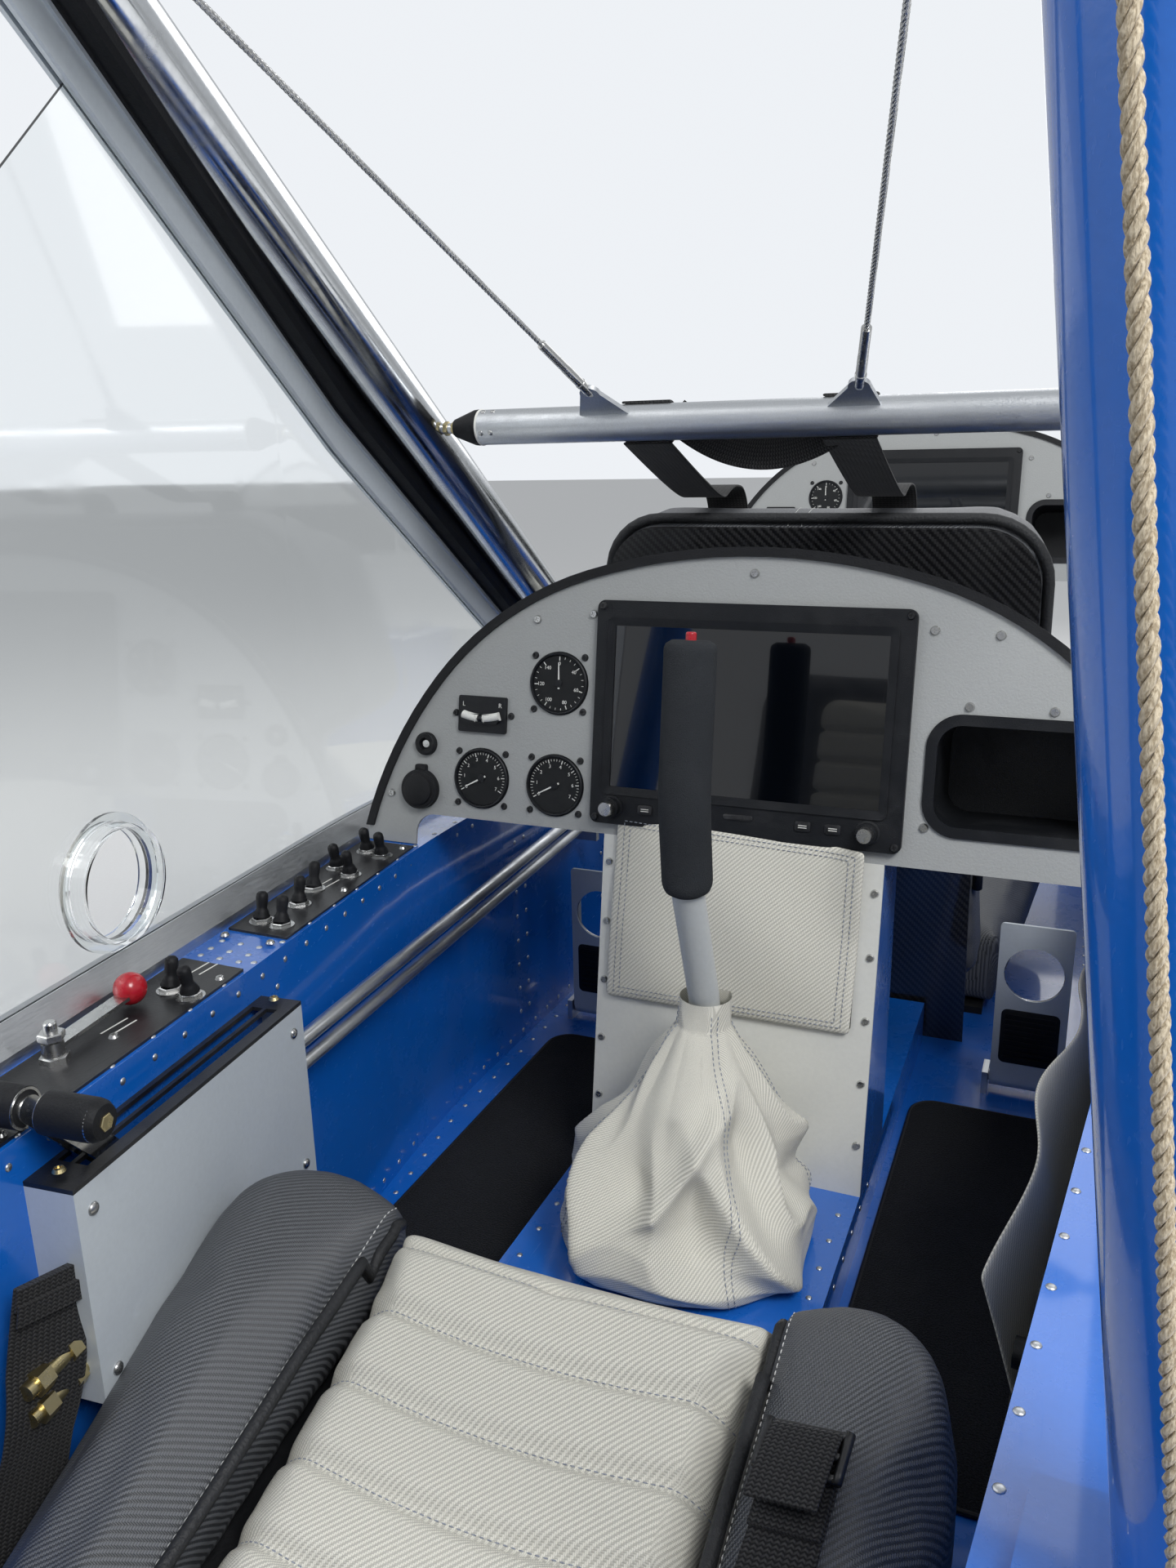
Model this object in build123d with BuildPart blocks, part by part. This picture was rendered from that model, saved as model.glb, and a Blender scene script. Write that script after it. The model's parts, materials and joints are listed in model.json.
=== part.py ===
from build123d import *
import os
from math import asin, cos, radians, sin

# A two-seat aircraft's cockpit section: a tapered tub with two seats in line, the rear seat's
# instrument panel and controls, and the struts, cables and spars that carry the wing above it.
# X points to the right, Y forwards and Z up. The origin lies on the flat belly, below the display.
# All sizes are in millimetres and all heights are measured from the belly.

os.makedirs("parts", exist_ok=True)

# Heights
FLOOR_TOP = 24
TUNNEL_TOP = 74
DECK_TOP = 329
DISPLAY_CENTRE = 470
SPAR_HEIGHT = 1070

# Tub in plan: widest at station 0, with a taper to each end
TUB_REAR = -1020
TUB_FRONT = 1300
BEAM_HALF = 403
REAR_TAPER = 0.104
FRONT_TAPER = 0.02
BEAM_BLEND = 1500
WALL = 84
BILGE_RADIUS = 55

# Sheet and fit
SHEET = 3
SEAT_GAP = 0.3
MOVING_GAP = 5
PIVOT_CLEARANCE = 0.05

# Sill rails along the outer edges of the decks
RAIL_REAR = -566
RAIL_WIDTH = 20
RAIL_HEIGHT = 26
RAIL_GROOVE = 8

# End frames with their joining bolts
FRAME_THICKNESS = 20
FRAME_BORDER = 45
FRAME_BOLT_RADIUS = 4.25
FRAME_BOLT_INSET = 42.92
FRAME_BOLT_SPACING_Z = 260
FRAME_BOLT_CENTRE = 176.5

# Centre tunnel and pedestal
TUNNEL_HALF = 125
TUNNEL_REAR = -352
TUNNEL_FRONT = 340
PEDESTAL_TOP_DEPTH = 70
PEDESTAL_FOOT_DEPTH = 110

# Instrument panel: a sheet that leans forward at the top
PANEL_LEAN = 9
PANEL_FACE = -6
PANEL_THICKNESS = 3
PANEL_TOP = 144
CROWN_RADIUS = 524
CROWN_HALF = 150
SHOULDER_INSET = 104
PANEL_FOOT_INSET = 25
SHOULDER = (BEAM_HALF - SHOULDER_INSET, 22)
PANEL_FOOT = (BEAM_HALF - PANEL_FOOT_INSET, -141)
PANEL_FOOT_DROP = 60
FOOTWELL_INNER = 125
FOOTWELL_OUTER = BEAM_HALF - WALL + SHEET
FOOTWELL_TOP = -110
FOOTWELL_CORNER = 20
EDGING_OUT = 3
EDGING_IN = 5
EDGING_WIDTH = 9

# Front panel: the same panel moved forwards and up, on legs
PANEL_PITCH = (1110, 120)
PANEL_LEG_WIDTH = 36

# Display
DISPLAY_WIDTH = 275.6
DISPLAY_HEIGHT = 198.6
DISPLAY_CORNER = 7
DISPLAY_CASE = (250, 172, 70)
SCREEN_SIZE = (238, 143)
SCREEN_CENTRE = (-1, 6)
SCREEN_DEPTH = 1.5
KNOB_PLACES = ((-116.6, -84), (110.3, -84))
BUTTON_PLACES = ((-84.6, -84), (56.5, -84), (81.9, -84))

# Round gauges: centre in the panel
GAUGE_PLACES = ((-175.5, 23), (-252, -70.5), (-176, -70.5))
GAUGE_DIAMETER = 57
GAUGE_FLANGE = 60
GAUGE_DEPTH = 75
DIAL_RECESS = 1.5

# Slip indicator, jack, power socket and glove box
SLIP_CENTRE = (-252, -10)
SLIP_SIZE = (50, 34)
SLIP_TUBE = (38, 9)
JACK_CENTRE = (-312, -42)
JACK_DIAMETER = 22
SOCKET_CENTRE = (-316.5, -86)
SOCKET_DIAMETER = 38
GLOVE_LEFT = 157
GLOVE_RIGHT = 298
GLOVE_TOP = 12
GLOVE_BOTTOM = -76
GLOVE_CENTRE = ((GLOVE_LEFT + GLOVE_RIGHT) / 2, (GLOVE_TOP + GLOVE_BOTTOM) / 2)
GLOVE_CORNER = 22
GLOVE_DEPTH = 110
GLOVE_LIP = 6

# Map pocket on the pedestal
POCKET_HALF = 110
POCKET_TOP = -107
POCKET_BOTTOM = -258
POCKET_THICKNESS = 10

# Control stick: pivot, then the bends of its tube as (station, height)
STICK_PIVOT = (-130, 49)
STICK_BENDS = ((-101, 252), (-148, 370), (-157, 445), (-142, 560))
STICK_BEND_RADII = (60, 20, 150)
STICK_RADIUS = 12.7
GRIP_RADIUS = 19.5
BUTTON_RADIUS = 4
STICK_HUB_RADIUS = 14
PIVOT_PIN_RADIUS = 5
TORQUE_RADIUS = 16
TORQUE_REAR = -250
TORQUE_FRONT = 30
FORK_WIDTH = 44
FORK_LENGTH = 72
FORK_HEIGHT = 26
FORK_WINDOW = 54
BEARING_LENGTH = 24
BEARING_HALF = 24
BOOT_HOLE_RADIUS = 62

# Boot sections: height, station of the centre, radius
BOOT_SECTIONS = ((TUNNEL_TOP + SEAT_GAP, -152, 92), (100, -156, 102), (165, -134, 74), (228, -107, 38),
                 (258, -101, 27))
BOOT_WALL = 3

# Rudder pedals
PEDAL_STATION = 253
PEDAL_INSET = 197
PEDAL_INNER = BEAM_HALF - PEDAL_INSET
PEDAL_WIDTH = 72
PEDAL_PIVOT_HEIGHT = 40
PEDAL_TOP = 220
PEDAL_FLANGE = 18
PEDAL_HOLE_HEIGHT = 166
PEDAL_HOLE_RADIUS = 29.5
PEDAL_SHAFT_RADIUS = 6
PEDAL_SLEEVE_RADIUS = 10

# Floor mats
MAT_INNER = 135
MAT_INSET = 123
MAT_OUTER = BEAM_HALF - MAT_INSET
MAT_REAR = -300
MAT_FRONT = 205
MAT_CORNER = 25

# Throttle box on the left wall, measured from the lever pivot along the wall
THROTTLE_STATION = -404
THROTTLE_PIVOT_HEIGHT = 185
BOX_AFT = -141
BOX_FORWARD = 104
BOX_BELOW = -27
BOX_ABOVE = 118
BOX_DEPTH = 34
BOX_SHEET = 2
LEVER_SIDE_GAP = 3
SLOT_AFT = -118
SLOT_FORWARD = 86
COVER_THICKNESS = 3
LEVER_THICKNESS = 3
LEVER_DEPTHS = (7, 19)
LEVER_REACH = 213
LEVER_REST_ANGLE = 40
LEVER_TRAVEL = 70
LEVER_WIDTH = 16
LEVER_HUB_RADIUS = 12
THROTTLE_PIN_RADIUS = 4
THROTTLE_GRIP_RADIUS = 12
THROTTLE_GRIP_LENGTH = 37

# Brass pipe fittings behind the throttle box: heights above its floor, and nuts as start and length
BRASS_RISES = (24, 42)
BRASS_DEPTH = 21
BRASS_RADIUS = 5
BRASS_LENGTH = 42
BRASS_NUTS = ((3, 8), (26, 10))

# Push-pull tubes from the throttle box forwards
PUSH_TUBE_RADIUS = 6.3
PUSH_TUBE_DEPTH = 17
PUSH_TUBE_START_HEIGHT = 258
PUSH_TUBE_END_HEIGHT = 268
PUSH_TUBE_END_STATION = 330
PUSH_TUBE_DROP = 19
BRACKET_THICKNESS = 8
BRACKET_HEIGHT = 60

# Switch plates on the left deck: rear and front stations. The toggles and the latch lever have
# an inset from the outer skin and a station.
SWITCH_PLATES = ((-255, -25), (-560, -315))
SWITCH_PLATE_INSETS = (RAIL_WIDTH + 4, WALL - 3)
SWITCH_PLATE_THICKNESS = 2
TOGGLE_PLACES = ((45, -55), (65, -62), (40, -105), (61, -117), (47, -158), (54, -193),
                 (43, -234), (64, -236), (51, -363), (71, -366))
TOGGLE_STEPS = ((6.5, 0, 3), (4.8, 3, 10), (3.2, 10, 24))
LATCH_PIVOT = (43, -470)
LATCH_KNOB = (40, -392)
LATCH_POST = (7, 14)
LATCH_BLADE = (9, 12, 2.5)
KNOB_RADIUS = 11
KNOB_LIFT = 13

# Seats: the front seat is the rear one moved forward by the pitch
SEAT_PITCH = 1230
CUSHION_FRONT = -352
CUSHION_REAR = -794
CUSHION_INSET = 167
CUSHION_HALF = BEAM_HALF - CUSHION_INSET
BOLSTER_WIDTH = 108
CUSHION_CENTRE_HALF = CUSHION_HALF - BOLSTER_WIDTH
CUSHION_UNDER_FRONT = 135
CUSHION_UNDER_REAR = 33
CUSHION_FRONT_RISE = 73
CUSHION_SAG = 20
CUSHION_NOSE = 12
CUSHION_CORNER = 70
CUSHION_THICKNESS = 66
BOLSTER_RISE = 20
BACK_RECLINE = 12
BACK_FOOT = (-797, 100)
BACK_THICKNESS = 85
BACK_HEIGHT = 565
BACK_TAPER = 50
BACK_LOW_HALF = CUSHION_HALF - BACK_TAPER
BACK_HIGH_HALF = CUSHION_HALF
BACK_WAIST = 225
BACK_SHOULDER = 330
BACK_CORNER = 75
BACK_EDGE = 22
SHELL_INSET = 18
SHELL_DROP = 80
SHELL_THICKNESS = 6
SEAT_BASE_INSET = 54
SEAT_BASE_HALF = CUSHION_HALF - SEAT_BASE_INSET
SEAT_BASE_SETBACK = 20

# Struts, bar, spars and cables
FRONT_STRUT_RADIUS = 25.4
FRONT_STRUT_INSET = 58
FRONT_STRUT_FOOT = (BEAM_HALF - FRONT_STRUT_INSET, 604)
FRONT_STRUT_HEAD = (BEAM_HALF - FRONT_STRUT_INSET, -404)
FOOT_PLATE = 8
FRONT_PLATE = (48, 130)
REAR_PLATE = (70, 88)
CHEEK_HEIGHT = 80
REAR_STRUT_RADIUS = 29
REAR_STRUT_INSETS = (73, 166)
REAR_STRUT_FOOT = (BEAM_HALF - REAR_STRUT_INSETS[0], -620)
REAR_STRUT_HEAD = (BEAM_HALF - REAR_STRUT_INSETS[1], -620)
SPAR_RADIUS = 31.75
SPAR_WALL = 3
SPAR_HALF = 400
BAR_RADIUS = 15.875
BAR_ABOVE_BACK = 65.35
BAR_INSET = 121
BAR_CONE_LENGTH = 22
BAR_CONE_START = BEAM_HALF - BAR_INSET
BAR_CONE_END = BAR_CONE_START + BAR_CONE_LENGTH
TANG_THICKNESS = 4
TANG_BASES = ((-178, -115), (36, 97))
TANG_TIP_RADIUS = 9
SHACKLE_LENGTH = 26
SHACKLE_WIDTH = 14
SHACKLE_SHEET = 2.5
SHACKLE_BOLT_RADIUS = 3
SHACKLE_HEAD_RADIUS = 5.5
SHACKLE_HEAD_THICKNESS = 4
SWAGE_RADIUS = 4
SWAGE_LENGTH = 38
LUG_HALF = 22
RIB_PLACE = 150
RIB_RADIUS = 16
CABLE_RADIUS = 2
# Cable ends: across, then forwards and up from the harness bar or from the front spar
CABLE_LOW = ((-152, -36, 24.8), (78.7, -32.1, 22.1))
CABLE_STRUT_GAP = 34
CABLE_HIGH = ((CABLE_STRUT_GAP - FRONT_STRUT_HEAD[0], 14, -32), (189, 14, -32))
ROPE_RADIUS = 3.2
ROPE_INSETS = (86, 177)
ROPE_FOOT = (BEAM_HALF - ROPE_INSETS[0], -658)
ROPE_HEAD = BEAM_HALF - ROPE_INSETS[1]

# Left side window
PANE_INSET = 6
PANE_THICKNESS = 3
PANE_FIT = 0.2
PANE_REAR = -560
PANE_UPPER_STATION = -300
SEAL_OFFSET = FRONT_STRUT_RADIUS + SEAT_GAP
SEAL_THICKNESS = 8
CHANNEL_DEPTH = 28
CHANNEL_WIDTH = 12
CHANNEL_GRIP = 12
SEAL_WIDTH = 58
PANE_REAR_HEIGHT = 690
VENT_LIFT = 0.3
VENT_PLACE = (-365, 408)
VENT_RADIUS = 50
VENT_WALL = 3
VENT_DEPTH = 14

# Harness webbing
BELT_WIDTH = 45
BELT_THICKNESS = 2.5
BELT_BEND = 6
BELT_LOW_END = 200
LAP_BELT_INSETS = (30, 64)
LAP_BELT_FRONT = (CUSHION_HALF - LAP_BELT_INSETS[0], -560)
LAP_BELT_REAR = (CUSHION_HALF - LAP_BELT_INSETS[1], -745)
SHOULDER_BELT_PLACES = (-113, 66)
SLACK_ENDS = (-95, 75)
SLACK_TOP = 8
SLACK_DROP = 28

# Right wall: map pocket and bolted fitting
WALL_POCKET_SPAN = (-300, 180)
WALL_POCKET_BOTTOM = 148
WALL_POCKET_TOP = 255
WALL_POCKET_DEPTH = 32
FITTING_STATION = -345
FITTING_HEIGHT = 178
FITTING_SIZE = (56, 130)
FITTING_THICKNESS = 12

panel_plane = Plane(origin=(0, 0, DISPLAY_CENTRE), x_dir=(1, 0, 0),
                    z_dir=(0, -cos(radians(PANEL_LEAN)), sin(radians(PANEL_LEAN))))


def outer_half(station):
    """Half width of the outer skin at a station."""
    return BEAM_HALF + REAR_TAPER * station if station < 0 else BEAM_HALF - FRONT_TAPER * station


def inner_half(station):
    """Half width between the centreline and a side wall's inner face."""
    return outer_half(station) - WALL


def plan_band(near, far, start, end, side=1):
    """Strip in plan that follows the tub's side, between two insets from the outer skin."""
    stations = [start, 0, end] if start < 0 < end else [start, end]
    outside = [(side * (outer_half(y) - near), y) for y in stations]
    inside = [(side * (outer_half(y) - far), y) for y in reversed(stations)]
    with BuildSketch() as band:
        with BuildLine():
            Polyline(*outside, *inside, close=True)
        make_face()
        if len(stations) == 3:
            fillet(band.vertices().filter_by(lambda v: abs(v.Y) < 1), BEAM_BLEND)
    return band.sketch


def wall_plane(station, height, side=-1, inset=WALL):
    """Plane on a side wall behind the beam: local Y is up and local Z points inboard."""
    face = (side * (outer_half(station) - inset), station, height)
    return Plane(origin=face, x_dir=(-REAR_TAPER, -side, 0), z_dir=(-side, REAR_TAPER, 0))


def rod(start, end, radius):
    """Straight round bar between two points."""
    axis = Vector(*end) - Vector(*start)
    return Plane(origin=start, z_dir=tuple(axis)) * Cylinder(
        radius, axis.length, align=(Align.CENTER, Align.CENTER, Align.MIN), mode=Mode.PRIVATE)


def panel_box(left, right, bottom, top, front, back):
    """Box in the panel's frame, between two depths measured from the display's face."""
    place = panel_plane * Pos((left + right) / 2, (bottom + top) / 2, min(front, back))
    return place * Box(right - left, top - bottom, abs(front - back), mode=Mode.PRIVATE,
                       align=(Align.CENTER, Align.CENTER, Align.MIN))


def panel_point(rise, depth):
    """Station and height of a place on the centreline, given in the panel's frame."""
    lean = radians(PANEL_LEAN)
    return (rise * sin(lean) - depth * cos(lean), DISPLAY_CENTRE + rise * cos(lean) + depth * sin(lean))


def pedestal_side():
    """Outline of a pedestal side sheet, behind the pedestal's front."""
    back = PANEL_FACE - PANEL_THICKNESS
    foot_rise = (TUNNEL_TOP - DISPLAY_CENTRE - back * sin(radians(PANEL_LEAN))) / cos(radians(PANEL_LEAN))
    foot = panel_point(foot_rise, back)
    head = panel_point(FOOTWELL_TOP, back)
    return [foot, head, (head[0] + PEDESTAL_TOP_DEPTH, head[1]), (foot[0] + PEDESTAL_FOOT_DEPTH, foot[1])]


def repeated(piece, forward, up=0):
    """A piece of the rear cockpit with its copy in the front one."""
    with BuildPart() as pair:
        add(piece.part)
        add(Pos(0, forward, up) * piece.part)
    return pair


def stick_axis(low, high):
    """Direction from one place on the centreline to the next."""
    return (0, high[0] - low[0], high[1] - low[1])


def panel_outline():
    """Face of the arched instrument panel: crown, shoulder and side arcs down to the deck."""
    crown_angle = asin(CROWN_HALF / CROWN_RADIUS)
    crown_end = (CROWN_HALF, PANEL_TOP - CROWN_RADIUS * (1 - cos(crown_angle)))
    with BuildSketch() as outline:
        with BuildLine() as half_line:
            crown = TangentArc((0, PANEL_TOP), crown_end, tangent=(1, 0))
            shoulder = TangentArc(crown @ 1, SHOULDER, tangent=crown % 1)
            side = TangentArc(shoulder @ 1, PANEL_FOOT, tangent=shoulder % 1)
            Line(side @ 1, (0, PANEL_FOOT[1]))
            mirror(half_line.line, about=Plane.YZ)
        make_face()
    return outline.sketch


# Tub

with BuildPart() as side_wall_right:
    with BuildSketch():
        add(plan_band(0, WALL, TUB_REAR, TUB_FRONT))
    extrude(amount=DECK_TOP)
    bilge = [e for e in edges() if e.center().Z < 1 and abs(e.tangent_at(0.5).X) < 0.5
             and e.center().X > outer_half(e.center().Y) - WALL / 4]
    fillet(bilge, BILGE_RADIUS)

with BuildPart() as side_wall_left:
    add(mirror(side_wall_right.part, about=Plane.YZ))

with BuildPart() as floor_pan:
    with BuildSketch() as floor_plan:
        with BuildLine():
            right_side = [(inner_half(y), y) for y in (TUB_REAR, 0, TUB_FRONT)]
            Polyline(*right_side, *[(-x, y) for x, y in reversed(right_side)], close=True)
        make_face()
        fillet([v for v in floor_plan.vertices() if abs(v.Y) < 1], BEAM_BLEND)
    extrude(amount=FLOOR_TOP)

with BuildPart() as sill_rails:
    for side in (-1, 1):
        with BuildSketch(Plane.XY.offset(DECK_TOP)):
            add(plan_band(0, RAIL_WIDTH, RAIL_REAR, TUB_FRONT, side))
        extrude(amount=RAIL_HEIGHT)
    ridge = [e for e in edges() if e.center().Z > DECK_TOP + RAIL_HEIGHT - 1
             and abs(e.tangent_at(0.5).X) < 0.5
             and abs(e.center().X) < outer_half(e.center().Y) - RAIL_WIDTH / 2]
    chamfer(ridge, RAIL_HEIGHT * 0.7, RAIL_WIDTH * 0.5)
    with BuildSketch(Plane.XY.offset(DECK_TOP + RAIL_HEIGHT - RAIL_GROOVE)):
        add(plan_band(PANE_INSET - PANE_FIT, PANE_INSET + PANE_THICKNESS + PANE_FIT, TUB_REAR, TUB_FRONT, -1))
    extrude(amount=RAIL_GROOVE, mode=Mode.SUBTRACT)


def end_frame(station, direction):
    """Ring that closes one end of the tub, with its opening and its joining bolt holes."""
    half = min(inner_half(station), inner_half(station + direction * FRAME_THICKNESS))
    middle = (FLOOR_TOP + DECK_TOP) / 2
    bolt_spacing = 2 * (inner_half(TUB_REAR) - FRAME_BOLT_INSET)
    with BuildPart() as frame:
        with BuildSketch(Plane.XZ.offset(-station)):
            with Locations((0, middle)):
                Rectangle(2 * half, DECK_TOP - FLOOR_TOP)
                RectangleRounded(2 * (half - FRAME_BORDER), DECK_TOP - FLOOR_TOP - 2 * FRAME_BORDER,
                                 FRAME_BORDER, mode=Mode.SUBTRACT)
            with Locations((0, FRAME_BOLT_CENTRE)):
                with GridLocations(bolt_spacing, FRAME_BOLT_SPACING_Z, 2, 2):
                    Circle(FRAME_BOLT_RADIUS, mode=Mode.SUBTRACT)
        extrude(amount=-direction * FRAME_THICKNESS)
    return frame


rear_frame = end_frame(TUB_REAR, 1)
front_frame = end_frame(TUB_FRONT, -1)

with BuildPart() as floor_mats:
    for side in (-1, 1):
        with BuildSketch(Plane.XY.offset(FLOOR_TOP)):
            with Locations((side * (MAT_INNER + MAT_OUTER) / 2, (MAT_REAR + MAT_FRONT) / 2)):
                RectangleRounded(MAT_OUTER - MAT_INNER, MAT_FRONT - MAT_REAR, MAT_CORNER)
        extrude(amount=SHEET)

# Tunnel with the pedestal's side sheets

with BuildPart() as tunnel:
    with BuildSketch(Plane.XY.offset(FLOOR_TOP)):
        with Locations((0, (TUNNEL_REAR + TUNNEL_FRONT) / 2)):
            Rectangle(2 * TUNNEL_HALF, TUNNEL_FRONT - TUNNEL_REAR)
    extrude(amount=TUNNEL_TOP - FLOOR_TOP)
    with BuildSketch(Plane.XY.offset(FLOOR_TOP)):
        with Locations((0, (TUNNEL_REAR + TUNNEL_FRONT) / 2)):
            Rectangle(2 * (TUNNEL_HALF - SHEET), TUNNEL_FRONT - TUNNEL_REAR)
    extrude(amount=TUNNEL_TOP - FLOOR_TOP - SHEET, mode=Mode.SUBTRACT)
    with BuildSketch(Plane.XY.offset(TUNNEL_TOP)):
        with Locations((0, STICK_PIVOT[0])):
            Circle(BOOT_HOLE_RADIUS)
    extrude(amount=-2 * SHEET, mode=Mode.SUBTRACT)
    for side in (-1, 1):
        with BuildSketch(Plane.YZ.offset(side * (TUNNEL_HALF - SHEET / 2) - SHEET / 2)):
            with BuildLine():
                Polyline(*pedestal_side(), close=True)
            make_face()
        extrude(amount=SHEET)

# Stick, its torque tube and bearings

pivot_y, pivot_z = STICK_PIVOT
hub_width = 2 * STICK_RADIUS + 2 * SEAT_GAP

with BuildPart() as torque_tube:
    for start, end in ((TORQUE_REAR - BEARING_LENGTH, pivot_y - FORK_LENGTH / 2 + 1),
                       (pivot_y + FORK_LENGTH / 2 - 1, TORQUE_FRONT + BEARING_LENGTH)):
        with BuildSketch(Plane(origin=(0, start, pivot_z), z_dir=(0, 1, 0))):
            Circle(TORQUE_RADIUS)
        extrude(amount=end - start)
    with Locations((0, pivot_y, pivot_z)):
        Box(FORK_WIDTH, FORK_LENGTH, FORK_HEIGHT)
        Box(hub_width + 2 * SEAT_GAP, FORK_WINDOW, FORK_HEIGHT, mode=Mode.SUBTRACT)
        Cylinder(PIVOT_PIN_RADIUS, FORK_WIDTH, rotation=(0, 90, 0))

with BuildPart() as bearing_blocks:
    for station in (TORQUE_REAR - BEARING_LENGTH / 2, TORQUE_FRONT + BEARING_LENGTH / 2):
        with BuildSketch(Plane.XZ.offset(BEARING_LENGTH / 2 - station)):
            with Locations((0, (FLOOR_TOP + pivot_z) / 2)):
                Rectangle(2 * BEARING_HALF, pivot_z - FLOOR_TOP)
            with Locations((0, pivot_z)):
                Circle(TUNNEL_TOP - SHEET - MOVING_GAP / 2 - pivot_z)
                Circle(TORQUE_RADIUS + PIVOT_CLEARANCE, mode=Mode.SUBTRACT)
        extrude(amount=-BEARING_LENGTH)

with BuildPart() as stick_tube:
    with BuildLine():
        FilletPolyline(*[(0, y, z) for y, z in (STICK_PIVOT, *STICK_BENDS)], radius=STICK_BEND_RADII)
    with BuildSketch(Plane(origin=(0, pivot_y, pivot_z), z_dir=stick_axis(STICK_PIVOT, STICK_BENDS[0]))):
        Circle(STICK_RADIUS)
    sweep()
    with Locations((0, pivot_y, pivot_z)):
        Cylinder(STICK_HUB_RADIUS, hub_width, rotation=(0, 90, 0))
        Cylinder(PIVOT_PIN_RADIUS + PIVOT_CLEARANCE, 2 * hub_width, rotation=(0, 90, 0), mode=Mode.SUBTRACT)

with BuildPart() as stick_grip:
    with BuildLine():
        FilletPolyline(*[(0, y, z) for y, z in STICK_BENDS[1:]], radius=STICK_BEND_RADII[2])
    with BuildSketch(Plane(origin=(0, *STICK_BENDS[1]), z_dir=stick_axis(*STICK_BENDS[1:3]))):
        Circle(GRIP_RADIUS)
        Circle(STICK_RADIUS + SEAT_GAP, mode=Mode.SUBTRACT)
    sweep()

with BuildPart() as stick_button:
    top_axis = stick_axis(*STICK_BENDS[2:4])
    with BuildSketch(Plane(origin=(0, *STICK_BENDS[3]), z_dir=top_axis)):
        Circle(BUTTON_RADIUS)
    extrude(amount=BUTTON_RADIUS * 1.8)
    fillet(edges().group_by(Axis.Z)[-1], BUTTON_RADIUS * 0.4)

with BuildPart() as stick_boot:
    for shrink, mode in ((0, Mode.ADD), (BOOT_WALL, Mode.SUBTRACT)):
        for height, station, radius in BOOT_SECTIONS:
            with BuildSketch(Plane.XY.offset(height)):
                with Locations((0, station)):
                    Circle(radius - shrink)
        loft(ruled=True, mode=mode)

# Rudder pedals and their cross shaft

with BuildPart() as pedal_right:
    with BuildSketch(Plane(origin=(0, PEDAL_STATION, 0), x_dir=(1, 0, 0), z_dir=(0, -1, 0))):
        with Locations((PEDAL_INNER + PEDAL_WIDTH / 2, (PEDAL_PIVOT_HEIGHT + PEDAL_TOP) / 2)):
            RectangleRounded(PEDAL_WIDTH, PEDAL_TOP - PEDAL_PIVOT_HEIGHT, 4)
        with Locations((PEDAL_INNER + PEDAL_WIDTH / 2, PEDAL_HOLE_HEIGHT)):
            Circle(PEDAL_HOLE_RADIUS, mode=Mode.SUBTRACT)
    extrude(amount=SHEET)
    for left in (PEDAL_INNER, PEDAL_INNER + PEDAL_WIDTH - SHEET):
        with BuildSketch(Plane.YZ.offset(left)):
            with BuildLine():
                Polyline((PEDAL_STATION, PEDAL_PIVOT_HEIGHT), (PEDAL_STATION, PEDAL_TOP - 4),
                         (PEDAL_STATION + PEDAL_FLANGE, PEDAL_TOP - 14),
                         (PEDAL_STATION + PEDAL_FLANGE, PEDAL_PIVOT_HEIGHT), close=True)
            make_face()
        extrude(amount=SHEET)
    pedal_pivot = (PEDAL_INNER + PEDAL_WIDTH / 2, PEDAL_STATION + PEDAL_FLANGE / 2, PEDAL_PIVOT_HEIGHT)
    with Locations(pedal_pivot):
        Cylinder(PEDAL_SLEEVE_RADIUS, PEDAL_WIDTH, rotation=(0, 90, 0))
        Cylinder(PEDAL_SHAFT_RADIUS + PIVOT_CLEARANCE, PEDAL_WIDTH, rotation=(0, 90, 0), mode=Mode.SUBTRACT)

with BuildPart() as pedal_left:
    add(mirror(pedal_right.part, about=Plane.YZ))

with BuildPart() as pedal_mounts:
    shaft_y = PEDAL_STATION + PEDAL_FLANGE / 2
    shaft_top = PEDAL_PIVOT_HEIGHT + PEDAL_SHAFT_RADIUS + SHEET
    for side in (-1, 1):
        with Locations((side * pedal_pivot[0], shaft_y, PEDAL_PIVOT_HEIGHT)):
            Cylinder(PEDAL_SHAFT_RADIUS, PEDAL_WIDTH + 4 * SHEET, rotation=(0, 90, 0))
        for edge in (-1, 1):
            place = side * pedal_pivot[0] + edge * (PEDAL_WIDTH / 2 + 1.5 * SHEET)
            with Locations((place, shaft_y, FLOOR_TOP)):
                Box(2 * SHEET, 3 * PEDAL_SLEEVE_RADIUS, shaft_top - FLOOR_TOP,
                    align=(Align.CENTER, Align.CENTER, Align.MIN))

# Instrument panel

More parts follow.
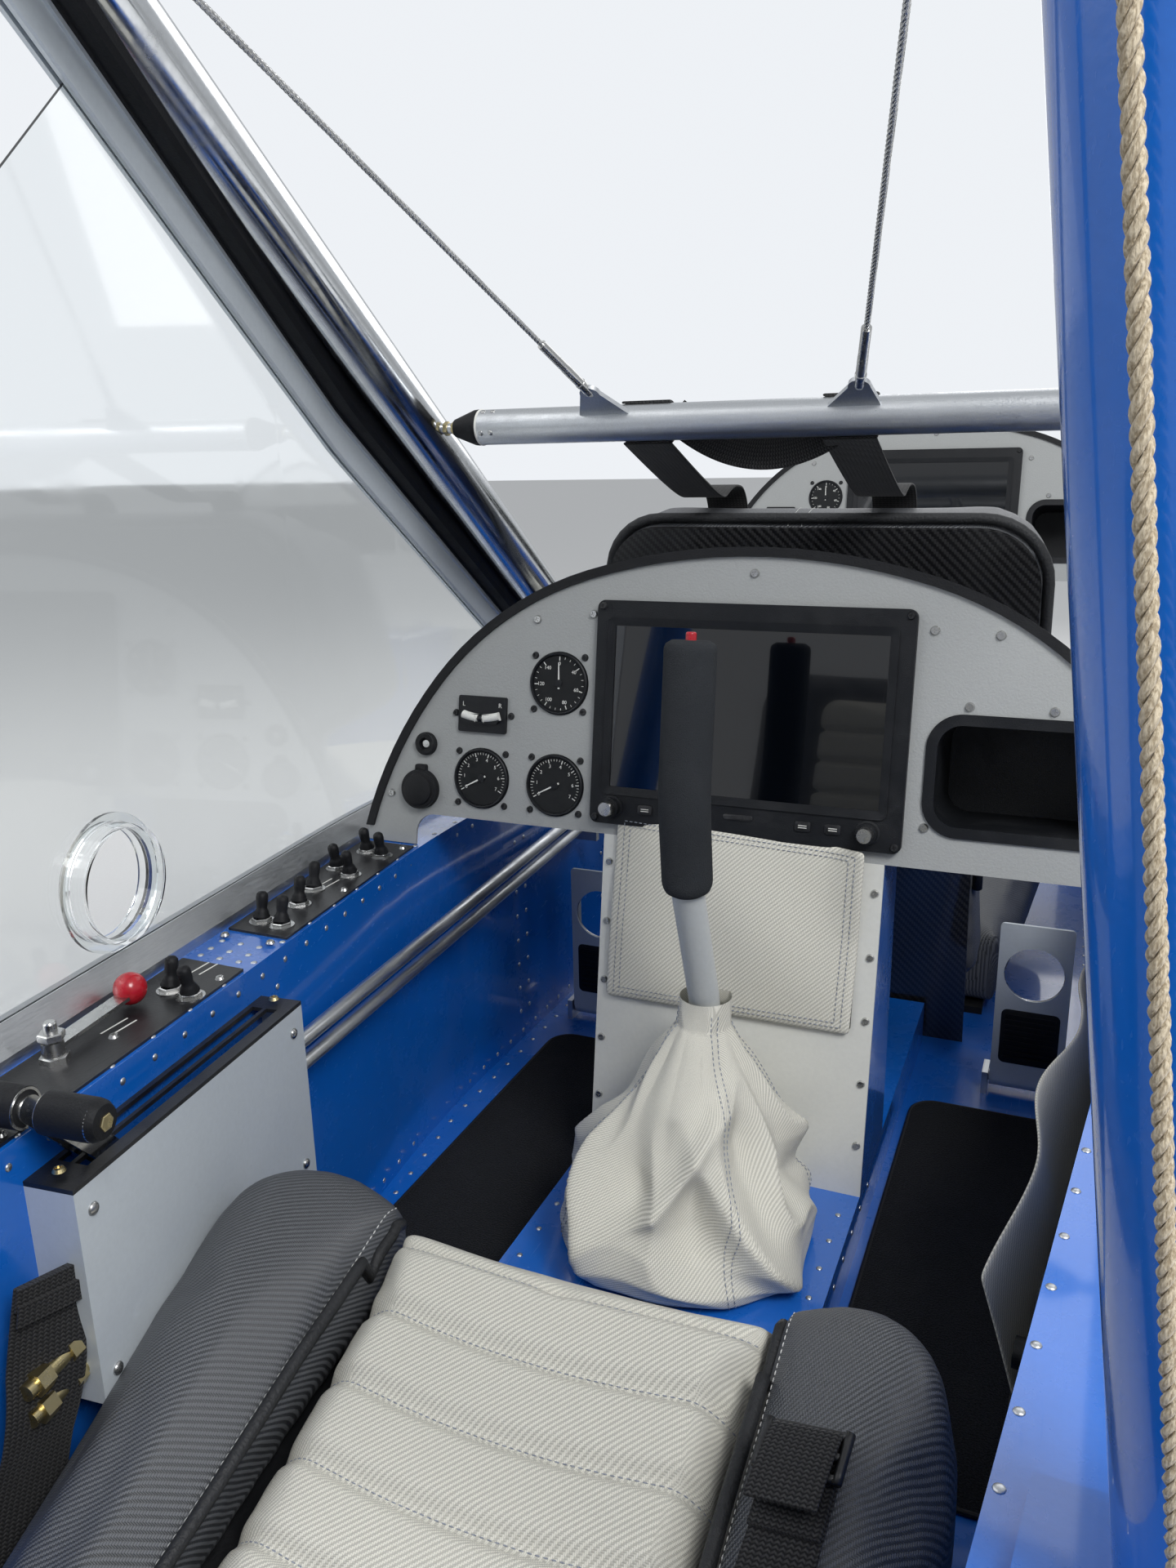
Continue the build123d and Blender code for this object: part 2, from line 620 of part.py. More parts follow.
with BuildPart() as instrument_panel:
    with BuildSketch(panel_plane.offset(PANEL_FACE)) as panel_face:
        add(panel_outline())
        with Locations((0, FOOTWELL_TOP)):
            Rectangle(2 * FOOTWELL_OUTER, PANEL_FOOT_DROP, mode=Mode.SUBTRACT,
                      align=(Align.CENTER, Align.MAX))
        footwell_corners = panel_face.vertices().filter_by(lambda v: abs(v.Y - FOOTWELL_TOP) < 1)
        fillet(footwell_corners, FOOTWELL_CORNER)
        Rectangle(DISPLAY_CASE[0] + 1, DISPLAY_CASE[1] + 1, mode=Mode.SUBTRACT)
        with Locations(*GAUGE_PLACES):
            Circle(GAUGE_DIAMETER / 2 + 0.5, mode=Mode.SUBTRACT)
        with Locations(JACK_CENTRE):
            Circle(JACK_DIAMETER / 2 - 4, mode=Mode.SUBTRACT)
        with Locations(SOCKET_CENTRE):
            Circle(SOCKET_DIAMETER / 2 - 4, mode=Mode.SUBTRACT)
        with Locations(GLOVE_CENTRE):
            RectangleRounded(GLOVE_RIGHT - GLOVE_LEFT, GLOVE_TOP - GLOVE_BOTTOM, GLOVE_CORNER,
                             mode=Mode.SUBTRACT)
    extrude(amount=-PANEL_THICKNESS)

# The front panel is the same sheet, on two legs that stand on the decks.
with BuildPart() as front_panel:
    add(Pos(0, *PANEL_PITCH) * instrument_panel.part)
    front_origin = panel_plane.offset(PANEL_FACE).origin + Vector(0, *PANEL_PITCH)
    with BuildSketch(Plane(origin=front_origin, x_dir=(1, 0, 0), z_dir=panel_plane.z_dir)):
        for side in (-1, 1):
            with Locations((side * (FOOTWELL_OUTER + 1), PANEL_FOOT[1])):
                Rectangle(PANEL_LEG_WIDTH, PANEL_PITCH[1] / cos(radians(PANEL_LEAN)),
                          align=(Align.MIN if side > 0 else Align.MAX, Align.MAX))
    extrude(amount=-PANEL_THICKNESS)

with BuildPart() as instrument_panels:
    add(instrument_panel.part)
    add(front_panel.part)

with BuildPart() as panel_edging:
    with BuildSketch(panel_plane.offset(PANEL_FACE + (EDGING_WIDTH - PANEL_THICKNESS) / 2)):
        offset(panel_outline(), EDGING_OUT)
        offset(panel_outline(), -EDGING_IN, mode=Mode.SUBTRACT)
        with Locations((0, PANEL_FOOT[1] + EDGING_OUT)):
            Rectangle(4 * PANEL_FOOT[0], 4 * EDGING_OUT + 2 * EDGING_IN, mode=Mode.SUBTRACT)
    extrude(amount=-EDGING_WIDTH)
    with BuildSketch(panel_plane.offset(PANEL_FACE + 0.1)):
        offset(panel_outline(), 0.1)
    extrude(amount=-PANEL_THICKNESS - 0.2, mode=Mode.SUBTRACT)

with BuildPart() as display_unit:
    with BuildSketch(panel_plane):
        RectangleRounded(DISPLAY_WIDTH, DISPLAY_HEIGHT, DISPLAY_CORNER)
    extrude(amount=PANEL_FACE)
    with BuildSketch(panel_plane.offset(PANEL_FACE)):
        Rectangle(DISPLAY_CASE[0], DISPLAY_CASE[1])
    extrude(amount=-DISPLAY_CASE[2])
    with BuildSketch(panel_plane):
        with Locations(SCREEN_CENTRE):
            Rectangle(*SCREEN_SIZE)
    extrude(amount=-SCREEN_DEPTH, mode=Mode.SUBTRACT)
    for radius, height in ((8.5, 8), (5.5, 17)):
        with BuildSketch(panel_plane):
            with Locations(*KNOB_PLACES):
                Circle(radius)
        extrude(amount=height)
    with BuildSketch(panel_plane):
        with Locations(*BUTTON_PLACES):
            RectangleRounded(13, 8, 2)
    extrude(amount=1.2)

with BuildPart() as display_screen:
    with BuildSketch(panel_plane.offset(-SCREEN_DEPTH)):
        with Locations(SCREEN_CENTRE):
            Rectangle(SCREEN_SIZE[0] - 0.4, SCREEN_SIZE[1] - 0.4)
    extrude(amount=SCREEN_DEPTH - 0.5)

with BuildPart() as gauges:
    back = PANEL_FACE - PANEL_THICKNESS
    for profile, near, far in ((GAUGE_FLANGE, back, back - 4), (0, PANEL_FACE - 0.3, back - GAUGE_DEPTH)):
        with BuildSketch(panel_plane.offset(near)):
            with Locations(*GAUGE_PLACES):
                if profile:
                    RectangleRounded(profile, profile, 12)
                else:
                    Circle(GAUGE_DIAMETER / 2)
        extrude(amount=far - near)
    with BuildSketch(panel_plane.offset(PANEL_FACE)):
        with Locations(*GAUGE_PLACES):
            Circle(GAUGE_DIAMETER / 2 - 2.5)
    extrude(amount=-DIAL_RECESS - 0.3, mode=Mode.SUBTRACT)

with BuildPart() as slip_indicator:
    with BuildSketch(panel_plane.offset(PANEL_FACE)):
        with Locations(SLIP_CENTRE):
            RectangleRounded(*SLIP_SIZE, 2)
    extrude(amount=3)
    with BuildSketch(panel_plane.offset(PANEL_FACE + 3)):
        with Locations((SLIP_CENTRE[0], SLIP_CENTRE[1] - 4)):
            SlotOverall(*SLIP_TUBE)
    extrude(amount=4)

with BuildPart() as panel_sockets:
    for centre, diameter, rim in ((JACK_CENTRE, JACK_DIAMETER, 4), (SOCKET_CENTRE, SOCKET_DIAMETER, 7)):
        with BuildSketch(panel_plane.offset(PANEL_FACE)):
            with Locations(centre):
                Circle(diameter / 2)
        extrude(amount=rim)
        with BuildSketch(panel_plane.offset(PANEL_FACE)):
            with Locations(centre):
                Circle(diameter / 2 - 4.2)
        extrude(amount=-35)
        with BuildSketch(panel_plane.offset(PANEL_FACE + rim)):
            with Locations(centre):
                Circle(diameter / 4)
        extrude(amount=-rim - 15, mode=Mode.SUBTRACT)

with BuildPart() as glove_box:
    with BuildSketch(panel_plane.offset(PANEL_FACE)):
        with Locations(GLOVE_CENTRE):
            RectangleRounded(GLOVE_RIGHT - GLOVE_LEFT + 2 * GLOVE_LIP,
                             GLOVE_TOP - GLOVE_BOTTOM + 2 * GLOVE_LIP, GLOVE_CORNER + GLOVE_LIP)
    extrude(amount=2)
    for shrink, depth, mode in ((0.5, GLOVE_DEPTH, Mode.ADD), (SHEET, GLOVE_DEPTH - SHEET, Mode.SUBTRACT)):
        with BuildSketch(panel_plane.offset(PANEL_FACE + 2)):
            with Locations(GLOVE_CENTRE):
                RectangleRounded(GLOVE_RIGHT - GLOVE_LEFT - 2 * shrink, GLOVE_TOP - GLOVE_BOTTOM - 2 * shrink,
                                 GLOVE_CORNER - shrink)
        extrude(amount=-depth - 2, mode=mode)

with BuildPart() as pedestal_panel:
    with BuildSketch(panel_plane.offset(PANEL_FACE)):
        with Locations((0, FOOTWELL_TOP)):
            Rectangle(2 * TUNNEL_HALF, DISPLAY_CENTRE, align=(Align.CENTER, Align.MAX))
    extrude(amount=-PANEL_THICKNESS)
    split(bisect_by=Plane.XY.offset(TUNNEL_TOP))

with BuildPart() as pedestal_pocket:
    add(panel_box(-POCKET_HALF, POCKET_HALF, POCKET_BOTTOM, POCKET_TOP, PANEL_FACE + SEAT_GAP,
                  PANEL_FACE + SEAT_GAP + POCKET_THICKNESS))

# Switch plates, toggles and latch lever on the left deck

with BuildPart() as switch_plates:
    for rear, front in SWITCH_PLATES:
        with BuildSketch(Plane.XY.offset(DECK_TOP)):
            add(plan_band(*SWITCH_PLATE_INSETS, rear, front, -1))
        extrude(amount=SWITCH_PLATE_THICKNESS)

plate_top = DECK_TOP + SWITCH_PLATE_THICKNESS


def deck_place(inset, station):
    """Place on the left deck in plan, from the outer skin."""
    return (inset - outer_half(station), station)



with BuildPart() as toggle_switches:
    for radius, near, far in TOGGLE_STEPS:
        with BuildSketch(Plane.XY.offset(plate_top + near)):
            with Locations(*[deck_place(*place) for place in TOGGLE_PLACES]):
                Circle(radius)
        extrude(amount=far - near)

with BuildPart() as latch_lever:
    latch_pivot = deck_place(*LATCH_PIVOT)
    latch_knob = deck_place(*LATCH_KNOB)
    latch_run = Vector(*latch_knob) - Vector(*latch_pivot)
    blade_lift, blade_width, blade_thickness = LATCH_BLADE
    with Locations((*latch_pivot, plate_top)):
        Cylinder(*LATCH_POST, align=(Align.CENTER, Align.CENTER, Align.MIN))
    blade_foot = (*latch_pivot, plate_top + blade_lift)
    with BuildSketch(Plane(origin=blade_foot, x_dir=tuple(latch_run), z_dir=(0, 0, 1))):
        Rectangle(latch_run.length, blade_width, align=(Align.MIN, Align.CENTER))
    extrude(amount=blade_thickness)
    with Locations((*latch_knob, plate_top + KNOB_LIFT)):
        Sphere(KNOB_RADIUS)
    split(bisect_by=Plane.XY.offset(plate_top))

# Throttle box, its cover and the two levers

throttle_plane = wall_plane(THROTTLE_STATION, THROTTLE_PIVOT_HEIGHT)


def wall_sheet(depth):
    """Plane parallel to the throttle box's face, at a depth inboard of the wall."""
    return throttle_plane.offset(depth)


def push_pull_line(drop, radius):
    """Straight run of a push-pull tube from inside the throttle box to its bracket."""
    start = (throttle_plane * Pos(BOX_FORWARD - 2 * PUSH_TUBE_RADIUS, 0, PUSH_TUBE_DEPTH)).position
    end = (PUSH_TUBE_DEPTH - inner_half(PUSH_TUBE_END_STATION), PUSH_TUBE_END_STATION + BRACKET_THICKNESS / 2)
    return rod((start.X, start.Y, PUSH_TUBE_START_HEIGHT - drop), (*end, PUSH_TUBE_END_HEIGHT - drop), radius)


with BuildPart() as throttle_box:
    with BuildSketch(wall_sheet(0)):
        with Locations(((BOX_AFT + BOX_FORWARD) / 2, (BOX_BELOW + BOX_ABOVE - COVER_THICKNESS) / 2)):
            Rectangle(BOX_FORWARD - BOX_AFT, BOX_ABOVE - COVER_THICKNESS - BOX_BELOW)
    extrude(amount=BOX_DEPTH)
    with BuildSketch(wall_sheet(0)):
        with Locations(((BOX_AFT + BOX_FORWARD) / 2, BOX_BELOW + BOX_SHEET)):
            Rectangle(BOX_FORWARD - BOX_AFT - 2 * BOX_SHEET, BOX_ABOVE - BOX_BELOW,
                      align=(Align.CENTER, Align.MIN))
    extrude(amount=BOX_DEPTH - BOX_SHEET, mode=Mode.SUBTRACT)
    with BuildSketch(wall_sheet(0)):
        Circle(THROTTLE_PIN_RADIUS)
    extrude(amount=BOX_DEPTH)
    for drop in (0, PUSH_TUBE_DROP):
        add(push_pull_line(drop, PUSH_TUBE_RADIUS + SEAT_GAP), mode=Mode.SUBTRACT)

with BuildPart() as throttle_box_cover:
    with BuildSketch(wall_sheet(0)):
        with Locations(((BOX_AFT + BOX_FORWARD) / 2, BOX_ABOVE - COVER_THICKNESS / 2)):
            Rectangle(BOX_FORWARD - BOX_AFT, COVER_THICKNESS)
    extrude(amount=BOX_DEPTH)
    for depth in LEVER_DEPTHS:
        with BuildSketch(wall_sheet(depth - LEVER_SIDE_GAP)):
            with Locations((SLOT_AFT, BOX_ABOVE)):
                Rectangle(SLOT_FORWARD - SLOT_AFT, 4 * COVER_THICKNESS, align=(Align.MIN, Align.CENTER))
        extrude(amount=LEVER_THICKNESS + 2 * LEVER_SIDE_GAP, mode=Mode.SUBTRACT)


def throttle_lever(depth, reach):
    """Flat lever on the pivot pin, with its grip reaching inboard (+) or outboard (-)."""
    tip = (-LEVER_REACH * sin(radians(LEVER_REST_ANGLE)), LEVER_REACH * cos(radians(LEVER_REST_ANGLE)))
    with BuildPart() as lever:
        with BuildSketch(wall_sheet(depth)):
            Circle(LEVER_HUB_RADIUS)
            with Locations(tip):
                Circle(LEVER_WIDTH / 2)
            with Locations(Pos(tip[0] / 2, tip[1] / 2) * Rot(0, 0, 90 + LEVER_REST_ANGLE)):
                Rectangle(LEVER_REACH, LEVER_WIDTH)
            Circle(THROTTLE_PIN_RADIUS + PIVOT_CLEARANCE, mode=Mode.SUBTRACT)
        extrude(amount=LEVER_THICKNESS)
        start = depth + LEVER_THICKNESS if reach > 0 else depth
        with BuildSketch(wall_sheet(start)):
            with Locations(tip):
                Circle(THROTTLE_GRIP_RADIUS)
        extrude(amount=reach * THROTTLE_GRIP_LENGTH)
        grip_end = faces().sort_by(lambda f: -reach * Vector(f.center() - throttle_plane.origin)
                                   .dot(throttle_plane.z_dir))[0]
        fillet(grip_end.edges(), THROTTLE_GRIP_RADIUS * 0.4)
    return lever


throttle_lever_left = throttle_lever(LEVER_DEPTHS[0], -1)
throttle_lever_right = throttle_lever(LEVER_DEPTHS[1], 1)

with BuildPart() as brass_fittings:
    for rise in BRASS_RISES:
        base = throttle_plane * Pos(BOX_AFT, BOX_BELOW + rise, BRASS_DEPTH) * Rot(0, -90, 0)
        with BuildSketch(Plane(base)):
            Circle(BRASS_RADIUS)
        extrude(amount=BRASS_LENGTH)
        for start, length in BRASS_NUTS:
            with BuildSketch(Plane(base).offset(start)):
                RegularPolygon(BRASS_RADIUS * 1.6, 6)
            extrude(amount=length)

with BuildPart() as tube_bracket:
    with BuildSketch(Plane.XZ.offset(-PUSH_TUBE_END_STATION)):
        with Locations((-inner_half(PUSH_TUBE_END_STATION + BRACKET_THICKNESS),
                        PUSH_TUBE_END_HEIGHT - PUSH_TUBE_DROP / 2)):
            Rectangle(2 * PUSH_TUBE_DEPTH, BRACKET_HEIGHT, align=(Align.MIN, Align.CENTER))
    extrude(amount=-BRACKET_THICKNESS)

with BuildPart() as push_pull_tubes:
    for drop in (0, PUSH_TUBE_DROP):
        add(push_pull_line(drop, PUSH_TUBE_RADIUS))
    add(tube_bracket.part, mode=Mode.SUBTRACT)

# Right wall: map pocket and the black bolted fitting

with BuildPart() as wall_pocket:
    with BuildSketch(Plane.XY.offset(WALL_POCKET_BOTTOM)):
        add(plan_band(WALL + SEAT_GAP, WALL + WALL_POCKET_DEPTH, *WALL_POCKET_SPAN))
    extrude(amount=WALL_POCKET_TOP - WALL_POCKET_BOTTOM)

with BuildPart() as wall_fitting:
    with BuildSketch(wall_plane(FITTING_STATION, FITTING_HEIGHT, 1)):
        RectangleRounded(*FITTING_SIZE, 22)
    extrude(amount=FITTING_THICKNESS)
    for rise in (-20, 16):
        with BuildSketch(wall_plane(FITTING_STATION, FITTING_HEIGHT, 1).offset(FITTING_THICKNESS)):
            with Locations((0, rise)):
                Circle(9)
        extrude(amount=10)
        with BuildSketch(wall_plane(FITTING_STATION, FITTING_HEIGHT, 1).offset(FITTING_THICKNESS + 4)):
            with Locations((0, rise)):
                RegularPolygon(5, 6)
        extrude(amount=6, mode=Mode.SUBTRACT)

# Seats

cushion_slope = (CUSHION_UNDER_FRONT - CUSHION_UNDER_REAR) / (CUSHION_FRONT - CUSHION_REAR)


def cushion_half(station):
    """Half width of the seat cushion, which follows the tub's taper."""
    return CUSHION_HALF + REAR_TAPER * (station - CUSHION_FRONT)


def seat_under(station):
    """Height of the cushion's underside."""
    return CUSHION_UNDER_FRONT + cushion_slope * (station - CUSHION_FRONT)


def cushion_top(rise):
    """Rear end, lowest bow and front end of the cushion's top, raised at the bolsters."""
    front_top = (CUSHION_FRONT - CUSHION_NOSE, seat_under(CUSHION_FRONT) + CUSHION_FRONT_RISE + rise)
    rear_top = (CUSHION_REAR, seat_under(CUSHION_REAR) + CUSHION_THICKNESS + rise / 2)
    sag = ((front_top[0] + rear_top[0]) / 2, (front_top[1] + rear_top[1]) / 2 - CUSHION_SAG)
    return rear_top, sag, front_top


with BuildPart() as cushion:
    for rise, inner, outer in ((0, -CUSHION_CENTRE_HALF - 1, CUSHION_CENTRE_HALF + 1),
                               (BOLSTER_RISE, CUSHION_CENTRE_HALF, CUSHION_HALF),
                               (BOLSTER_RISE, -CUSHION_HALF, -CUSHION_CENTRE_HALF)):
        rear_top, sag, front_top = cushion_top(rise)
        with BuildSketch(Plane.YZ.offset(inner)):
            with BuildLine():
                ThreePointArc(rear_top, sag, front_top)
                front_foot_station = CUSHION_FRONT - CUSHION_NOSE
                ThreePointArc(front_top, (CUSHION_FRONT, seat_under(CUSHION_FRONT) + CUSHION_THICKNESS / 2),
                              (front_foot_station, seat_under(front_foot_station)))
                Polyline((front_foot_station, seat_under(front_foot_station)),
                         (CUSHION_REAR, seat_under(CUSHION_REAR)), rear_top)
            make_face()
        extrude(amount=outer - inner)
    with BuildSketch():
        with BuildLine():
            front_half, rear_half = cushion_half(CUSHION_FRONT), cushion_half(CUSHION_REAR)
            Polyline((front_half, CUSHION_FRONT), (rear_half, CUSHION_REAR), (-rear_half, CUSHION_REAR),
                     (-front_half, CUSHION_FRONT), close=True)
        make_face()
        fillet(vertices().group_by(Axis.Y)[-1], CUSHION_CORNER)
    extrude(amount=DECK_TOP, mode=Mode.INTERSECT)

with BuildPart() as base:
    with BuildSketch(Plane.YZ.offset(-SEAT_BASE_HALF)):
        with BuildLine():
            base_front = CUSHION_FRONT - SEAT_BASE_SETBACK
            Polyline((base_front, FLOOR_TOP), (base_front, seat_under(base_front) - SEAT_GAP),
                     (CUSHION_REAR, seat_under(CUSHION_REAR) - SEAT_GAP), (CUSHION_REAR, FLOOR_TOP),
                     close=True)
        make_face()
    extrude(amount=2 * SEAT_BASE_HALF)

back_axis = (0, cos(radians(BACK_RECLINE)), sin(radians(BACK_RECLINE)))
back_rear_plane = Plane(origin=(0, *BACK_FOOT), x_dir=(-1, 0, 0), z_dir=back_axis).offset(-BACK_THICKNESS)


def back_outline(inset, foot):
    """Outline of a seat back, narrow between the walls and wide above the decks."""
    low, high, top = BACK_LOW_HALF - inset, BACK_HIGH_HALF - inset, BACK_HEIGHT - inset
    with BuildSketch() as outline:
        with BuildLine():
            Polyline((-low, foot), (-low, BACK_WAIST), (-high, BACK_SHOULDER), (-high, top),
                     (high, top), (high, BACK_SHOULDER), (low, BACK_WAIST), (low, foot), close=True)
        make_face()
        fillet(outline.vertices().group_by(Axis.Y)[-1], BACK_CORNER - inset)
        waist = outline.vertices().filter_by(lambda v: BACK_WAIST - 1 < v.Y < BACK_SHOULDER + 1)
        fillet(waist, BACK_CORNER)
    return outline.sketch


with BuildPart() as back_pad:
    with BuildSketch(back_rear_plane):
        add(back_outline(0, 0))
    extrude(amount=BACK_THICKNESS)
    front_rim = faces().sort_by(lambda f: -f.center().dot(back_rear_plane.z_dir))[0]
    fillet(front_rim.edges().filter_by(lambda e: e.center().Z > BACK_FOOT[1] + 10), BACK_EDGE)

with BuildPart() as back_shell:
    with BuildSketch(back_rear_plane):
        add(back_outline(SHELL_INSET, -SHELL_DROP))
    extrude(amount=-SHELL_THICKNESS)
    split(bisect_by=Plane.XY.offset(FLOOR_TOP))

seat_cushions = repeated(cushion, SEAT_PITCH)
seat_bases = repeated(base, SEAT_PITCH)
seat_backs = repeated(back_pad, SEAT_PITCH)
seat_shells = repeated(back_shell, SEAT_PITCH)

# Struts, spars, harness bar and bracing cables


def back_place(up, out):
    """Station and height on the front seat's back, from its foot and its rear face."""
    recline = radians(BACK_RECLINE)
    depth = out - BACK_THICKNESS
    return (BACK_FOOT[0] + SEAT_PITCH - up * sin(recline) + depth * cos(recline),
            BACK_FOOT[1] + up * cos(recline) + depth * sin(recline))


def along(foot, head, height):
    """Place on the straight line between two points, at a height."""
    share = (height - foot[2]) / (head[2] - foot[2])
    return tuple(low + share * (high - low) for low, high in zip(foot, head))


front_foot = (*FRONT_STRUT_FOOT, DECK_TOP)
front_head = (*FRONT_STRUT_HEAD, SPAR_HEIGHT)
rear_foot = (*REAR_STRUT_FOOT, DECK_TOP)
rear_head = (*REAR_STRUT_HEAD, SPAR_HEIGHT)


def strut(foot, head, radius):
    """Strut between the foot plate's top and the spar's underside."""
    with BuildPart() as tube:
        low = along(foot, head, DECK_TOP - 2 * radius)
        add(rod(low, head, radius))
        split(bisect_by=Plane.XY.offset(DECK_TOP + FOOT_PLATE))
        add(rod((-SPAR_HALF, *head[1:]), (SPAR_HALF, *head[1:]), SPAR_RADIUS), mode=Mode.SUBTRACT)
        lowest = solids().sort_by(Axis.Z)[0]
    return lowest


with BuildPart() as front_struts:
    add(strut(front_foot, front_head, FRONT_STRUT_RADIUS))
    mirror(about=Plane.YZ)

with BuildPart() as rear_struts:
    add(strut(rear_foot, rear_head, REAR_STRUT_RADIUS))
    mirror(about=Plane.YZ)

with BuildPart() as strut_feet:
    for station, near, plate in ((FRONT_STRUT_FOOT[1], RAIL_WIDTH + SEAT_GAP, FRONT_PLATE),
                                 (REAR_STRUT_FOOT[1], 0, REAR_PLATE)):
        width, length = plate
        for side in (-1, 1):
            with BuildSketch(Plane.XY.offset(DECK_TOP)):
                add(plan_band(near, near + width, station - length / 2, station + length / 2, side))
            extrude(amount=FOOT_PLATE)
    for side in (-1, 1):
        with BuildSketch(wall_plane(REAR_STRUT_FOOT[1], DECK_TOP + FOOT_PLATE, side, 0)):
            Rectangle(2 * REAR_STRUT_RADIUS, CHEEK_HEIGHT, align=(Align.CENTER, Align.MAX))
        extrude(amount=-REAR_STRUT_RADIUS)

def tang(axis, left, right, tip):
    """Flat tang that stands on a bar along X, tapered to a round tip with the shackle's bolt hole."""
    rise = Vector(0, tip[1] - axis[0], tip[2] - axis[1])
    with BuildPart() as plate:
        with BuildSketch(Plane(origin=(0, *axis), x_dir=(1, 0, 0), z_dir=tuple(Vector(1, 0, 0).cross(rise)))):
            with BuildLine():
                Polyline((left, 0), (right, 0), (tip[0] + TANG_TIP_RADIUS, rise.length),
                         (tip[0] - TANG_TIP_RADIUS, rise.length), close=True)
            make_face()
            with Locations((tip[0], rise.length)):
                Circle(TANG_TIP_RADIUS)
                Circle(SHACKLE_BOLT_RADIUS + PIVOT_CLEARANCE, mode=Mode.SUBTRACT)
        extrude(amount=TANG_THICKNESS / 2, both=True)
    return plate


cable_high = [(x, front_head[1] + ahead, front_head[2] + up) for x, ahead, up in CABLE_HIGH]

with BuildPart() as wing_frame:
    for station in (front_head[1], rear_head[1]):
        with BuildSketch(Plane.YZ.offset(-SPAR_HALF)):
            with Locations((station, SPAR_HEIGHT)):
                Circle(SPAR_RADIUS)
        extrude(amount=2 * SPAR_HALF)
    for x in (-RIB_PLACE, RIB_PLACE):
        add(rod((x, rear_head[1], SPAR_HEIGHT), (x, front_head[1], SPAR_HEIGHT), RIB_RADIUS))
    for tip in cable_high:
        add(tang(front_head[1:], tip[0] - LUG_HALF, tip[0] + LUG_HALF, tip).part)
    for station in (front_head[1], rear_head[1]):
        with BuildSketch(Plane.YZ.offset(-SPAR_HALF)):
            with Locations((station, SPAR_HEIGHT)):
                Circle(SPAR_RADIUS - SPAR_WALL)
        extrude(amount=2 * SPAR_HALF, mode=Mode.SUBTRACT)

bar_height = back_place(BACK_HEIGHT, BACK_THICKNESS)[1] + BAR_ABOVE_BACK
bar_centre = along(front_foot, front_head, bar_height)
cable_low = [(x, bar_centre[1] + ahead, bar_centre[2] + up) for x, ahead, up in CABLE_LOW]
bar_end = bar_centre[0] - FRONT_STRUT_RADIUS

with BuildPart() as harness_bar:
    bar_plane = Plane.YZ.offset(-BAR_CONE_START)
    with BuildSketch(bar_plane):
        with Locations(bar_centre[1:]):
            Circle(BAR_RADIUS)
    extrude(amount=2 * BAR_CONE_START)
    for side in (-1, 1):
        with BuildSketch(Plane.YZ.offset(side * BAR_CONE_START)):
            with Locations(bar_centre[1:]):
                Circle(BAR_RADIUS)
        with BuildSketch(Plane.YZ.offset(side * BAR_CONE_END)):
            with Locations(bar_centre[1:]):
                Circle(BAR_RADIUS * 0.4)
        loft()
        with BuildSketch(Plane.YZ.offset(side * (BAR_CONE_END - 1))):
            with Locations(bar_centre[1:]):
                Circle(5)
        extrude(amount=side * (bar_end - BAR_CONE_END + 1 + 1))
    for side in (-1, 1):
        add(rod((side * front_foot[0], *front_foot[1:]), (side * front_head[0], *front_head[1:]),
                FRONT_STRUT_RADIUS), mode=Mode.SUBTRACT)
    for tip, (left, right) in zip(cable_low, TANG_BASES):
        add(tang(bar_centre[1:], left, right, tip).part)

with BuildPart() as bracing_cables:
    for low, high in zip(cable_low, cable_high):
        aim = Vector(*high) - Vector(*low)
        shackle_way = Vector(1, 0, 0).cross(Vector(0, aim.Y, aim.Z))
        shackle = Plane(origin=low, x_dir=tuple(aim), z_dir=tuple(shackle_way))
        cheek = TANG_THICKNESS / 2 + SEAT_GAP
        for side in (-1, 1):
            with BuildSketch(shackle.offset(side * cheek)):
                with Locations((SHACKLE_LENGTH / 2, 0)):
                    SlotCenterToCenter(SHACKLE_LENGTH, SHACKLE_WIDTH)
            extrude(amount=side * SHACKLE_SHEET)
        for radius, reach in ((SHACKLE_BOLT_RADIUS, cheek), (SHACKLE_HEAD_RADIUS, 0)):
            for side in (-1, 1):
                start = 0 if reach else cheek + SHACKLE_SHEET
                with BuildSketch(shackle.offset(side * start)):
                    with Locations((0, 0), (SHACKLE_LENGTH, 0)):
                        Circle(radius)
                extrude(amount=side * (reach or SHACKLE_HEAD_THICKNESS))
        with BuildSketch(shackle.offset(-cheek)):
            with Locations((SHACKLE_LENGTH, 0)):
                Circle(SHACKLE_WIDTH / 2)
        extrude(amount=2 * cheek)
        ends = [Vector(*low) + aim.normalized() * (SHACKLE_LENGTH + SWAGE_RADIUS),
                Vector(*high) - aim.normalized() * (TANG_TIP_RADIUS + SEAT_GAP)]
        add(rod(tuple(ends[0]), tuple(ends[1]), CABLE_RADIUS))
        for end, way in zip(ends, (1, -1)):
            add(rod(tuple(end), tuple(end + aim.normalized() * way * SWAGE_LENGTH), SWAGE_RADIUS))

# Left side window in its channel under the front strut

run = Vector(0, front_head[1] - front_foot[1], front_head[2] - front_foot[2]).normalized()
below = Vector(0, -run.Z, run.Y)


def under_strut(depth, station):
    """Place at a station on the line that runs parallel to the strut, below it by an offset."""
    start = Vector(0, front_foot[1], front_foot[2]) + below * depth
    place = start + run * ((station - start.Y) / run.Y)
    return (place.Y, place.Z)


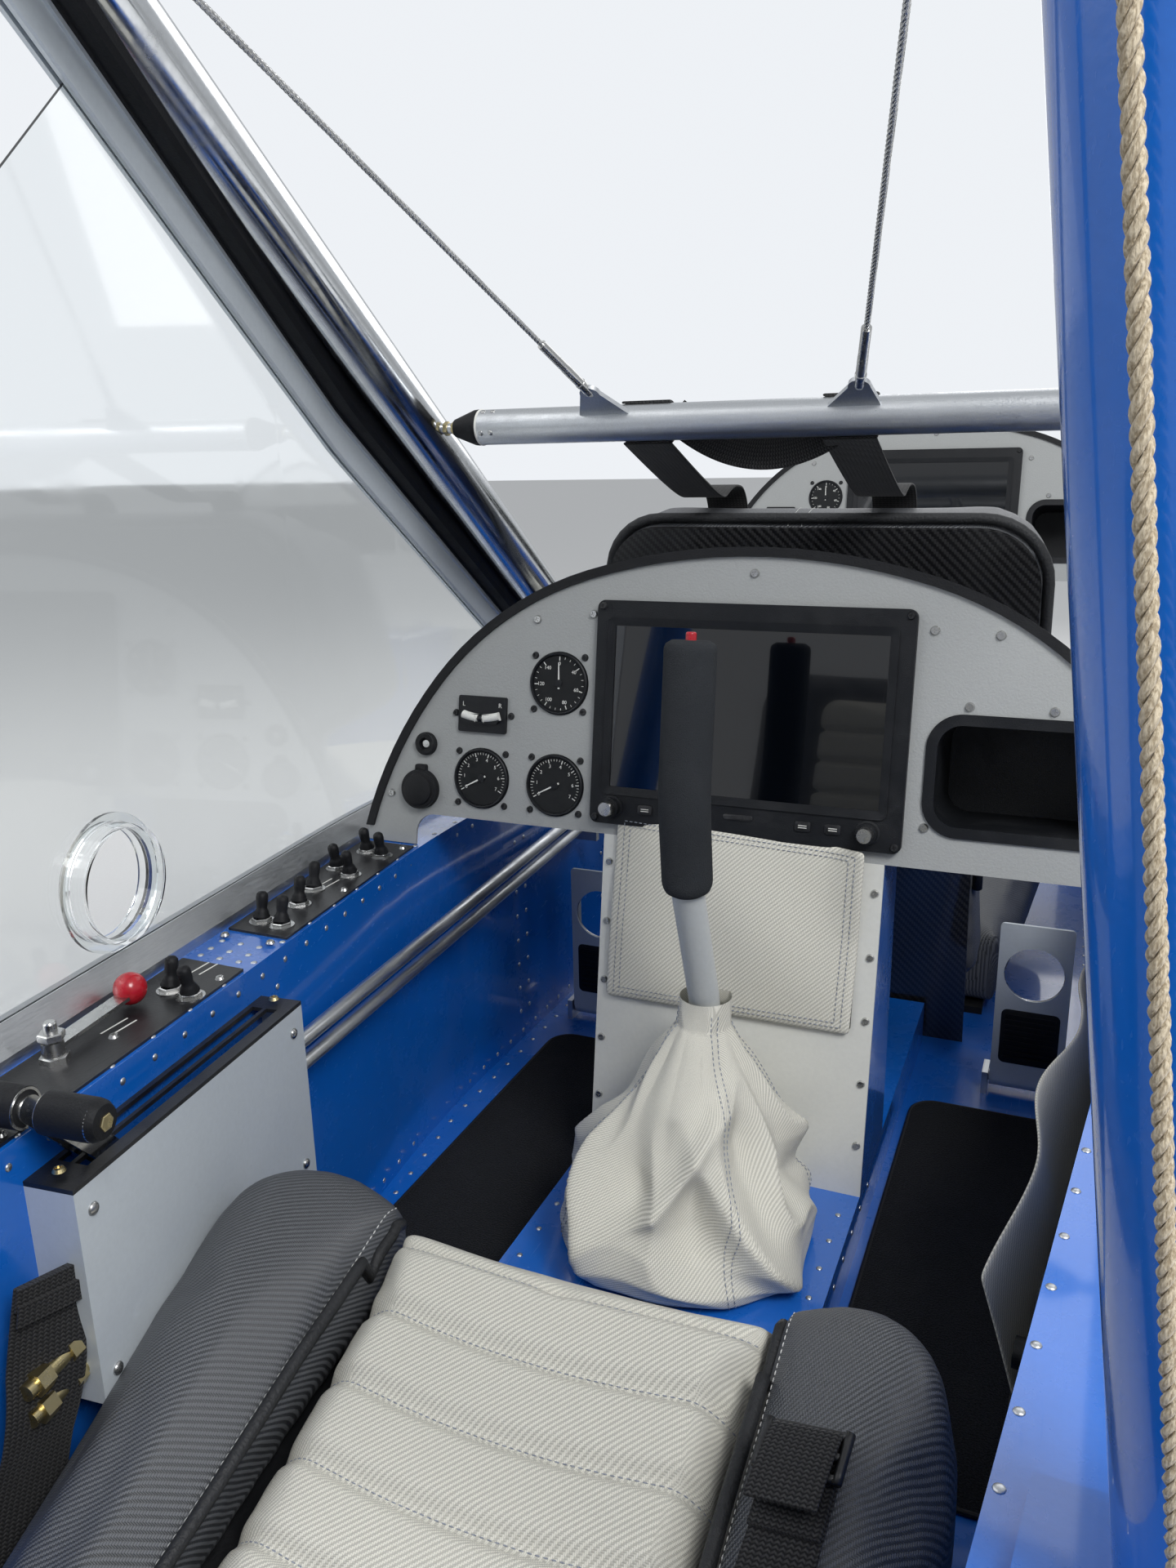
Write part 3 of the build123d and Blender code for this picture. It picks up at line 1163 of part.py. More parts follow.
def strut_slab(near, far):
    """Side outline of a strip that runs along the strut's underside, between two offsets."""
    low = DECK_TOP + RAIL_HEIGHT
    strip = []
    for depth, stations in ((near, (1, -1)), (far, (-1, 1))):
        foot_station = station_at(depth, low)
        for end in stations:
            strip.append(under_strut(depth, foot_station if end > 0 else PANE_UPPER_STATION))
    return strip


def station_at(depth, height):
    """Station where the line parallel to the strut reaches a height."""
    start = Vector(0, front_foot[1], front_foot[2]) + below * depth
    return (start + run * ((height - start.Z) / run.Z)).Y


def side_piece(near, far, outline, bottom):
    """Left-hand piece that follows the tub's plan, cut to a side outline."""
    with BuildPart() as piece:
        with BuildSketch(Plane.XY.offset(bottom)):
            add(plan_band(near, far, PANE_REAR - 20, TUB_FRONT - 20, -1))
        extrude(amount=SPAR_HEIGHT)
        with BuildSketch(Plane.YZ.offset(-2 * BEAM_HALF)):
            with BuildLine():
                Polyline(*outline, close=True)
            make_face()
        extrude(amount=2 * BEAM_HALF, mode=Mode.INTERSECT)
    return piece


channel_near = SEAL_OFFSET + SEAL_THICKNESS
channel_far = channel_near + CHANNEL_DEPTH
channel_inset = PANE_INSET + PANE_THICKNESS / 2 - CHANNEL_WIDTH / 2
pane_top = channel_far - CHANNEL_GRIP
rail_top = DECK_TOP + RAIL_HEIGHT
window_seal = side_piece(0, SEAL_WIDTH, strut_slab(SEAL_OFFSET, channel_near), rail_top)

with BuildPart() as window_channel:
    channel_side = strut_slab(channel_near, channel_far)
    add(side_piece(channel_inset, channel_inset + CHANNEL_WIDTH, channel_side, rail_top).part)
    add(side_piece(PANE_INSET - PANE_FIT, PANE_INSET + PANE_THICKNESS + PANE_FIT,
                   strut_slab(pane_top - PANE_FIT, channel_far + 1), rail_top).part, mode=Mode.SUBTRACT)

pane_outline = [(station_at(pane_top, rail_top - RAIL_GROOVE), rail_top - RAIL_GROOVE),
                under_strut(pane_top, PANE_UPPER_STATION), (PANE_REAR, PANE_REAR_HEIGHT),
                (PANE_REAR, rail_top - RAIL_GROOVE)]
vent_plane = wall_plane(*VENT_PLACE, -1, PANE_INSET + PANE_THICKNESS)

with BuildPart() as window_pane:
    add(side_piece(PANE_INSET, PANE_INSET + PANE_THICKNESS, pane_outline, rail_top - RAIL_GROOVE).part)
    with BuildSketch(vent_plane.offset(PANE_THICKNESS)):
        Circle(VENT_RADIUS - 2 * VENT_WALL)
    extrude(amount=-4 * PANE_THICKNESS, mode=Mode.SUBTRACT)

with BuildPart() as vent_ring:
    with BuildSketch(vent_plane.offset(VENT_LIFT)):
        Circle(VENT_RADIUS)
        Circle(VENT_RADIUS - 2 * VENT_WALL - 4, mode=Mode.SUBTRACT)
    extrude(amount=VENT_WALL)
    with BuildSketch(vent_plane.offset(VENT_LIFT - 8)):
        Circle(VENT_RADIUS - 2 * VENT_WALL - 1)
        Circle(VENT_RADIUS - 2 * VENT_WALL - 4, mode=Mode.SUBTRACT)
    extrude(amount=VENT_DEPTH + 8)

# Harness webbing


belt_lift = SEAT_GAP + BELT_THICKNESS / 2
bar_y, bar_z = bar_centre[1:]

# The shoulder belts lie against the front half of the bar, linked by a slack strap, and then run
# over the front seat's back.
with BuildPart() as shoulder_belts:
    for x in SHOULDER_BELT_PLACES:
        with BuildSketch(Plane.YZ.offset(x - BELT_WIDTH / 2)):
            with BuildLine():
                wrap = CenterArc((bar_y, bar_z), BAR_RADIUS + belt_lift, -90, 180)
                FilletPolyline(wrap @ 0, back_place(BACK_HEIGHT + belt_lift, 0),
                               back_place(BACK_HEIGHT + belt_lift, BACK_THICKNESS + belt_lift),
                               back_place(BELT_LOW_END, BACK_THICKNESS + belt_lift),
                               radius=(BELT_BEND, BACK_EDGE + belt_lift))
                offset(amount=BELT_THICKNESS / 2)
            make_face()
        extrude(amount=BELT_WIDTH)
    with BuildSketch(Plane.XZ.offset(-(bar_y + BAR_RADIUS + SEAT_GAP))):
        with BuildLine():
            slack_left, slack_right = [(x, bar_z + SLACK_TOP) for x in SLACK_ENDS]
            ThreePointArc(slack_left, (sum(SLACK_ENDS) / 2, bar_z - SLACK_DROP), slack_right)
            Line(slack_right, slack_left)
        make_face()
    extrude(amount=-BELT_THICKNESS)

with BuildPart() as lap_belts:
    with BuildSketch(Plane.YZ.offset(-CUSHION_HALF)):
        with BuildLine(mode=Mode.PRIVATE):
            bow = ThreePointArc(*cushion_top(BOLSTER_RISE))
        with Locations(bow.arc_center):
            Circle(bow.radius - SEAT_GAP)
            Circle(bow.radius - SEAT_GAP - BELT_THICKNESS, mode=Mode.SUBTRACT)
    extrude(amount=2 * CUSHION_HALF)
    with BuildSketch():
        for side in (-1, 1):
            with BuildLine():
                corners = [(side * (x + reach * BELT_WIDTH / 2), y)
                           for (x, y), reach in ((LAP_BELT_FRONT, -1), (LAP_BELT_FRONT, 1),
                                                 (LAP_BELT_REAR, 1), (LAP_BELT_REAR, -1))]
                Polyline(*corners, close=True)
            make_face()
    extrude(amount=DECK_TOP, mode=Mode.INTERSECT)

with BuildPart() as strut_rope:
    tie = rear_head[1] - (SPAR_RADIUS + ROPE_RADIUS + SEAT_GAP)
    add(rod((*ROPE_FOOT, DECK_TOP + FOOT_PLATE + 2 * SEAT_GAP), (ROPE_HEAD, tie, SPAR_HEIGHT), ROPE_RADIUS))

front_cockpit = {"panel_edging": panel_edging, "display_unit": display_unit, "display_screen": display_screen,
                 "gauges": gauges, "slip_indicator": slip_indicator, "panel_sockets": panel_sockets,
                 "glove_box": glove_box}

pieces = {
    "floor_pan": floor_pan, "side_wall_left": side_wall_left, "side_wall_right": side_wall_right,
    "sill_rails": sill_rails, "rear_frame": rear_frame, "front_frame": front_frame,
    "tunnel": tunnel, "floor_mats": floor_mats,
    "torque_tube": torque_tube, "bearing_blocks": bearing_blocks, "stick_tube": stick_tube,
    "stick_grip": stick_grip, "stick_button": stick_button, "stick_boot": stick_boot,
    "pedal_left": pedal_left, "pedal_right": pedal_right, "pedal_mounts": pedal_mounts,
    "instrument_panel": instrument_panels,
    **{name: repeated(piece, *PANEL_PITCH) for name, piece in front_cockpit.items()},
    "pedestal_panel": pedestal_panel, "pedestal_pocket": pedestal_pocket,
    "switch_plates": switch_plates, "toggle_switches": toggle_switches, "latch_lever": latch_lever,
    "throttle_box": throttle_box, "throttle_box_cover": throttle_box_cover,
    "throttle_lever_left": throttle_lever_left, "throttle_lever_right": throttle_lever_right,
    "brass_fittings": brass_fittings, "push_pull_tubes": push_pull_tubes, "tube_bracket": tube_bracket,
    "wall_pocket": wall_pocket, "wall_fitting": wall_fitting,
    "seat_cushions": seat_cushions, "seat_bases": seat_bases, "seat_backs": seat_backs,
    "seat_shells": seat_shells,
    "front_struts": front_struts, "rear_struts": rear_struts, "strut_feet": strut_feet,
    "wing_frame": wing_frame,
    "harness_bar": harness_bar, "bracing_cables": bracing_cables,
    "window_pane": window_pane, "window_channel": window_channel, "window_seal": window_seal,
    "vent_ring": vent_ring,
    "shoulder_belts": shoulder_belts, "lap_belts": lap_belts, "strut_rope": strut_rope,
}

for name, piece in pieces.items():
    piece.part.label = name
    export_step(piece.part, f"parts/{name}.step")
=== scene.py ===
"""Looks of an aircraft cockpit section, seen from its rear seat.

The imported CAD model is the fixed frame. X points right, Y forwards and Z up, the origin lies on the
flat belly, and every size is in metres.
"""

from __future__ import annotations

import json
import logging
import math
import random
from dataclasses import dataclass, field
from enum import Enum
from typing import Any, Callable, Iterable, Sequence

import bmesh
import bpy
import numpy as np
from mathutils import Matrix, Vector, noise
from mathutils.bvhtree import BVHTree

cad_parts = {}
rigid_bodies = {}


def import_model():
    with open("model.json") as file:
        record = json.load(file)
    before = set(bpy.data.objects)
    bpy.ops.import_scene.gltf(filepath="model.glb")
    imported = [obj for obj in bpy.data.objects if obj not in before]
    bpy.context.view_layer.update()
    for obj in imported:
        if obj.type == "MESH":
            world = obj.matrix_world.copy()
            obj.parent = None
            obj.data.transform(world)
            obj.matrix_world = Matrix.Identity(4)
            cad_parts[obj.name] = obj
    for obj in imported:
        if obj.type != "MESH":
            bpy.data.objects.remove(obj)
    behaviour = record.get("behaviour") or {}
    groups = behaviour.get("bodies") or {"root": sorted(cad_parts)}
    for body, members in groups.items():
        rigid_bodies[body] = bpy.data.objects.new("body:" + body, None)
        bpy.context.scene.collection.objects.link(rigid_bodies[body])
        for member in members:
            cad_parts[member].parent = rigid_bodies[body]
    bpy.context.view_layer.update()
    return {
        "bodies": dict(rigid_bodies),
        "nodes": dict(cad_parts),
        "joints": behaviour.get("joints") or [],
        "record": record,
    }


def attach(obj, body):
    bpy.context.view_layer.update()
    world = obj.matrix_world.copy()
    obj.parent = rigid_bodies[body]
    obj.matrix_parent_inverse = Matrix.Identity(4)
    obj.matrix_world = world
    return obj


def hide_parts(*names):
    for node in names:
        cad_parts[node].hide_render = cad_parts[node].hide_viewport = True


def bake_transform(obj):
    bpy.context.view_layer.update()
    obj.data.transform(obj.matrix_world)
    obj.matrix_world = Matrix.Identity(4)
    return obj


LOG = logging.getLogger("cockpit_section")
Colour = tuple[float, float, float]
Pair = tuple[float, float]
Triple = tuple[float, float, float]


@dataclass(frozen=True)
class TubPlan:
    """Plan and heights of the tub, as the CAD part has them."""

    beam_half: float = 0.403
    rear_taper: float = 0.104
    front_taper: float = 0.02
    wall: float = 0.084
    rear: float = -1.02
    front: float = 0.92
    floor: float = 0.024
    deck: float = 0.329
    tunnel: float = 0.074

    def outer(self, station: float) -> float:
        """Half width of the outer skin at a station."""
        taper = self.rear_taper if station < 0 else -self.front_taper
        return self.beam_half + taper * station

    def inner(self, station: float) -> float:
        """Half width between the centreline and a wall's inner face."""
        return self.outer(station) - self.wall

    def on_wall(self, side: int, station: float, height: float, lift: float = 0.0) -> Vector:
        """Place on a side wall's inner face, lifted inboard."""
        return Vector((side * (self.inner(station) - lift), station, height))

    def wall_normal(self, side: int, station: float) -> Vector:
        """Direction inboard from a side wall."""
        slope = self.rear_taper if station < 0 else -self.front_taper
        return Vector((-side, slope, 0)).normalized()


@dataclass(frozen=True)
class PanelFrame:
    """The leaning plane of the instrument panel, measured from the display's centre."""

    centre: float = 0.470
    ahead: float = 0.0
    lean: float = math.radians(9)
    face: float = -0.006

    def at(self, across: float, rise: float, lift: float = 0.0) -> Vector:
        """Place on the panel's face, lifted towards the seat."""
        return Vector((across, self.ahead, self.centre)) + self.up * rise + self.normal * (self.face + lift)

    @property
    def up(self) -> Vector:
        """Direction up the panel."""
        return Vector((0, math.sin(self.lean), math.cos(self.lean)))

    @property
    def normal(self) -> Vector:
        """Direction out of the panel's face, towards the seat."""
        return Vector((0, -math.cos(self.lean), math.sin(self.lean)))

    def matrix(self, across: float, rise: float, lift: float = 0.0) -> Matrix:
        """Frame on the panel's face with local Z out of it and local Y up it."""
        turn = Matrix((Vector((1, 0, 0)), self.up, self.normal)).transposed()
        return Matrix.Translation(self.at(across, rise, lift)) @ turn.to_4x4()


TUB = TubPlan()
PANEL = PanelFrame()
FRONT_PANEL = PanelFrame(centre=0.590, ahead=1.110)
SEAT_PITCH = 1.23
SEATS = ((0.0, ""), (SEAT_PITCH, "_front"))
BASE_FRONT = 0.135
BASE_SLOPE = 0.102 / 0.442
CAST_FROM = 0.6
DOWN = Vector((0, 0, -1))
UP = Vector((0, 0, 1))


class Nodes:
    """A node tree with short ways to add and link its nodes."""

    def __init__(self, tree: bpy.types.NodeTree) -> None:
        """Keep the tree that the nodes go into."""
        self.tree = tree

    def add(self, kind: str, inputs: dict[Any, Any] | None = None, **settings: Any) -> bpy.types.Node:
        """Add one node.

        Args:
            kind: The node's type name.
            inputs: Values, or sockets to link, by the input's name or number.
            **settings: Properties of the node.

        Returns:
            The node.
        """
        node = self.tree.nodes.new(kind)
        for key, value in settings.items():
            setattr(node, key, value)
        for key, value in (inputs or {}).items():
            self.feed(node.inputs[key], value)
        return node

    def feed(self, socket: bpy.types.NodeSocket, value: Any) -> None:
        """Link a socket to another, or set its value."""
        if isinstance(value, bpy.types.NodeSocket):
            self.tree.links.new(value, socket)
        else:
            socket.default_value = value

    def math(self, operation: str, first: Any, second: Any = 0.0, third: Any = 0.0) -> bpy.types.NodeSocket:
        """Result of a Math node."""
        return self.add("ShaderNodeMath", {0: first, 1: second, 2: third}, operation=operation).outputs[0]

    def ramp(self, value: Any, low: float, high: float, start: float = 0.0, end: float = 1.0) -> Any:
        """Smooth step of a value from one range to another."""
        inputs = {"Value": value, "From Min": low, "From Max": high, "To Min": start, "To Max": end}
        return self.add("ShaderNodeMapRange", inputs, interpolation_type="SMOOTHSTEP").outputs["Result"]

    def blend(self, share: Any, first: Any, second: Any) -> bpy.types.NodeSocket:
        """Mix of two colours, given as sockets or as linear values."""
        node = self.add("ShaderNodeMix", {"Factor": share}, data_type="RGBA")
        for socket, value in ((node.inputs[6], first), (node.inputs[7], second)):
            self.feed(socket, value if isinstance(value, bpy.types.NodeSocket) else (*value, 1.0))
        return node.outputs[2]

    def scaled(self, vector: Any, scale: Triple, turn: Triple = (0, 0, 0)) -> bpy.types.NodeSocket:
        """Coordinates through a Mapping node."""
        inputs = {"Vector": vector, "Scale": scale, "Rotation": turn}
        return self.add("ShaderNodeMapping", inputs).outputs[0]

    def bump(self, height: Any, strength: float, distance: float, normal: Any = None) -> Any:
        """Normal from a height."""
        inputs = {"Height": height, "Strength": strength, "Distance": distance}
        if normal is not None:
            inputs["Normal"] = normal
        return self.add("ShaderNodeBump", inputs).outputs[0]


def shader_group(name: str, inputs: dict[str, Any], outputs: dict[str, str],
                 build: Callable[[Nodes, bpy.types.Node], dict[str, Any]]) -> bpy.types.NodeTree:
    """Make a shader node group once, and give the same one afterwards.

    Args:
        name: The group's name.
        inputs: Default by input name: a number, or None for a vector.
        outputs: Socket type by output name.
        build: Adds the nodes and returns the socket of each output.

    Returns:
        The group's tree.
    """
    if name in bpy.data.node_groups:
        return bpy.data.node_groups[name]
    tree = bpy.data.node_groups.new(name, "ShaderNodeTree")
    for key, default in inputs.items():
        kind = "NodeSocketVector" if default is None else "NodeSocketFloat"
        socket = tree.interface.new_socket(key, in_out="INPUT", socket_type=kind)
        if default is not None:
            socket.default_value = default
    for key, kind in outputs.items():
        tree.interface.new_socket(key, in_out="OUTPUT", socket_type=kind)
    nodes = Nodes(tree)
    found = build(nodes, nodes.add("NodeGroupInput"))
    nodes.add("NodeGroupOutput", found)
    return tree


FLOAT = "NodeSocketFloat"


def grain_group() -> bpy.types.NodeTree:
    """Group of fine noise: a value from 0 to 1 with a set contrast, for height and variation."""

    def build(nodes: Nodes, given: bpy.types.Node) -> dict[str, Any]:
        """Noise, spread about its middle."""
        texture = nodes.add("ShaderNodeTexNoise", {"Vector": given.outputs["Vector"],
                                                   "Scale": given.outputs["Scale"],
                                                   "Detail": given.outputs["Detail"], "Roughness": 0.55})
        spread = nodes.math("MULTIPLY", nodes.math("SUBTRACT", texture.outputs["Fac"], 0.5),
                            given.outputs["Contrast"])
        clamp = nodes.add("ShaderNodeClamp", {"Value": nodes.math("ADD", spread, 0.5)})
        return {"Value": clamp.outputs[0]}

    return shader_group("Grain", {"Vector": None, "Scale": 100.0, "Detail": 3.0, "Contrast": 1.0},
                        {"Value": FLOAT}, build)


def twill_group() -> bpy.types.NodeTree:
    """Group of a two-over-two twill: which way a yarn runs, how high it stands and its tone."""

    def build(nodes: Nodes, given: bpy.types.Node) -> dict[str, Any]:
        """Cells of the weave, each domed across its yarn."""
        cells = nodes.add("ShaderNodeVectorMath", {0: given.outputs["Vector"], 3: given.outputs["Per Metre"]},
                          operation="SCALE").outputs[0]
        split = nodes.add("ShaderNodeSeparateXYZ", {0: cells})
        along, across = split.outputs[0], split.outputs[1]
        column, row = nodes.math("FLOOR", along), nodes.math("FLOOR", across)
        step = nodes.math("FLOORED_MODULO", nodes.math("SUBTRACT", column, row), 4.0)
        over = nodes.math("LESS_THAN", step, 1.5)
        domes = [nodes.math("SINE", nodes.math("MULTIPLY", nodes.math("FRACT", part), math.pi))
                 for part in (along, across)]
        height = nodes.add("ShaderNodeMix", {"Factor": over, "A": domes[1], "B": domes[0]}).outputs[0]
        key = nodes.add("ShaderNodeCombineXYZ", {0: column, 1: row})
        speck = nodes.add("ShaderNodeTexWhiteNoise", {"Vector": key.outputs[0]}, noise_dimensions="2D")
        return {"Over": over, "Height": height, "Speck": speck.outputs["Value"]}

    return shader_group("Twill", {"Vector": None, "Per Metre": 250.0},
                        {"Over": FLOAT, "Height": FLOAT, "Speck": FLOAT}, build)


def webbing_group() -> bpy.types.NodeTree:
    """Group of a woven strap: fine ribs along it in a herringbone, from its own coordinates."""

    def build(nodes: Nodes, given: bpy.types.Node) -> dict[str, Any]:
        """Slanted ribs that turn at each column of the weave."""
        split = nodes.add("ShaderNodeSeparateXYZ", {0: given.outputs["Vector"]})
        column = nodes.math("MULTIPLY", split.outputs[0], given.outputs["Columns"])
        zigzag = nodes.math("PINGPONG", column, 0.5)
        run = nodes.math("MULTIPLY", split.outputs[1], given.outputs["Ribs"])
        rib = nodes.math("SINE", nodes.math("MULTIPLY", nodes.math("ADD", run, zigzag), 2 * math.pi))
        height = nodes.math("MULTIPLY_ADD", rib, 0.5, 0.5)
        edge = nodes.math("SINE", nodes.math("MULTIPLY", nodes.math("FRACT", column), math.pi))
        return {"Height": nodes.math("MULTIPLY", height, nodes.math("POWER", edge, 0.5)), "Rib": height}

    return shader_group("Webbing", {"Vector": None, "Columns": 280.0, "Ribs": 420.0},
                        {"Height": FLOAT, "Rib": FLOAT}, build)


def dust_group() -> bpy.types.NodeTree:
    """Group of handling marks: soft dust patches and fine rub lines, both as masks."""

    def build(nodes: Nodes, given: bpy.types.Node) -> dict[str, Any]:
        """Two noises, one broad and one drawn out into lines."""
        broad = nodes.add("ShaderNodeTexNoise", {"Vector": given.outputs["Vector"],
                                                 "Scale": given.outputs["Scale"], "Detail": 6.0,
                                                 "Roughness": 0.7})
        drawn = nodes.scaled(given.outputs["Vector"], (900.0, 30.0, 200.0), (0.3, 0.2, 0.9))
        lines = nodes.add("ShaderNodeTexNoise", {"Vector": drawn, "Scale": 1.0, "Detail": 2.0})
        return {"Dust": nodes.ramp(broad.outputs["Fac"], 0.42, 0.75),
                "Rub": nodes.ramp(lines.outputs["Fac"], 0.66, 0.74)}

    return shader_group("Handling", {"Vector": None, "Scale": 9.0}, {"Dust": FLOAT, "Rub": FLOAT}, build)


class Finish:
    """Base of the finishes: each one makes its material once."""

    name: str

    def material(self) -> bpy.types.Material:
        """The finish's material, made on first use."""
        if self.name in bpy.data.materials:
            return bpy.data.materials[self.name]
        material = bpy.data.materials.new(self.name)
        material.use_nodes = True
        nodes = Nodes(material.node_tree)
        self.dress(nodes, material.node_tree.nodes["Principled BSDF"])
        return material

    def dress(self, nodes: Nodes, shader: bpy.types.Node) -> None:
        """Add the finish's nodes around the shader."""
        raise NotImplementedError

    @staticmethod
    def place(nodes: Nodes) -> bpy.types.NodeSocket:
        """Object coordinates."""
        return nodes.add("ShaderNodeTexCoord").outputs["Object"]

    @staticmethod
    def group(nodes: Nodes, tree: bpy.types.NodeTree, **inputs: Any) -> bpy.types.Node:
        """Place a shared group with its own values; underscores in names stand for spaces."""
        node = nodes.add("ShaderNodeGroup", node_tree=tree)
        for key, value in inputs.items():
            nodes.feed(node.inputs[key.replace("_", " ")], value)
        return node

    @staticmethod
    def fix(shader: bpy.types.Node, **values: float) -> None:
        """Set plain values on the shader's own sockets."""
        for key, value in values.items():
            shader.inputs[key.replace("_", " ")].default_value = value


@dataclass(frozen=True)
class Paint(Finish):
    """Sprayed paint or powder coat with its texture, dust and rub marks."""

    name: str
    colour: Colour
    roughness: float = 0.3
    coat: float = 0.0
    peel: float = 0.08
    grain: float = 260.0
    dust: float = 0.2
    metallic: float = 0.0

    def dress(self, nodes: Nodes, shader: bpy.types.Node) -> None:
        """Colour with dust, uneven gloss and a fine surface."""
        place = self.place(nodes)
        grain = self.group(nodes, grain_group(), Vector=place, Scale=self.grain, Contrast=1.6)
        marks = self.group(nodes, dust_group(), Vector=place)
        dusty = tuple(0.75 * part + 0.12 for part in self.colour)
        colour = nodes.blend(nodes.math("MULTIPLY", marks.outputs["Dust"], self.dust), self.colour, dusty)
        tone = nodes.ramp(grain.outputs["Value"], 0.0, 1.0, 0.0, 0.12)
        colour = nodes.blend(tone, colour, tuple(0.6 * part for part in self.colour))
        rough = nodes.math("MULTIPLY_ADD", marks.outputs["Dust"], 0.22, self.roughness)
        rough = nodes.math("ADD", rough, nodes.math("MULTIPLY", marks.outputs["Rub"], 0.2))
        nodes.feed(shader.inputs["Base Color"], colour)
        nodes.feed(shader.inputs["Roughness"], rough)
        nodes.feed(shader.inputs["Normal"], nodes.bump(grain.outputs["Value"], self.peel, 0.001))
        self.fix(shader, Coat_Weight=self.coat, Coat_Roughness=0.06, Metallic=self.metallic)


class Lay(Enum):
    """Direction in which a metal is brushed or drawn, as scales of the noise."""

    ALONG_X = (12.0, 900.0, 900.0)
    ALONG_Y = (900.0, 12.0, 900.0)
    ALONG_Z = (900.0, 900.0, 12.0)
    NONE = (160.0, 160.0, 160.0)


@dataclass(frozen=True)
class Metal(Finish):
    """Bare metal with its brushing, smudges and stains."""

    name: str
    colour: Colour
    roughness: float = 0.3
    lay: Lay = Lay.NONE
    scratch: float = 0.1
    stain: float = 0.35

    def dress(self, nodes: Nodes, shader: bpy.types.Node) -> None:
        """Brushed height, with gloss and tone broken by handling."""
        place = self.place(nodes)
        lines = self.group(nodes, grain_group(), Vector=nodes.scaled(place, self.lay.value), Scale=1.0,
                           Detail=2.0, Contrast=1.8)
        marks = self.group(nodes, dust_group(), Vector=place, Scale=14.0)
        dark = tuple(0.62 * part for part in self.colour)
        share = nodes.math("MULTIPLY", marks.outputs["Dust"], self.stain)
        colour = nodes.blend(share, self.colour, dark)
        tone = nodes.ramp(lines.outputs["Value"], 0.0, 1.0, 0.0, 0.25)
        nodes.feed(shader.inputs["Base Color"], nodes.blend(tone, colour, dark))
        rough = nodes.ramp(lines.outputs["Value"], 0.0, 1.0, 0.75 * self.roughness, 1.3 * self.roughness)
        rough = nodes.math("ADD", rough, nodes.math("MULTIPLY", marks.outputs["Dust"], 0.16))
        nodes.feed(shader.inputs["Roughness"], rough)
        nodes.feed(shader.inputs["Normal"], nodes.bump(lines.outputs["Value"], self.scratch, 0.0004))
        self.fix(shader, Metallic=1.0)


@dataclass(frozen=True)
class Moulding(Finish):
    """Moulded plastic, rubber or foam with its pore or grain."""

    name: str
    colour: Colour
    roughness: float = 0.5
    grain: float = 900.0
    depth: float = 0.25
    wear: float = 0.3
    sheen: float = 0.0
    shine: float = 0.3

    def dress(self, nodes: Nodes, shader: bpy.types.Node) -> None:
        """Fine grain with painted shade in its pits, and paler and glossier places where hands rub."""
        place = self.place(nodes)
        pores = self.group(nodes, grain_group(), Vector=place, Scale=self.grain, Detail=4.0, Contrast=2.0)
        marks = self.group(nodes, dust_group(), Vector=place, Scale=22.0)
        pale = tuple(part * 1.25 + 0.02 for part in self.colour)
        share = nodes.math("MULTIPLY", marks.outputs["Dust"], self.wear)
        colour = nodes.blend(share, self.colour, pale)
        # Painted shade: the low pits of the grain are darkened.
        painted_pit_shade = nodes.ramp(pores.outputs["Value"], 0.0, 0.5, 0.45, 0.0)
        nodes.feed(shader.inputs["Base Color"], nodes.blend(painted_pit_shade, colour, tuple(0.4 * p for p in self.colour)))
        rough = nodes.ramp(marks.outputs["Dust"], 0.0, 1.0, self.roughness, min(1.0, self.roughness + 0.18))
        nodes.feed(shader.inputs["Roughness"], rough)
        nodes.feed(shader.inputs["Normal"], nodes.bump(pores.outputs["Value"], self.depth, 0.0008))
        self.fix(shader, Sheen_Weight=self.sheen, Sheen_Roughness=0.5, Specular_IOR_Level=self.shine)


@dataclass(frozen=True)
class WovenVinyl(Finish):
    """Vinyl or laminate embossed like a carbon twill, on UVs or on a plane of the piece."""

    name: str
    # light and dark are the two yarn tones; the difference between them is a painted glint.
    light: Colour
    dark: Colour
    per_metre: float = 1000.0
    roughness: float = 0.42
    coat: float = 0.0
    depth: float = 0.35
    turn: Triple | None = None

    def dress(self, nodes: Nodes, shader: bpy.types.Node) -> None:
        """Yarns that alternate in gloss and in a painted glint of tone, with painted shade in the gaps
        between them, over creases and faint soiling.
        """
        place = self.place(nodes)
        if self.turn is None:
            cloth = nodes.add("ShaderNodeUVMap", uv_map="cloth").outputs[0]
        else:
            cloth = nodes.scaled(place, (1, 1, 1), self.turn)
        weave = self.group(nodes, twill_group(), Vector=cloth, Per_Metre=self.per_metre)
        marks = self.group(nodes, dust_group(), Vector=place, Scale=12.0)
        # Painted glint: cells where Over is set take the light tone, the others the dark one.
        yarn = nodes.blend(weave.outputs["Over"], self.dark, self.light)
        speck = nodes.math("MULTIPLY", weave.outputs["Speck"], 0.3)
        middle = tuple(0.5 * (a + b) for a, b in zip(self.light, self.dark))
        yarn = nodes.blend(speck, yarn, middle)
        # Painted shade: the low gaps between yarns are darkened towards the dark tone.
        gap = nodes.ramp(weave.outputs["Height"], 0.0, 0.55, 0.45, 0.0)
        yarn = nodes.blend(gap, yarn, tuple(0.45 * part for part in self.dark))
        soil = nodes.math("MULTIPLY", marks.outputs["Dust"], 0.18)
        nodes.feed(shader.inputs["Base Color"], nodes.blend(soil, yarn, middle))
        rough = nodes.ramp(weave.outputs["Over"], 0.0, 1.0, self.roughness, self.roughness + 0.12)
        nodes.feed(shader.inputs["Roughness"], rough)
        nodes.feed(shader.inputs["Normal"], nodes.bump(weave.outputs["Height"], self.depth, 0.0006))
        self.fix(shader, Coat_Weight=self.coat, Coat_Roughness=0.05)


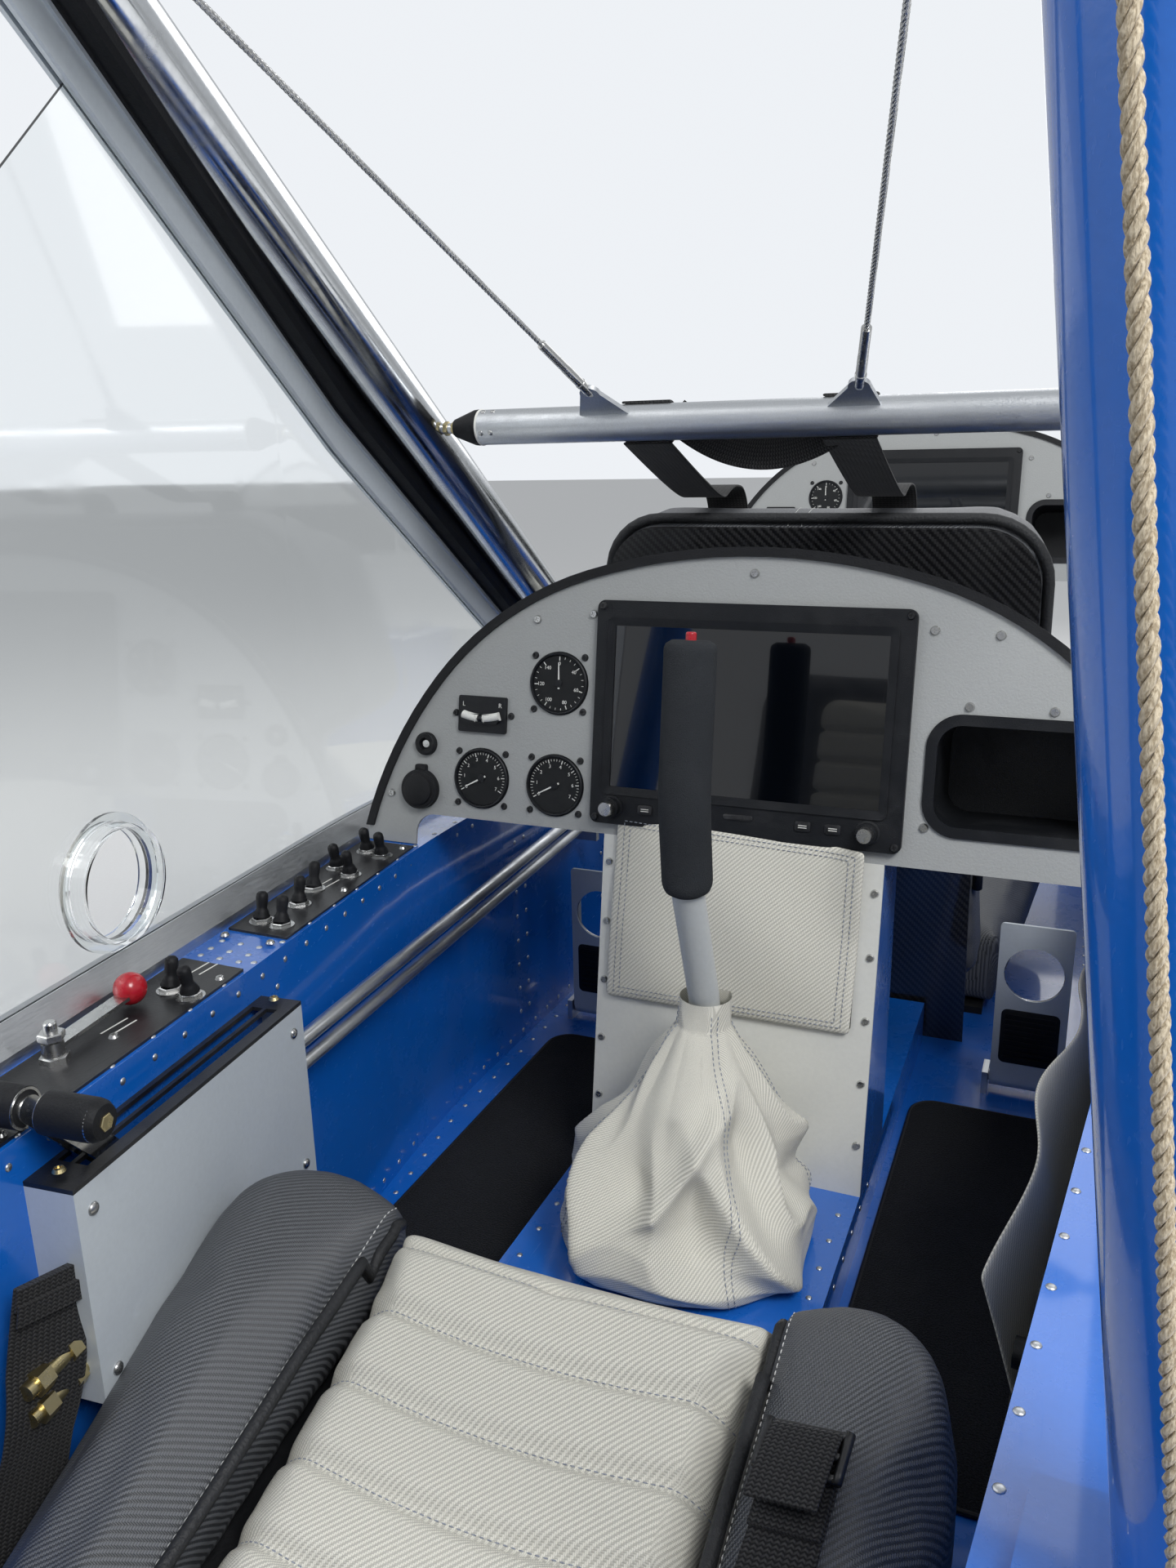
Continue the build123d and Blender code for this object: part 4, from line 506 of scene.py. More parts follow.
@dataclass(frozen=True)
class StrapWebbing(Finish):
    """Black harness webbing, ribbed in a herringbone, with fuzz."""

    name: str
    colour: Colour
    pale: Colour

    def dress(self, nodes: Nodes, shader: bpy.types.Node) -> None:
        """Ribs across the strap that catch the light."""
        cloth = nodes.add("ShaderNodeUVMap", uv_map="cloth").outputs[0]
        weave = self.group(nodes, webbing_group(), Vector=cloth)
        fuzz = self.group(nodes, grain_group(), Vector=self.place(nodes), Scale=700.0, Contrast=2.0)
        colour = nodes.blend(weave.outputs["Height"], self.colour, self.pale)
        dim = nodes.ramp(fuzz.outputs["Value"], 0.2, 0.8, 0.4, 0.0)
        nodes.feed(shader.inputs["Base Color"], nodes.blend(dim, colour, self.colour))
        nodes.feed(shader.inputs["Roughness"], nodes.ramp(weave.outputs["Rib"], 0.0, 1.0, 0.85, 0.6))
        nodes.feed(shader.inputs["Normal"], nodes.bump(weave.outputs["Height"], 0.6, 0.0006))
        self.fix(shader, Sheen_Weight=0.1, Sheen_Roughness=0.4, Specular_IOR_Level=0.2)


@dataclass(frozen=True)
class Carpet(Finish):
    """Needled mat or anti-skid strip: coarse matt grain with lint."""

    name: str
    colour: Colour
    pale: Colour
    grain: float = 650.0

    def dress(self, nodes: Nodes, shader: bpy.types.Node) -> None:
        """Loops in tone and height, with lint and trodden patches."""
        place = self.place(nodes)
        loops = self.group(nodes, grain_group(), Vector=place, Scale=self.grain, Detail=5.0, Contrast=2.6)
        marks = self.group(nodes, dust_group(), Vector=place, Scale=16.0)
        colour = nodes.blend(nodes.ramp(loops.outputs["Value"], 0.2, 0.9), self.colour, self.pale)
        lint = nodes.math("MULTIPLY", marks.outputs["Dust"], 0.35)
        nodes.feed(shader.inputs["Base Color"], nodes.blend(lint, colour, self.pale))
        nodes.feed(shader.inputs["Roughness"], nodes.ramp(marks.outputs["Dust"], 0.0, 1.0, 0.95, 0.85))
        nodes.feed(shader.inputs["Normal"], nodes.bump(loops.outputs["Value"], 0.9, 0.0012))
        self.fix(shader, Sheen_Weight=0.05, Sheen_Roughness=0.6, Specular_IOR_Level=0.08)


@dataclass(frozen=True)
class ClearSheet(Finish):
    """Clear acrylic or polished dark glass, with faint smears."""

    name: str
    colour: Colour
    clear: float = 1.0
    roughness: float = 0.03

    def dress(self, nodes: Nodes, shader: bpy.types.Node) -> None:
        """Smears in the gloss."""
        marks = self.group(nodes, dust_group(), Vector=self.place(nodes), Scale=7.0)
        smear = nodes.ramp(marks.outputs["Dust"], 0.0, 1.0, self.roughness, self.roughness + 0.05)
        nodes.feed(shader.inputs["Roughness"], smear)
        shader.inputs["Base Color"].default_value = (*self.colour, 1)
        self.fix(shader, Transmission_Weight=self.clear, IOR=1.45)
        if self.clear == 0:
            self.fix(shader, Coat_Weight=1.0, Coat_Roughness=0.02)


@dataclass(frozen=True)
class Fibre(Finish):
    """Twisted or spun fibre: rope strands and sewing thread."""

    name: str
    colour: Colour
    pale: Colour
    grain: float = 1500.0

    def dress(self, nodes: Nodes, shader: bpy.types.Node) -> None:
        """Fine hairs in tone and height."""
        place = self.place(nodes)
        hairs = self.group(nodes, grain_group(), Vector=nodes.scaled(place, (1, 1, 0.25)), Scale=self.grain,
                           Contrast=2.2)
        nodes.feed(shader.inputs["Base Color"],
                   nodes.blend(nodes.ramp(hairs.outputs["Value"], 0.1, 0.9), self.colour, self.pale))
        nodes.feed(shader.inputs["Roughness"], nodes.ramp(hairs.outputs["Value"], 0.0, 1.0, 0.7, 0.9))
        nodes.feed(shader.inputs["Normal"], nodes.bump(hairs.outputs["Value"], 0.5, 0.0005))
        self.fix(shader, Sheen_Weight=0.15)


BLUE = Paint("gloss_blue_paint", (0.003, 0.120, 0.52), 0.22, coat=0.9, peel=0.05, dust=0.12)
PANEL_PAINT = Paint("pale_grey_panel", (0.34, 0.35, 0.345), 0.5, peel=0.22, grain=520.0, dust=0.15)
GREY = Paint("light_grey_paint", (0.54, 0.56, 0.55), 0.42, peel=0.12, dust=0.2)
BLACK = Paint("black_enamel", (0.007, 0.0075, 0.009), 0.36, peel=0.1, grain=500.0, dust=0.25)
SATIN = Metal("brushed_aluminium", (0.66, 0.68, 0.70), 0.36, Lay.ALONG_Y)
SHEET_METAL = Paint("pedestal_sheet", (0.74, 0.74, 0.69), 0.42, peel=0.06, dust=0.15, metallic=0.2)
BOX_SHEET = Paint("brushed_box", (0.60, 0.65, 0.69), 0.40, peel=0.05, dust=0.12, metallic=0.25)
POLISHED = Metal("polished_tube", (0.74, 0.76, 0.78), 0.12, Lay.NONE, 0.03)
STEEL = Metal("bright_steel", (0.56, 0.56, 0.55), 0.22, Lay.NONE, 0.08)
BRASS = Metal("passivated_brass", (0.62, 0.52, 0.28), 0.28, Lay.NONE, 0.1, 0.5)
PLASTIC = Moulding("black_case", (0.006, 0.007, 0.009), 0.42, 1400.0, 0.18)
RUBBER = Moulding("moulded_rubber", (0.006, 0.0065, 0.008), 0.55, 600.0, 0.2)
FOAM = Moulding("foam_sleeve", (0.028, 0.031, 0.035), 0.85, 1300.0, 0.8, shine=0.2)
RED = Moulding("red_knob", (0.42, 0.008, 0.018), 0.22, 300.0, 0.04, shine=0.6)
DIAL = Moulding("dial_face", (0.010, 0.011, 0.012), 0.7, 1500.0, 0.05)
DIAL_MARK = Moulding("dial_markings", (0.72, 0.72, 0.68), 0.6, 1500.0, 0.02, 0.1)
SCREEN = ClearSheet("dark_screen", (0.0008, 0.0015, 0.003), 0.0, 0.06)
CLEAR = ClearSheet("clear_acrylic", (0.95, 0.97, 0.97))
# The lighter and darker tones of the woven vinyls below differ by a painted glint.
SILVER_VINYL = WovenVinyl("silver_twill", (0.78, 0.76, 0.67), (0.50, 0.485, 0.425), depth=0.45)
BLACK_VINYL = WovenVinyl("black_twill", (0.125, 0.131, 0.141), (0.040, 0.043, 0.048), roughness=0.36,
                         depth=0.45)
PIPING = Moulding("grained_vinyl", (0.02, 0.021, 0.023), 0.5, 420.0, 0.6)
SHELL = WovenVinyl("carbon_shell", (0.030, 0.030, 0.031), (0.006, 0.006, 0.007), 420.0, 0.3, 1.0, 0.08,
                   (math.radians(90), 0, 0))
MAT = Carpet("floor_mat", (0.0015, 0.002, 0.003), (0.010, 0.012, 0.016))
WEBBING = StrapWebbing("harness_webbing", (0.007, 0.007, 0.008), (0.05, 0.05, 0.05))
THREAD = Fibre("grey_thread", (0.16, 0.18, 0.22), (0.34, 0.37, 0.42))
LINING = Carpet("pocket_lining", (0.010, 0.011, 0.013), (0.03, 0.033, 0.04))
PALE_THREAD = Fibre("pale_thread", (0.45, 0.45, 0.44), (0.75, 0.75, 0.72))
ROPE = Fibre("tan_rope", (0.28, 0.22, 0.14), (0.58, 0.50, 0.37))

SLOT_FINISHES: dict[str, Finish] = {
    "blue_paint": BLUE, "panel_paint": PANEL_PAINT, "grey_paint": GREY, "satin_aluminium": SATIN,
    "polished_aluminium": POLISHED, "steel": STEEL, "brass": BRASS, "black_paint": BLACK,
    "black_plastic": PLASTIC, "screen": SCREEN, "red_plastic": RED, "black_rubber": RUBBER,
    "grip_foam": FOAM, "mat_fabric": MAT, "silver_vinyl": SILVER_VINYL, "black_vinyl": BLACK_VINYL,
    "seat_shell": SHELL, "seat_base": RUBBER, "webbing": WEBBING, "clear_window": CLEAR, "rope": ROPE,
}


def placed(name: str, data: bpy.types.ID) -> bpy.types.Object:
    """Object at the origin, in the scene."""
    thing = bpy.data.objects.new(name, data)
    bpy.context.scene.collection.objects.link(thing)
    return thing


def lay_cloth(data: bpy.types.Mesh, spots: Sequence[Pair]) -> None:
    """Give a mesh its cloth coordinates, in metres, from one spot for each vertex."""
    layer = data.uv_layers.new(name="cloth")
    layer.data.foreach_set("uv", [part for loop in data.loops for part in spots[loop.vertex_index]])


class Shape:
    """A mesh under construction, placed in the shared frame."""

    def __init__(self) -> None:
        """Start an empty mesh."""
        self.mesh = bmesh.new()

    def ring(self, points: Iterable[Vector]) -> list[bmesh.types.BMVert]:
        """Add the vertices of one section."""
        return [self.mesh.verts.new(point) for point in points]

    def skin(self, rings: Sequence[list[bmesh.types.BMVert]], closed: bool = True, caps: bool = True) -> None:
        """Join sections of equal count with quads, and cap the ends if asked."""
        count = len(rings[0])
        for low, high in zip(rings, rings[1:]):
            for index in range(count if closed else count - 1):
                after = (index + 1) % count
                self.mesh.faces.new((low[index], low[after], high[after], high[index]))
        if caps and closed:
            self.mesh.faces.new(list(reversed(rings[0])))
            self.mesh.faces.new(rings[-1])

    def lathe(self, profile: Sequence[Pair], frame: Matrix, segments: int = 32) -> "Shape":
        """Turn a profile of radius and height about the frame's Z axis."""
        rings = []
        for radius, height in profile:
            turn = [2 * math.pi * index / segments for index in range(segments)]
            rings.append(self.ring(frame @ Vector((radius * math.cos(a), radius * math.sin(a), height))
                                   for a in turn))
        self.skin(rings)
        return self

    def slab(self, outline: Sequence[Pair], frame: Matrix, low: float, high: float,
             soft: float = 0.0) -> "Shape":
        """Extrude an outline in the frame's XY plane, with a small bevel round its top."""
        middle = Vector((sum(x for x, _ in outline), sum(y for _, y in outline), 0)) / len(outline)
        levels = [(low, 0.0), (high - soft, 0.0), (high - 0.3 * soft, 0.35 * soft), (high, soft)]
        if soft == 0:
            levels = [(low, 0.0), (high, 0.0)]
        rings = []
        for height, inset in levels:
            points = []
            for x, y in outline:
                away = Vector((x, y, 0)) - middle
                pull = away.normalized() * inset if away.length > 0 else away
                points.append(frame @ (Vector((x, y, height)) - pull))
            rings.append(self.ring(points))
        self.skin(rings)
        return self

    def tube(self, points: Sequence[Vector], radius: float | Sequence[float], segments: int = 12) -> "Shape":
        """Sweep a round section along points."""
        radii = [radius] * len(points) if isinstance(radius, (int, float)) else list(radius)
        rings = []
        side = Vector((1, 0, 0))
        for index, point in enumerate(points):
            ahead = points[min(index + 1, len(points) - 1)] - points[max(index - 1, 0)]
            ahead.normalize()
            side = side - ahead * side.dot(ahead)
            if side.length < 1e-4:
                side = ahead.orthogonal()
            side.normalize()
            up = ahead.cross(side)
            turn = [2 * math.pi * k / segments for k in range(segments)]
            rings.append(self.ring(point + (side * math.cos(a) + up * math.sin(a)) * radii[index]
                                   for a in turn))
        self.skin(rings)
        return self

    def sheet(self, rows: Sequence[Sequence[Vector]]) -> "Shape":
        """Open surface through rows of points."""
        self.skin([self.ring(row) for row in rows], closed=False)
        return self

    def piece(self, name: str, finish: Finish, smooth: bool = True, outward: bool = True) -> bpy.types.Object:
        """Finish the mesh as an object at the origin.

        Args:
            name: The object's name.
            finish: Its finish.
            smooth: Whether faces shade smoothly.
            outward: Whether normals are recalculated to point outwards.

        Returns:
            The object.
        """
        if outward:
            bmesh.ops.remove_doubles(self.mesh, verts=self.mesh.verts, dist=1e-6)
            bmesh.ops.recalc_face_normals(self.mesh, faces=self.mesh.faces)
        data = bpy.data.meshes.new(name)
        self.mesh.to_mesh(data)
        self.mesh.free()
        data.materials.append(finish.material())
        thing = placed(name, data)
        if smooth:
            data.shade_smooth()
        return thing


def rounded(width: float, height: float, radius: float, steps: int = 5) -> list[Pair]:
    """Outline of a rounded rectangle about the origin, anticlockwise."""
    points = []
    for turn, (x, y) in enumerate(((1, 1), (-1, 1), (-1, -1), (1, -1))):
        for step in range(steps + 1):
            angle = math.pi / 2 * (turn + step / steps)
            points.append((x * (width / 2 - radius) + radius * math.cos(angle),
                           y * (height / 2 - radius) + radius * math.sin(angle)))
    return points


def sharpen(thing: bpy.types.Object, angle: float = 35.0) -> bpy.types.Object:
    """Shade smooth below an angle and keep sharper edges crisp."""
    thing.data.shade_smooth()
    thing.data.set_sharp_from_angle(angle=math.radians(angle))
    return thing


def baked(thing: bpy.types.Object) -> bpy.types.Object:
    """Turn an object's modifiers into its plain mesh."""
    graph = bpy.context.evaluated_depsgraph_get()
    data = bpy.data.meshes.new_from_object(thing.evaluated_get(graph), preserve_all_data_layers=True,
                                           depsgraph=graph)
    thing.modifiers.clear()
    thing.data = data
    return thing


def grown(thing: bpy.types.Object, tree: bpy.types.NodeTree, finish: Finish,
          sizes: dict[str, float]) -> bpy.types.Object:
    """Run a Geometry Nodes tree on an object and keep its result as plain mesh."""
    modifier = thing.modifiers.new("tree", "NODES")
    modifier.node_group = tree
    sockets = {item.name: item.identifier for item in tree.interface.items_tree if item.in_out == "INPUT"}
    for key, value in (*sizes.items(), ("Finish", finish.material())):
        modifier[sockets[key]] = value
    return baked(thing)


def skin_of(thing: bpy.types.Object, ahead: float = 0.0) -> BVHTree:
    """Surface of a mesh to cast rays on, moved forwards if asked."""
    step = Vector((0, ahead, 0))
    return BVHTree.FromPolygons([vertex.co + step for vertex in thing.data.vertices],
                                [tuple(polygon.vertices) for polygon in thing.data.polygons])


def settle(thing: bpy.types.Object, body: Any, slot: str, *nodes: str) -> bpy.types.Object:
    """Ride a piece on its body, or keep it in place when given two, and hide the CAD nodes it stands for."""
    if isinstance(body, Bend):
        return body.hold(thing, slot, *nodes)
    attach(thing, body)
    if nodes:
        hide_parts(*nodes)
    LOG.info("%s rides on %s", thing.name, body)
    return thing


class Head(Enum):
    """Fasteners that a repeat can set."""

    RIVET = "rivet"
    CROSS_SCREW = "cross screw"
    BUTTON = "button head"


class Fasteners:
    """Rivets and screws set on given places by Geometry Nodes."""

    def __init__(self, head: Head) -> None:
        """Build or find the tree for one kind of head."""
        self.head = head
        self.tree = bpy.data.node_groups.get(head.value) or self.build()

    def build(self) -> bpy.types.NodeTree:
        """Make the tree: one head, instanced on each point along its own direction."""
        tree = bpy.data.node_groups.new(self.head.value, "GeometryNodeTree")
        face = tree.interface
        face.new_socket("Geometry", in_out="INPUT", socket_type="NodeSocketGeometry")
        for name, value in (("Radius", 0.002), ("Height", 0.001)):
            face.new_socket(name, in_out="INPUT", socket_type=FLOAT).default_value = value
        face.new_socket("Segments", in_out="INPUT", socket_type="NodeSocketInt").default_value = 12
        face.new_socket("Finish", in_out="INPUT", socket_type="NodeSocketMaterial")
        face.new_socket("Geometry", in_out="OUTPUT", socket_type="NodeSocketGeometry")
        nodes = Nodes(tree)
        given = nodes.add("NodeGroupInput").outputs
        head = self.shape(nodes, given)
        way = nodes.add("GeometryNodeInputNamedAttribute", {"Name": "way"}, data_type="FLOAT_VECTOR")
        spin = nodes.add("GeometryNodeInputNamedAttribute", {"Name": "spin"}, data_type="FLOAT")
        turn = nodes.add("FunctionNodeAlignRotationToVector", {"Vector": way.outputs[0]}, axis="Z")
        twist = nodes.add("FunctionNodeAxisAngleToRotation", {"Angle": spin.outputs[0]})
        both = nodes.add("FunctionNodeRotateRotation", {0: turn.outputs[0], 1: twist.outputs[0]},
                         rotation_space="LOCAL")
        cast = nodes.add("GeometryNodeInstanceOnPoints", {"Points": given["Geometry"], "Instance": head,
                                                          "Rotation": both.outputs[0]})
        real = nodes.add("GeometryNodeRealizeInstances", {"Geometry": cast.outputs[0]})
        dressed = nodes.add("GeometryNodeSetMaterial", {"Geometry": real.outputs[0],
                                                        "Material": given["Finish"]})
        smooth = nodes.add("GeometryNodeSetShadeSmooth", {0: dressed.outputs[0],
                                                          2: self.head is not Head.CROSS_SCREW})
        nodes.add("NodeGroupOutput", {0: smooth.outputs[0]})
        return tree

    def shape(self, nodes: Nodes, given: Any) -> bpy.types.NodeSocket:
        """One head with its seat at the origin and its top along Z."""
        if self.head is Head.CROSS_SCREW:
            top = nodes.math("MULTIPLY", given["Radius"], 0.72)
            low = nodes.add("GeometryNodeMeshCone", {"Vertices": given["Segments"], "Radius Top": top,
                                                     "Radius Bottom": given["Radius"],
                                                     "Depth": given["Height"]})
            body = low.outputs["Mesh"]
            long = nodes.math("MULTIPLY", given["Radius"], 1.05)
            thin = nodes.math("MULTIPLY", given["Radius"], 0.26)
            bars = []
            for sizes in ((long, thin), (thin, long)):
                size = nodes.add("ShaderNodeCombineXYZ", {0: sizes[0], 1: sizes[1], 2: given["Height"]})
                bar = nodes.add("GeometryNodeMeshCube", {"Size": size.outputs[0]})
                lift = nodes.add("ShaderNodeCombineXYZ", {2: given["Height"]})
                bars.append(nodes.add("GeometryNodeTransform", {0: bar.outputs[0],
                                                                "Translation": lift.outputs[0]}))
            cut = nodes.add("GeometryNodeMeshBoolean", {0: body}, operation="DIFFERENCE", solver="EXACT")
            for bar in bars:
                nodes.tree.links.new(bar.outputs[0], cut.inputs[1])
            return cut.outputs[0]
        ball = nodes.add("GeometryNodeMeshUVSphere", {"Segments": given["Segments"], "Rings": 6,
                                                      "Radius": given["Radius"]})
        flat = nodes.math("DIVIDE", given["Height"], given["Radius"])
        scale = nodes.add("ShaderNodeCombineXYZ", {0: 1.0, 1: 1.0, 2: flat})
        return nodes.add("GeometryNodeTransform", {0: ball.outputs[0], "Scale": scale.outputs[0]}).outputs[0]

    def set(self, name: str, places: Sequence[tuple[Vector, Vector]], finish: Finish, radius: float,
            height: float, body: str = "root", slot: str = "steel", segments: int = 12) -> bpy.types.Object:
        """Set heads on places.

        Args:
            name: The piece's name.
            places: Points on the surface with the direction out of it.
            finish: The heads' finish.
            radius: Their radius.
            height: How far they stand out.
            body: The CAD body that they ride on.
            slot: Their material slot; not used.
            segments: Faces round each head.

        Returns:
            The piece, with plain mesh.
        """
        data = bpy.data.meshes.new(name)
        data.from_pydata([tuple(point) for point, _ in places], [], [])
        ways = data.attributes.new("way", "FLOAT_VECTOR", "POINT")
        ways.data.foreach_set("vector", [part for _, way in places for part in way])
        chance = random.Random(7)
        spins = data.attributes.new("spin", "FLOAT", "POINT")
        spins.data.foreach_set("value", [chance.uniform(0, 3) for _ in places])
        sizes = {"Radius": radius, "Height": height, "Segments": segments}
        return settle(grown(placed(name, data), self.tree, finish, sizes), body, slot)


class Stitching:
    """Stitches along lines, made by Geometry Nodes."""

    def __init__(self) -> None:
        """Build or find the tree."""
        self.tree = bpy.data.node_groups.get("stitches") or self.build()

    def build(self) -> bpy.types.NodeTree:
        """Make the tree: a short bead along each step of the lines."""
        tree = bpy.data.node_groups.new("stitches", "GeometryNodeTree")
        face = tree.interface
        face.new_socket("Geometry", in_out="INPUT", socket_type="NodeSocketGeometry")
        for name, value in (("Pitch", 0.004), ("Length", 0.003), ("Thickness", 0.0008)):
            face.new_socket(name, in_out="INPUT", socket_type=FLOAT).default_value = value
        face.new_socket("Finish", in_out="INPUT", socket_type="NodeSocketMaterial")
        face.new_socket("Geometry", in_out="OUTPUT", socket_type="NodeSocketGeometry")
        nodes = Nodes(tree)
        given = nodes.add("NodeGroupInput").outputs
        line = nodes.add("GeometryNodeMeshToCurve", {"Mesh": given["Geometry"]})
        steps = nodes.add("GeometryNodeCurveToPoints", {"Curve": line.outputs[0], "Length": given["Pitch"]},
                          mode="LENGTH")
        bead = nodes.add("GeometryNodeMeshUVSphere", {"Segments": 6, "Rings": 4, "Radius": 0.5})
        size = nodes.add("ShaderNodeCombineXYZ", {0: given["Length"], 1: given["Thickness"],
                                                  2: given["Thickness"]})
        stitch = nodes.add("GeometryNodeTransform", {0: bead.outputs[0], "Scale": size.outputs[0]})
        turn = nodes.add("FunctionNodeAlignRotationToVector", {"Vector": steps.outputs["Tangent"]}, axis="X")
        cast = nodes.add("GeometryNodeInstanceOnPoints", {"Points": steps.outputs["Points"],
                                                          "Instance": stitch.outputs[0],
                                                          "Rotation": turn.outputs[0]})
        real = nodes.add("GeometryNodeRealizeInstances", {"Geometry": cast.outputs[0]})
        dressed = nodes.add("GeometryNodeSetMaterial", {"Geometry": real.outputs[0],
                                                        "Material": given["Finish"]})
        nodes.add("NodeGroupOutput", {0: dressed.outputs[0]})
        return tree

    def sew(self, name: str, lines: Sequence[Sequence[Vector]], finish: Finish, body: str = "root",
            slot: str = "webbing", pitch: float = 0.0045, length: float = 0.0034,
            thickness: float = 0.0009) -> bpy.types.Object:
        """Sew stitches along lines.

        Args:
            name: The piece's name.
            lines: Points along each line, on the surface.
            finish: The thread.
            body: The CAD body that it rides on.
            slot: Its material slot; not used.
            pitch: Distance from stitch to stitch.
            length: Length of a stitch.
            thickness: Thickness of the thread.

        Returns:
            The piece, with plain mesh.
        """
        points, edges = [], []
        for line in lines:
            start = len(points)
            points += [tuple(point) for point in line]
            edges += [(start + index, start + index + 1) for index in range(len(line) - 1)]
        data = bpy.data.meshes.new(name)
        data.from_pydata(points, edges, [])
        sizes = {"Pitch": pitch, "Length": length, "Thickness": thickness}
        return settle(grown(placed(name, data), self.tree, finish, sizes), body, slot)


@dataclass
class Studio:
    """Camera at the photograph's angle, plain pale floor and soft light."""

    eye: Triple = (0.26679, -0.94964, 0.69245)
    turn: Triple = (74.33645, 1.17172, 23.11389)
    lens: float = 27.056
    pale: float = 0.80

    def build(self) -> None:
        """Make the camera, world, lamps and floor."""
        scene = bpy.context.scene
        scene.view_settings.view_transform = "Standard"
        camera = bpy.data.objects.new("camera", bpy.data.cameras.new("camera"))
        camera.location = self.eye
        camera.rotation_euler = [math.radians(angle) for angle in self.turn]
        camera.data.lens = self.lens
        camera.data.sensor_width = 36.0
        camera.data.clip_start = 0.02
        scene.collection.objects.link(camera)
        scene.camera = camera
        self.world()
        self.lamp("key", (1.5, -1.5, 2.4), (-0.1, -0.2, 0.3), 1.1, 70.0)
        self.lamp("fill", (-1.9, -1.2, 2.2), (0.0, 0.0, 0.3), 2.2, 22.0)
        self.lamp("bow", (0.5, 2.8, 2.2), (0.0, 0.0, 0.4), 2.4, 26.0)
        self.floor()

    def world(self) -> None:
        """Pale surroundings, brighter for the camera and for rays through glass than for the rest."""
        world = bpy.data.worlds.new("studio")
        bpy.context.scene.world = world
        world.use_nodes = True
        back = world.node_tree.nodes["Background"]
        nodes = Nodes(world.node_tree)
        path = nodes.add("ShaderNodeLightPath")
        seen = nodes.math("MAXIMUM", path.outputs["Is Camera Ray"], path.outputs["Is Transmission Ray"])
        strength = nodes.ramp(seen, 0.0, 1.0, 0.55, 0.92)
        back.inputs["Color"].default_value = (0.93, 0.96, 1.0, 1)
        nodes.feed(back.inputs["Strength"], strength)

    def lamp(self, name: str, place: Triple, aim: Triple, size: float, power: float) -> None:
        """Add one soft square lamp."""
        data = bpy.data.lights.new(name, "AREA")
        data.size = size
        data.energy = power
        thing = bpy.data.objects.new(name, data)
        thing.location = place
        thing.rotation_euler = (Vector(aim) - Vector(place)).to_track_quat("-Z", "Y").to_euler()
        bpy.context.scene.collection.objects.link(thing)

    def floor(self) -> None:
        """Add the floor under the belly."""
        shape = Shape()
        shape.sheet([[Vector((x, y, 0)) for x in (-30, 30)] for y in (-30, 30)])
        paint = Paint("studio_floor", (self.pale, self.pale, self.pale * 0.99), 0.85, dust=0.0, peel=0.0)
        thing = shape.piece("studio_floor", paint, smooth=False, outward=False)
        if thing.data.polygons[0].normal.z < 0:
            thing.data.flip_normals()


def dress_nodes(frame: dict[str, Any]) -> None:
    """Give every CAD node the finish of its slot."""
    chosen = {"pedestal_panel": SHEET_METAL, "throttle_box": BOX_SHEET, "pedal_left": BOX_SHEET,
              "pedal_right": BOX_SHEET, "window_channel": BOX_SHEET, "strut_feet": BLUE}
    for part in frame["record"]["subparts"]:
        name = part["node"]
        finish = chosen.get(name, SLOT_FINISHES[part["material_slot"]])
        data = frame["nodes"][name].data
        data.materials.clear()
        data.materials.append(finish.material())


@dataclass(frozen=True)
class Bend:
    """Two bodies and two places that a cloth piece spans."""

    first: str
    second: str
    start: Triple
    end: Triple

    def hold(self, thing: bpy.types.Object, slot: str, *nodes: str) -> bpy.types.Object:
        """Keep a piece in place with its transform in its mesh, and hide the CAD nodes it stands for."""
        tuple(self.start)
        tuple(self.end)
        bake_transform(thing)
        if nodes:
            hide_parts(*nodes)
        LOG.info("%s bends from %s to %s", thing.name, self.first, self.second)
        return thing


@dataclass(frozen=True)
class Padding:
    """Foam under a cover: voxel remesh, a short pressure simulation and one subdivision."""

    voxel: float = 0.006
    pressure: float = 4.0
    cap: float = 0.010
    frames: int = 20

    def puff(self, thing: bpy.types.Object) -> None:
        """Swell a closed mesh like a stuffed cover, no further than the cap."""
        remesh = thing.modifiers.new("voxels", "REMESH")
        remesh.mode = "VOXEL"
        remesh.voxel_size = self.voxel
        baked(thing)
        self.simulate(thing)
        smooth = thing.modifiers.new("smooth", "SMOOTH")
        smooth.factor = 0.5
        smooth.iterations = 4
        rounds = thing.modifiers.new("rounds", "SUBSURF")
        rounds.levels = 1
        rounds.render_levels = 1
        baked(thing)
        thing.data.shade_smooth()

    def simulate(self, thing: bpy.types.Object) -> None:
        """Run the cloth and keep its result in the mesh."""
        scene = bpy.context.scene
        count = len(thing.data.vertices)
        rest = np.empty(3 * count)
        thing.data.vertices.foreach_get("co", rest)
        cloth = thing.modifiers.new("cloth", "CLOTH")
        cloth.settings.use_pressure = True
        cloth.settings.uniform_pressure_force = self.pressure
        cloth.settings.effector_weights.gravity = 0.0
        for frame in range(1, self.frames + 1):
            scene.frame_set(frame)
        graph = bpy.context.evaluated_depsgraph_get()
        moved = np.empty(3 * count)
        thing.evaluated_get(graph).data.vertices.foreach_get("co", moved)
        thing.modifiers.clear()
        scene.frame_set(1)
        step = (moved - rest).reshape(-1, 3)
        length = np.linalg.norm(step, axis=1, keepdims=True)
        step *= np.minimum(1.0, self.cap / np.maximum(length, 1e-9))
        thing.data.vertices.foreach_set("co", rest + step.ravel())
        thing.data.update()


def move_points(thing: bpy.types.Object, rule: Callable[[np.ndarray], np.ndarray]) -> None:
    """Pass a mesh's points through a rule."""
    points = np.empty(3 * len(thing.data.vertices))
    thing.data.vertices.foreach_get("co", points)
    thing.data.vertices.foreach_set("co", rule(points.reshape(-1, 3)).ravel())
    thing.data.update()


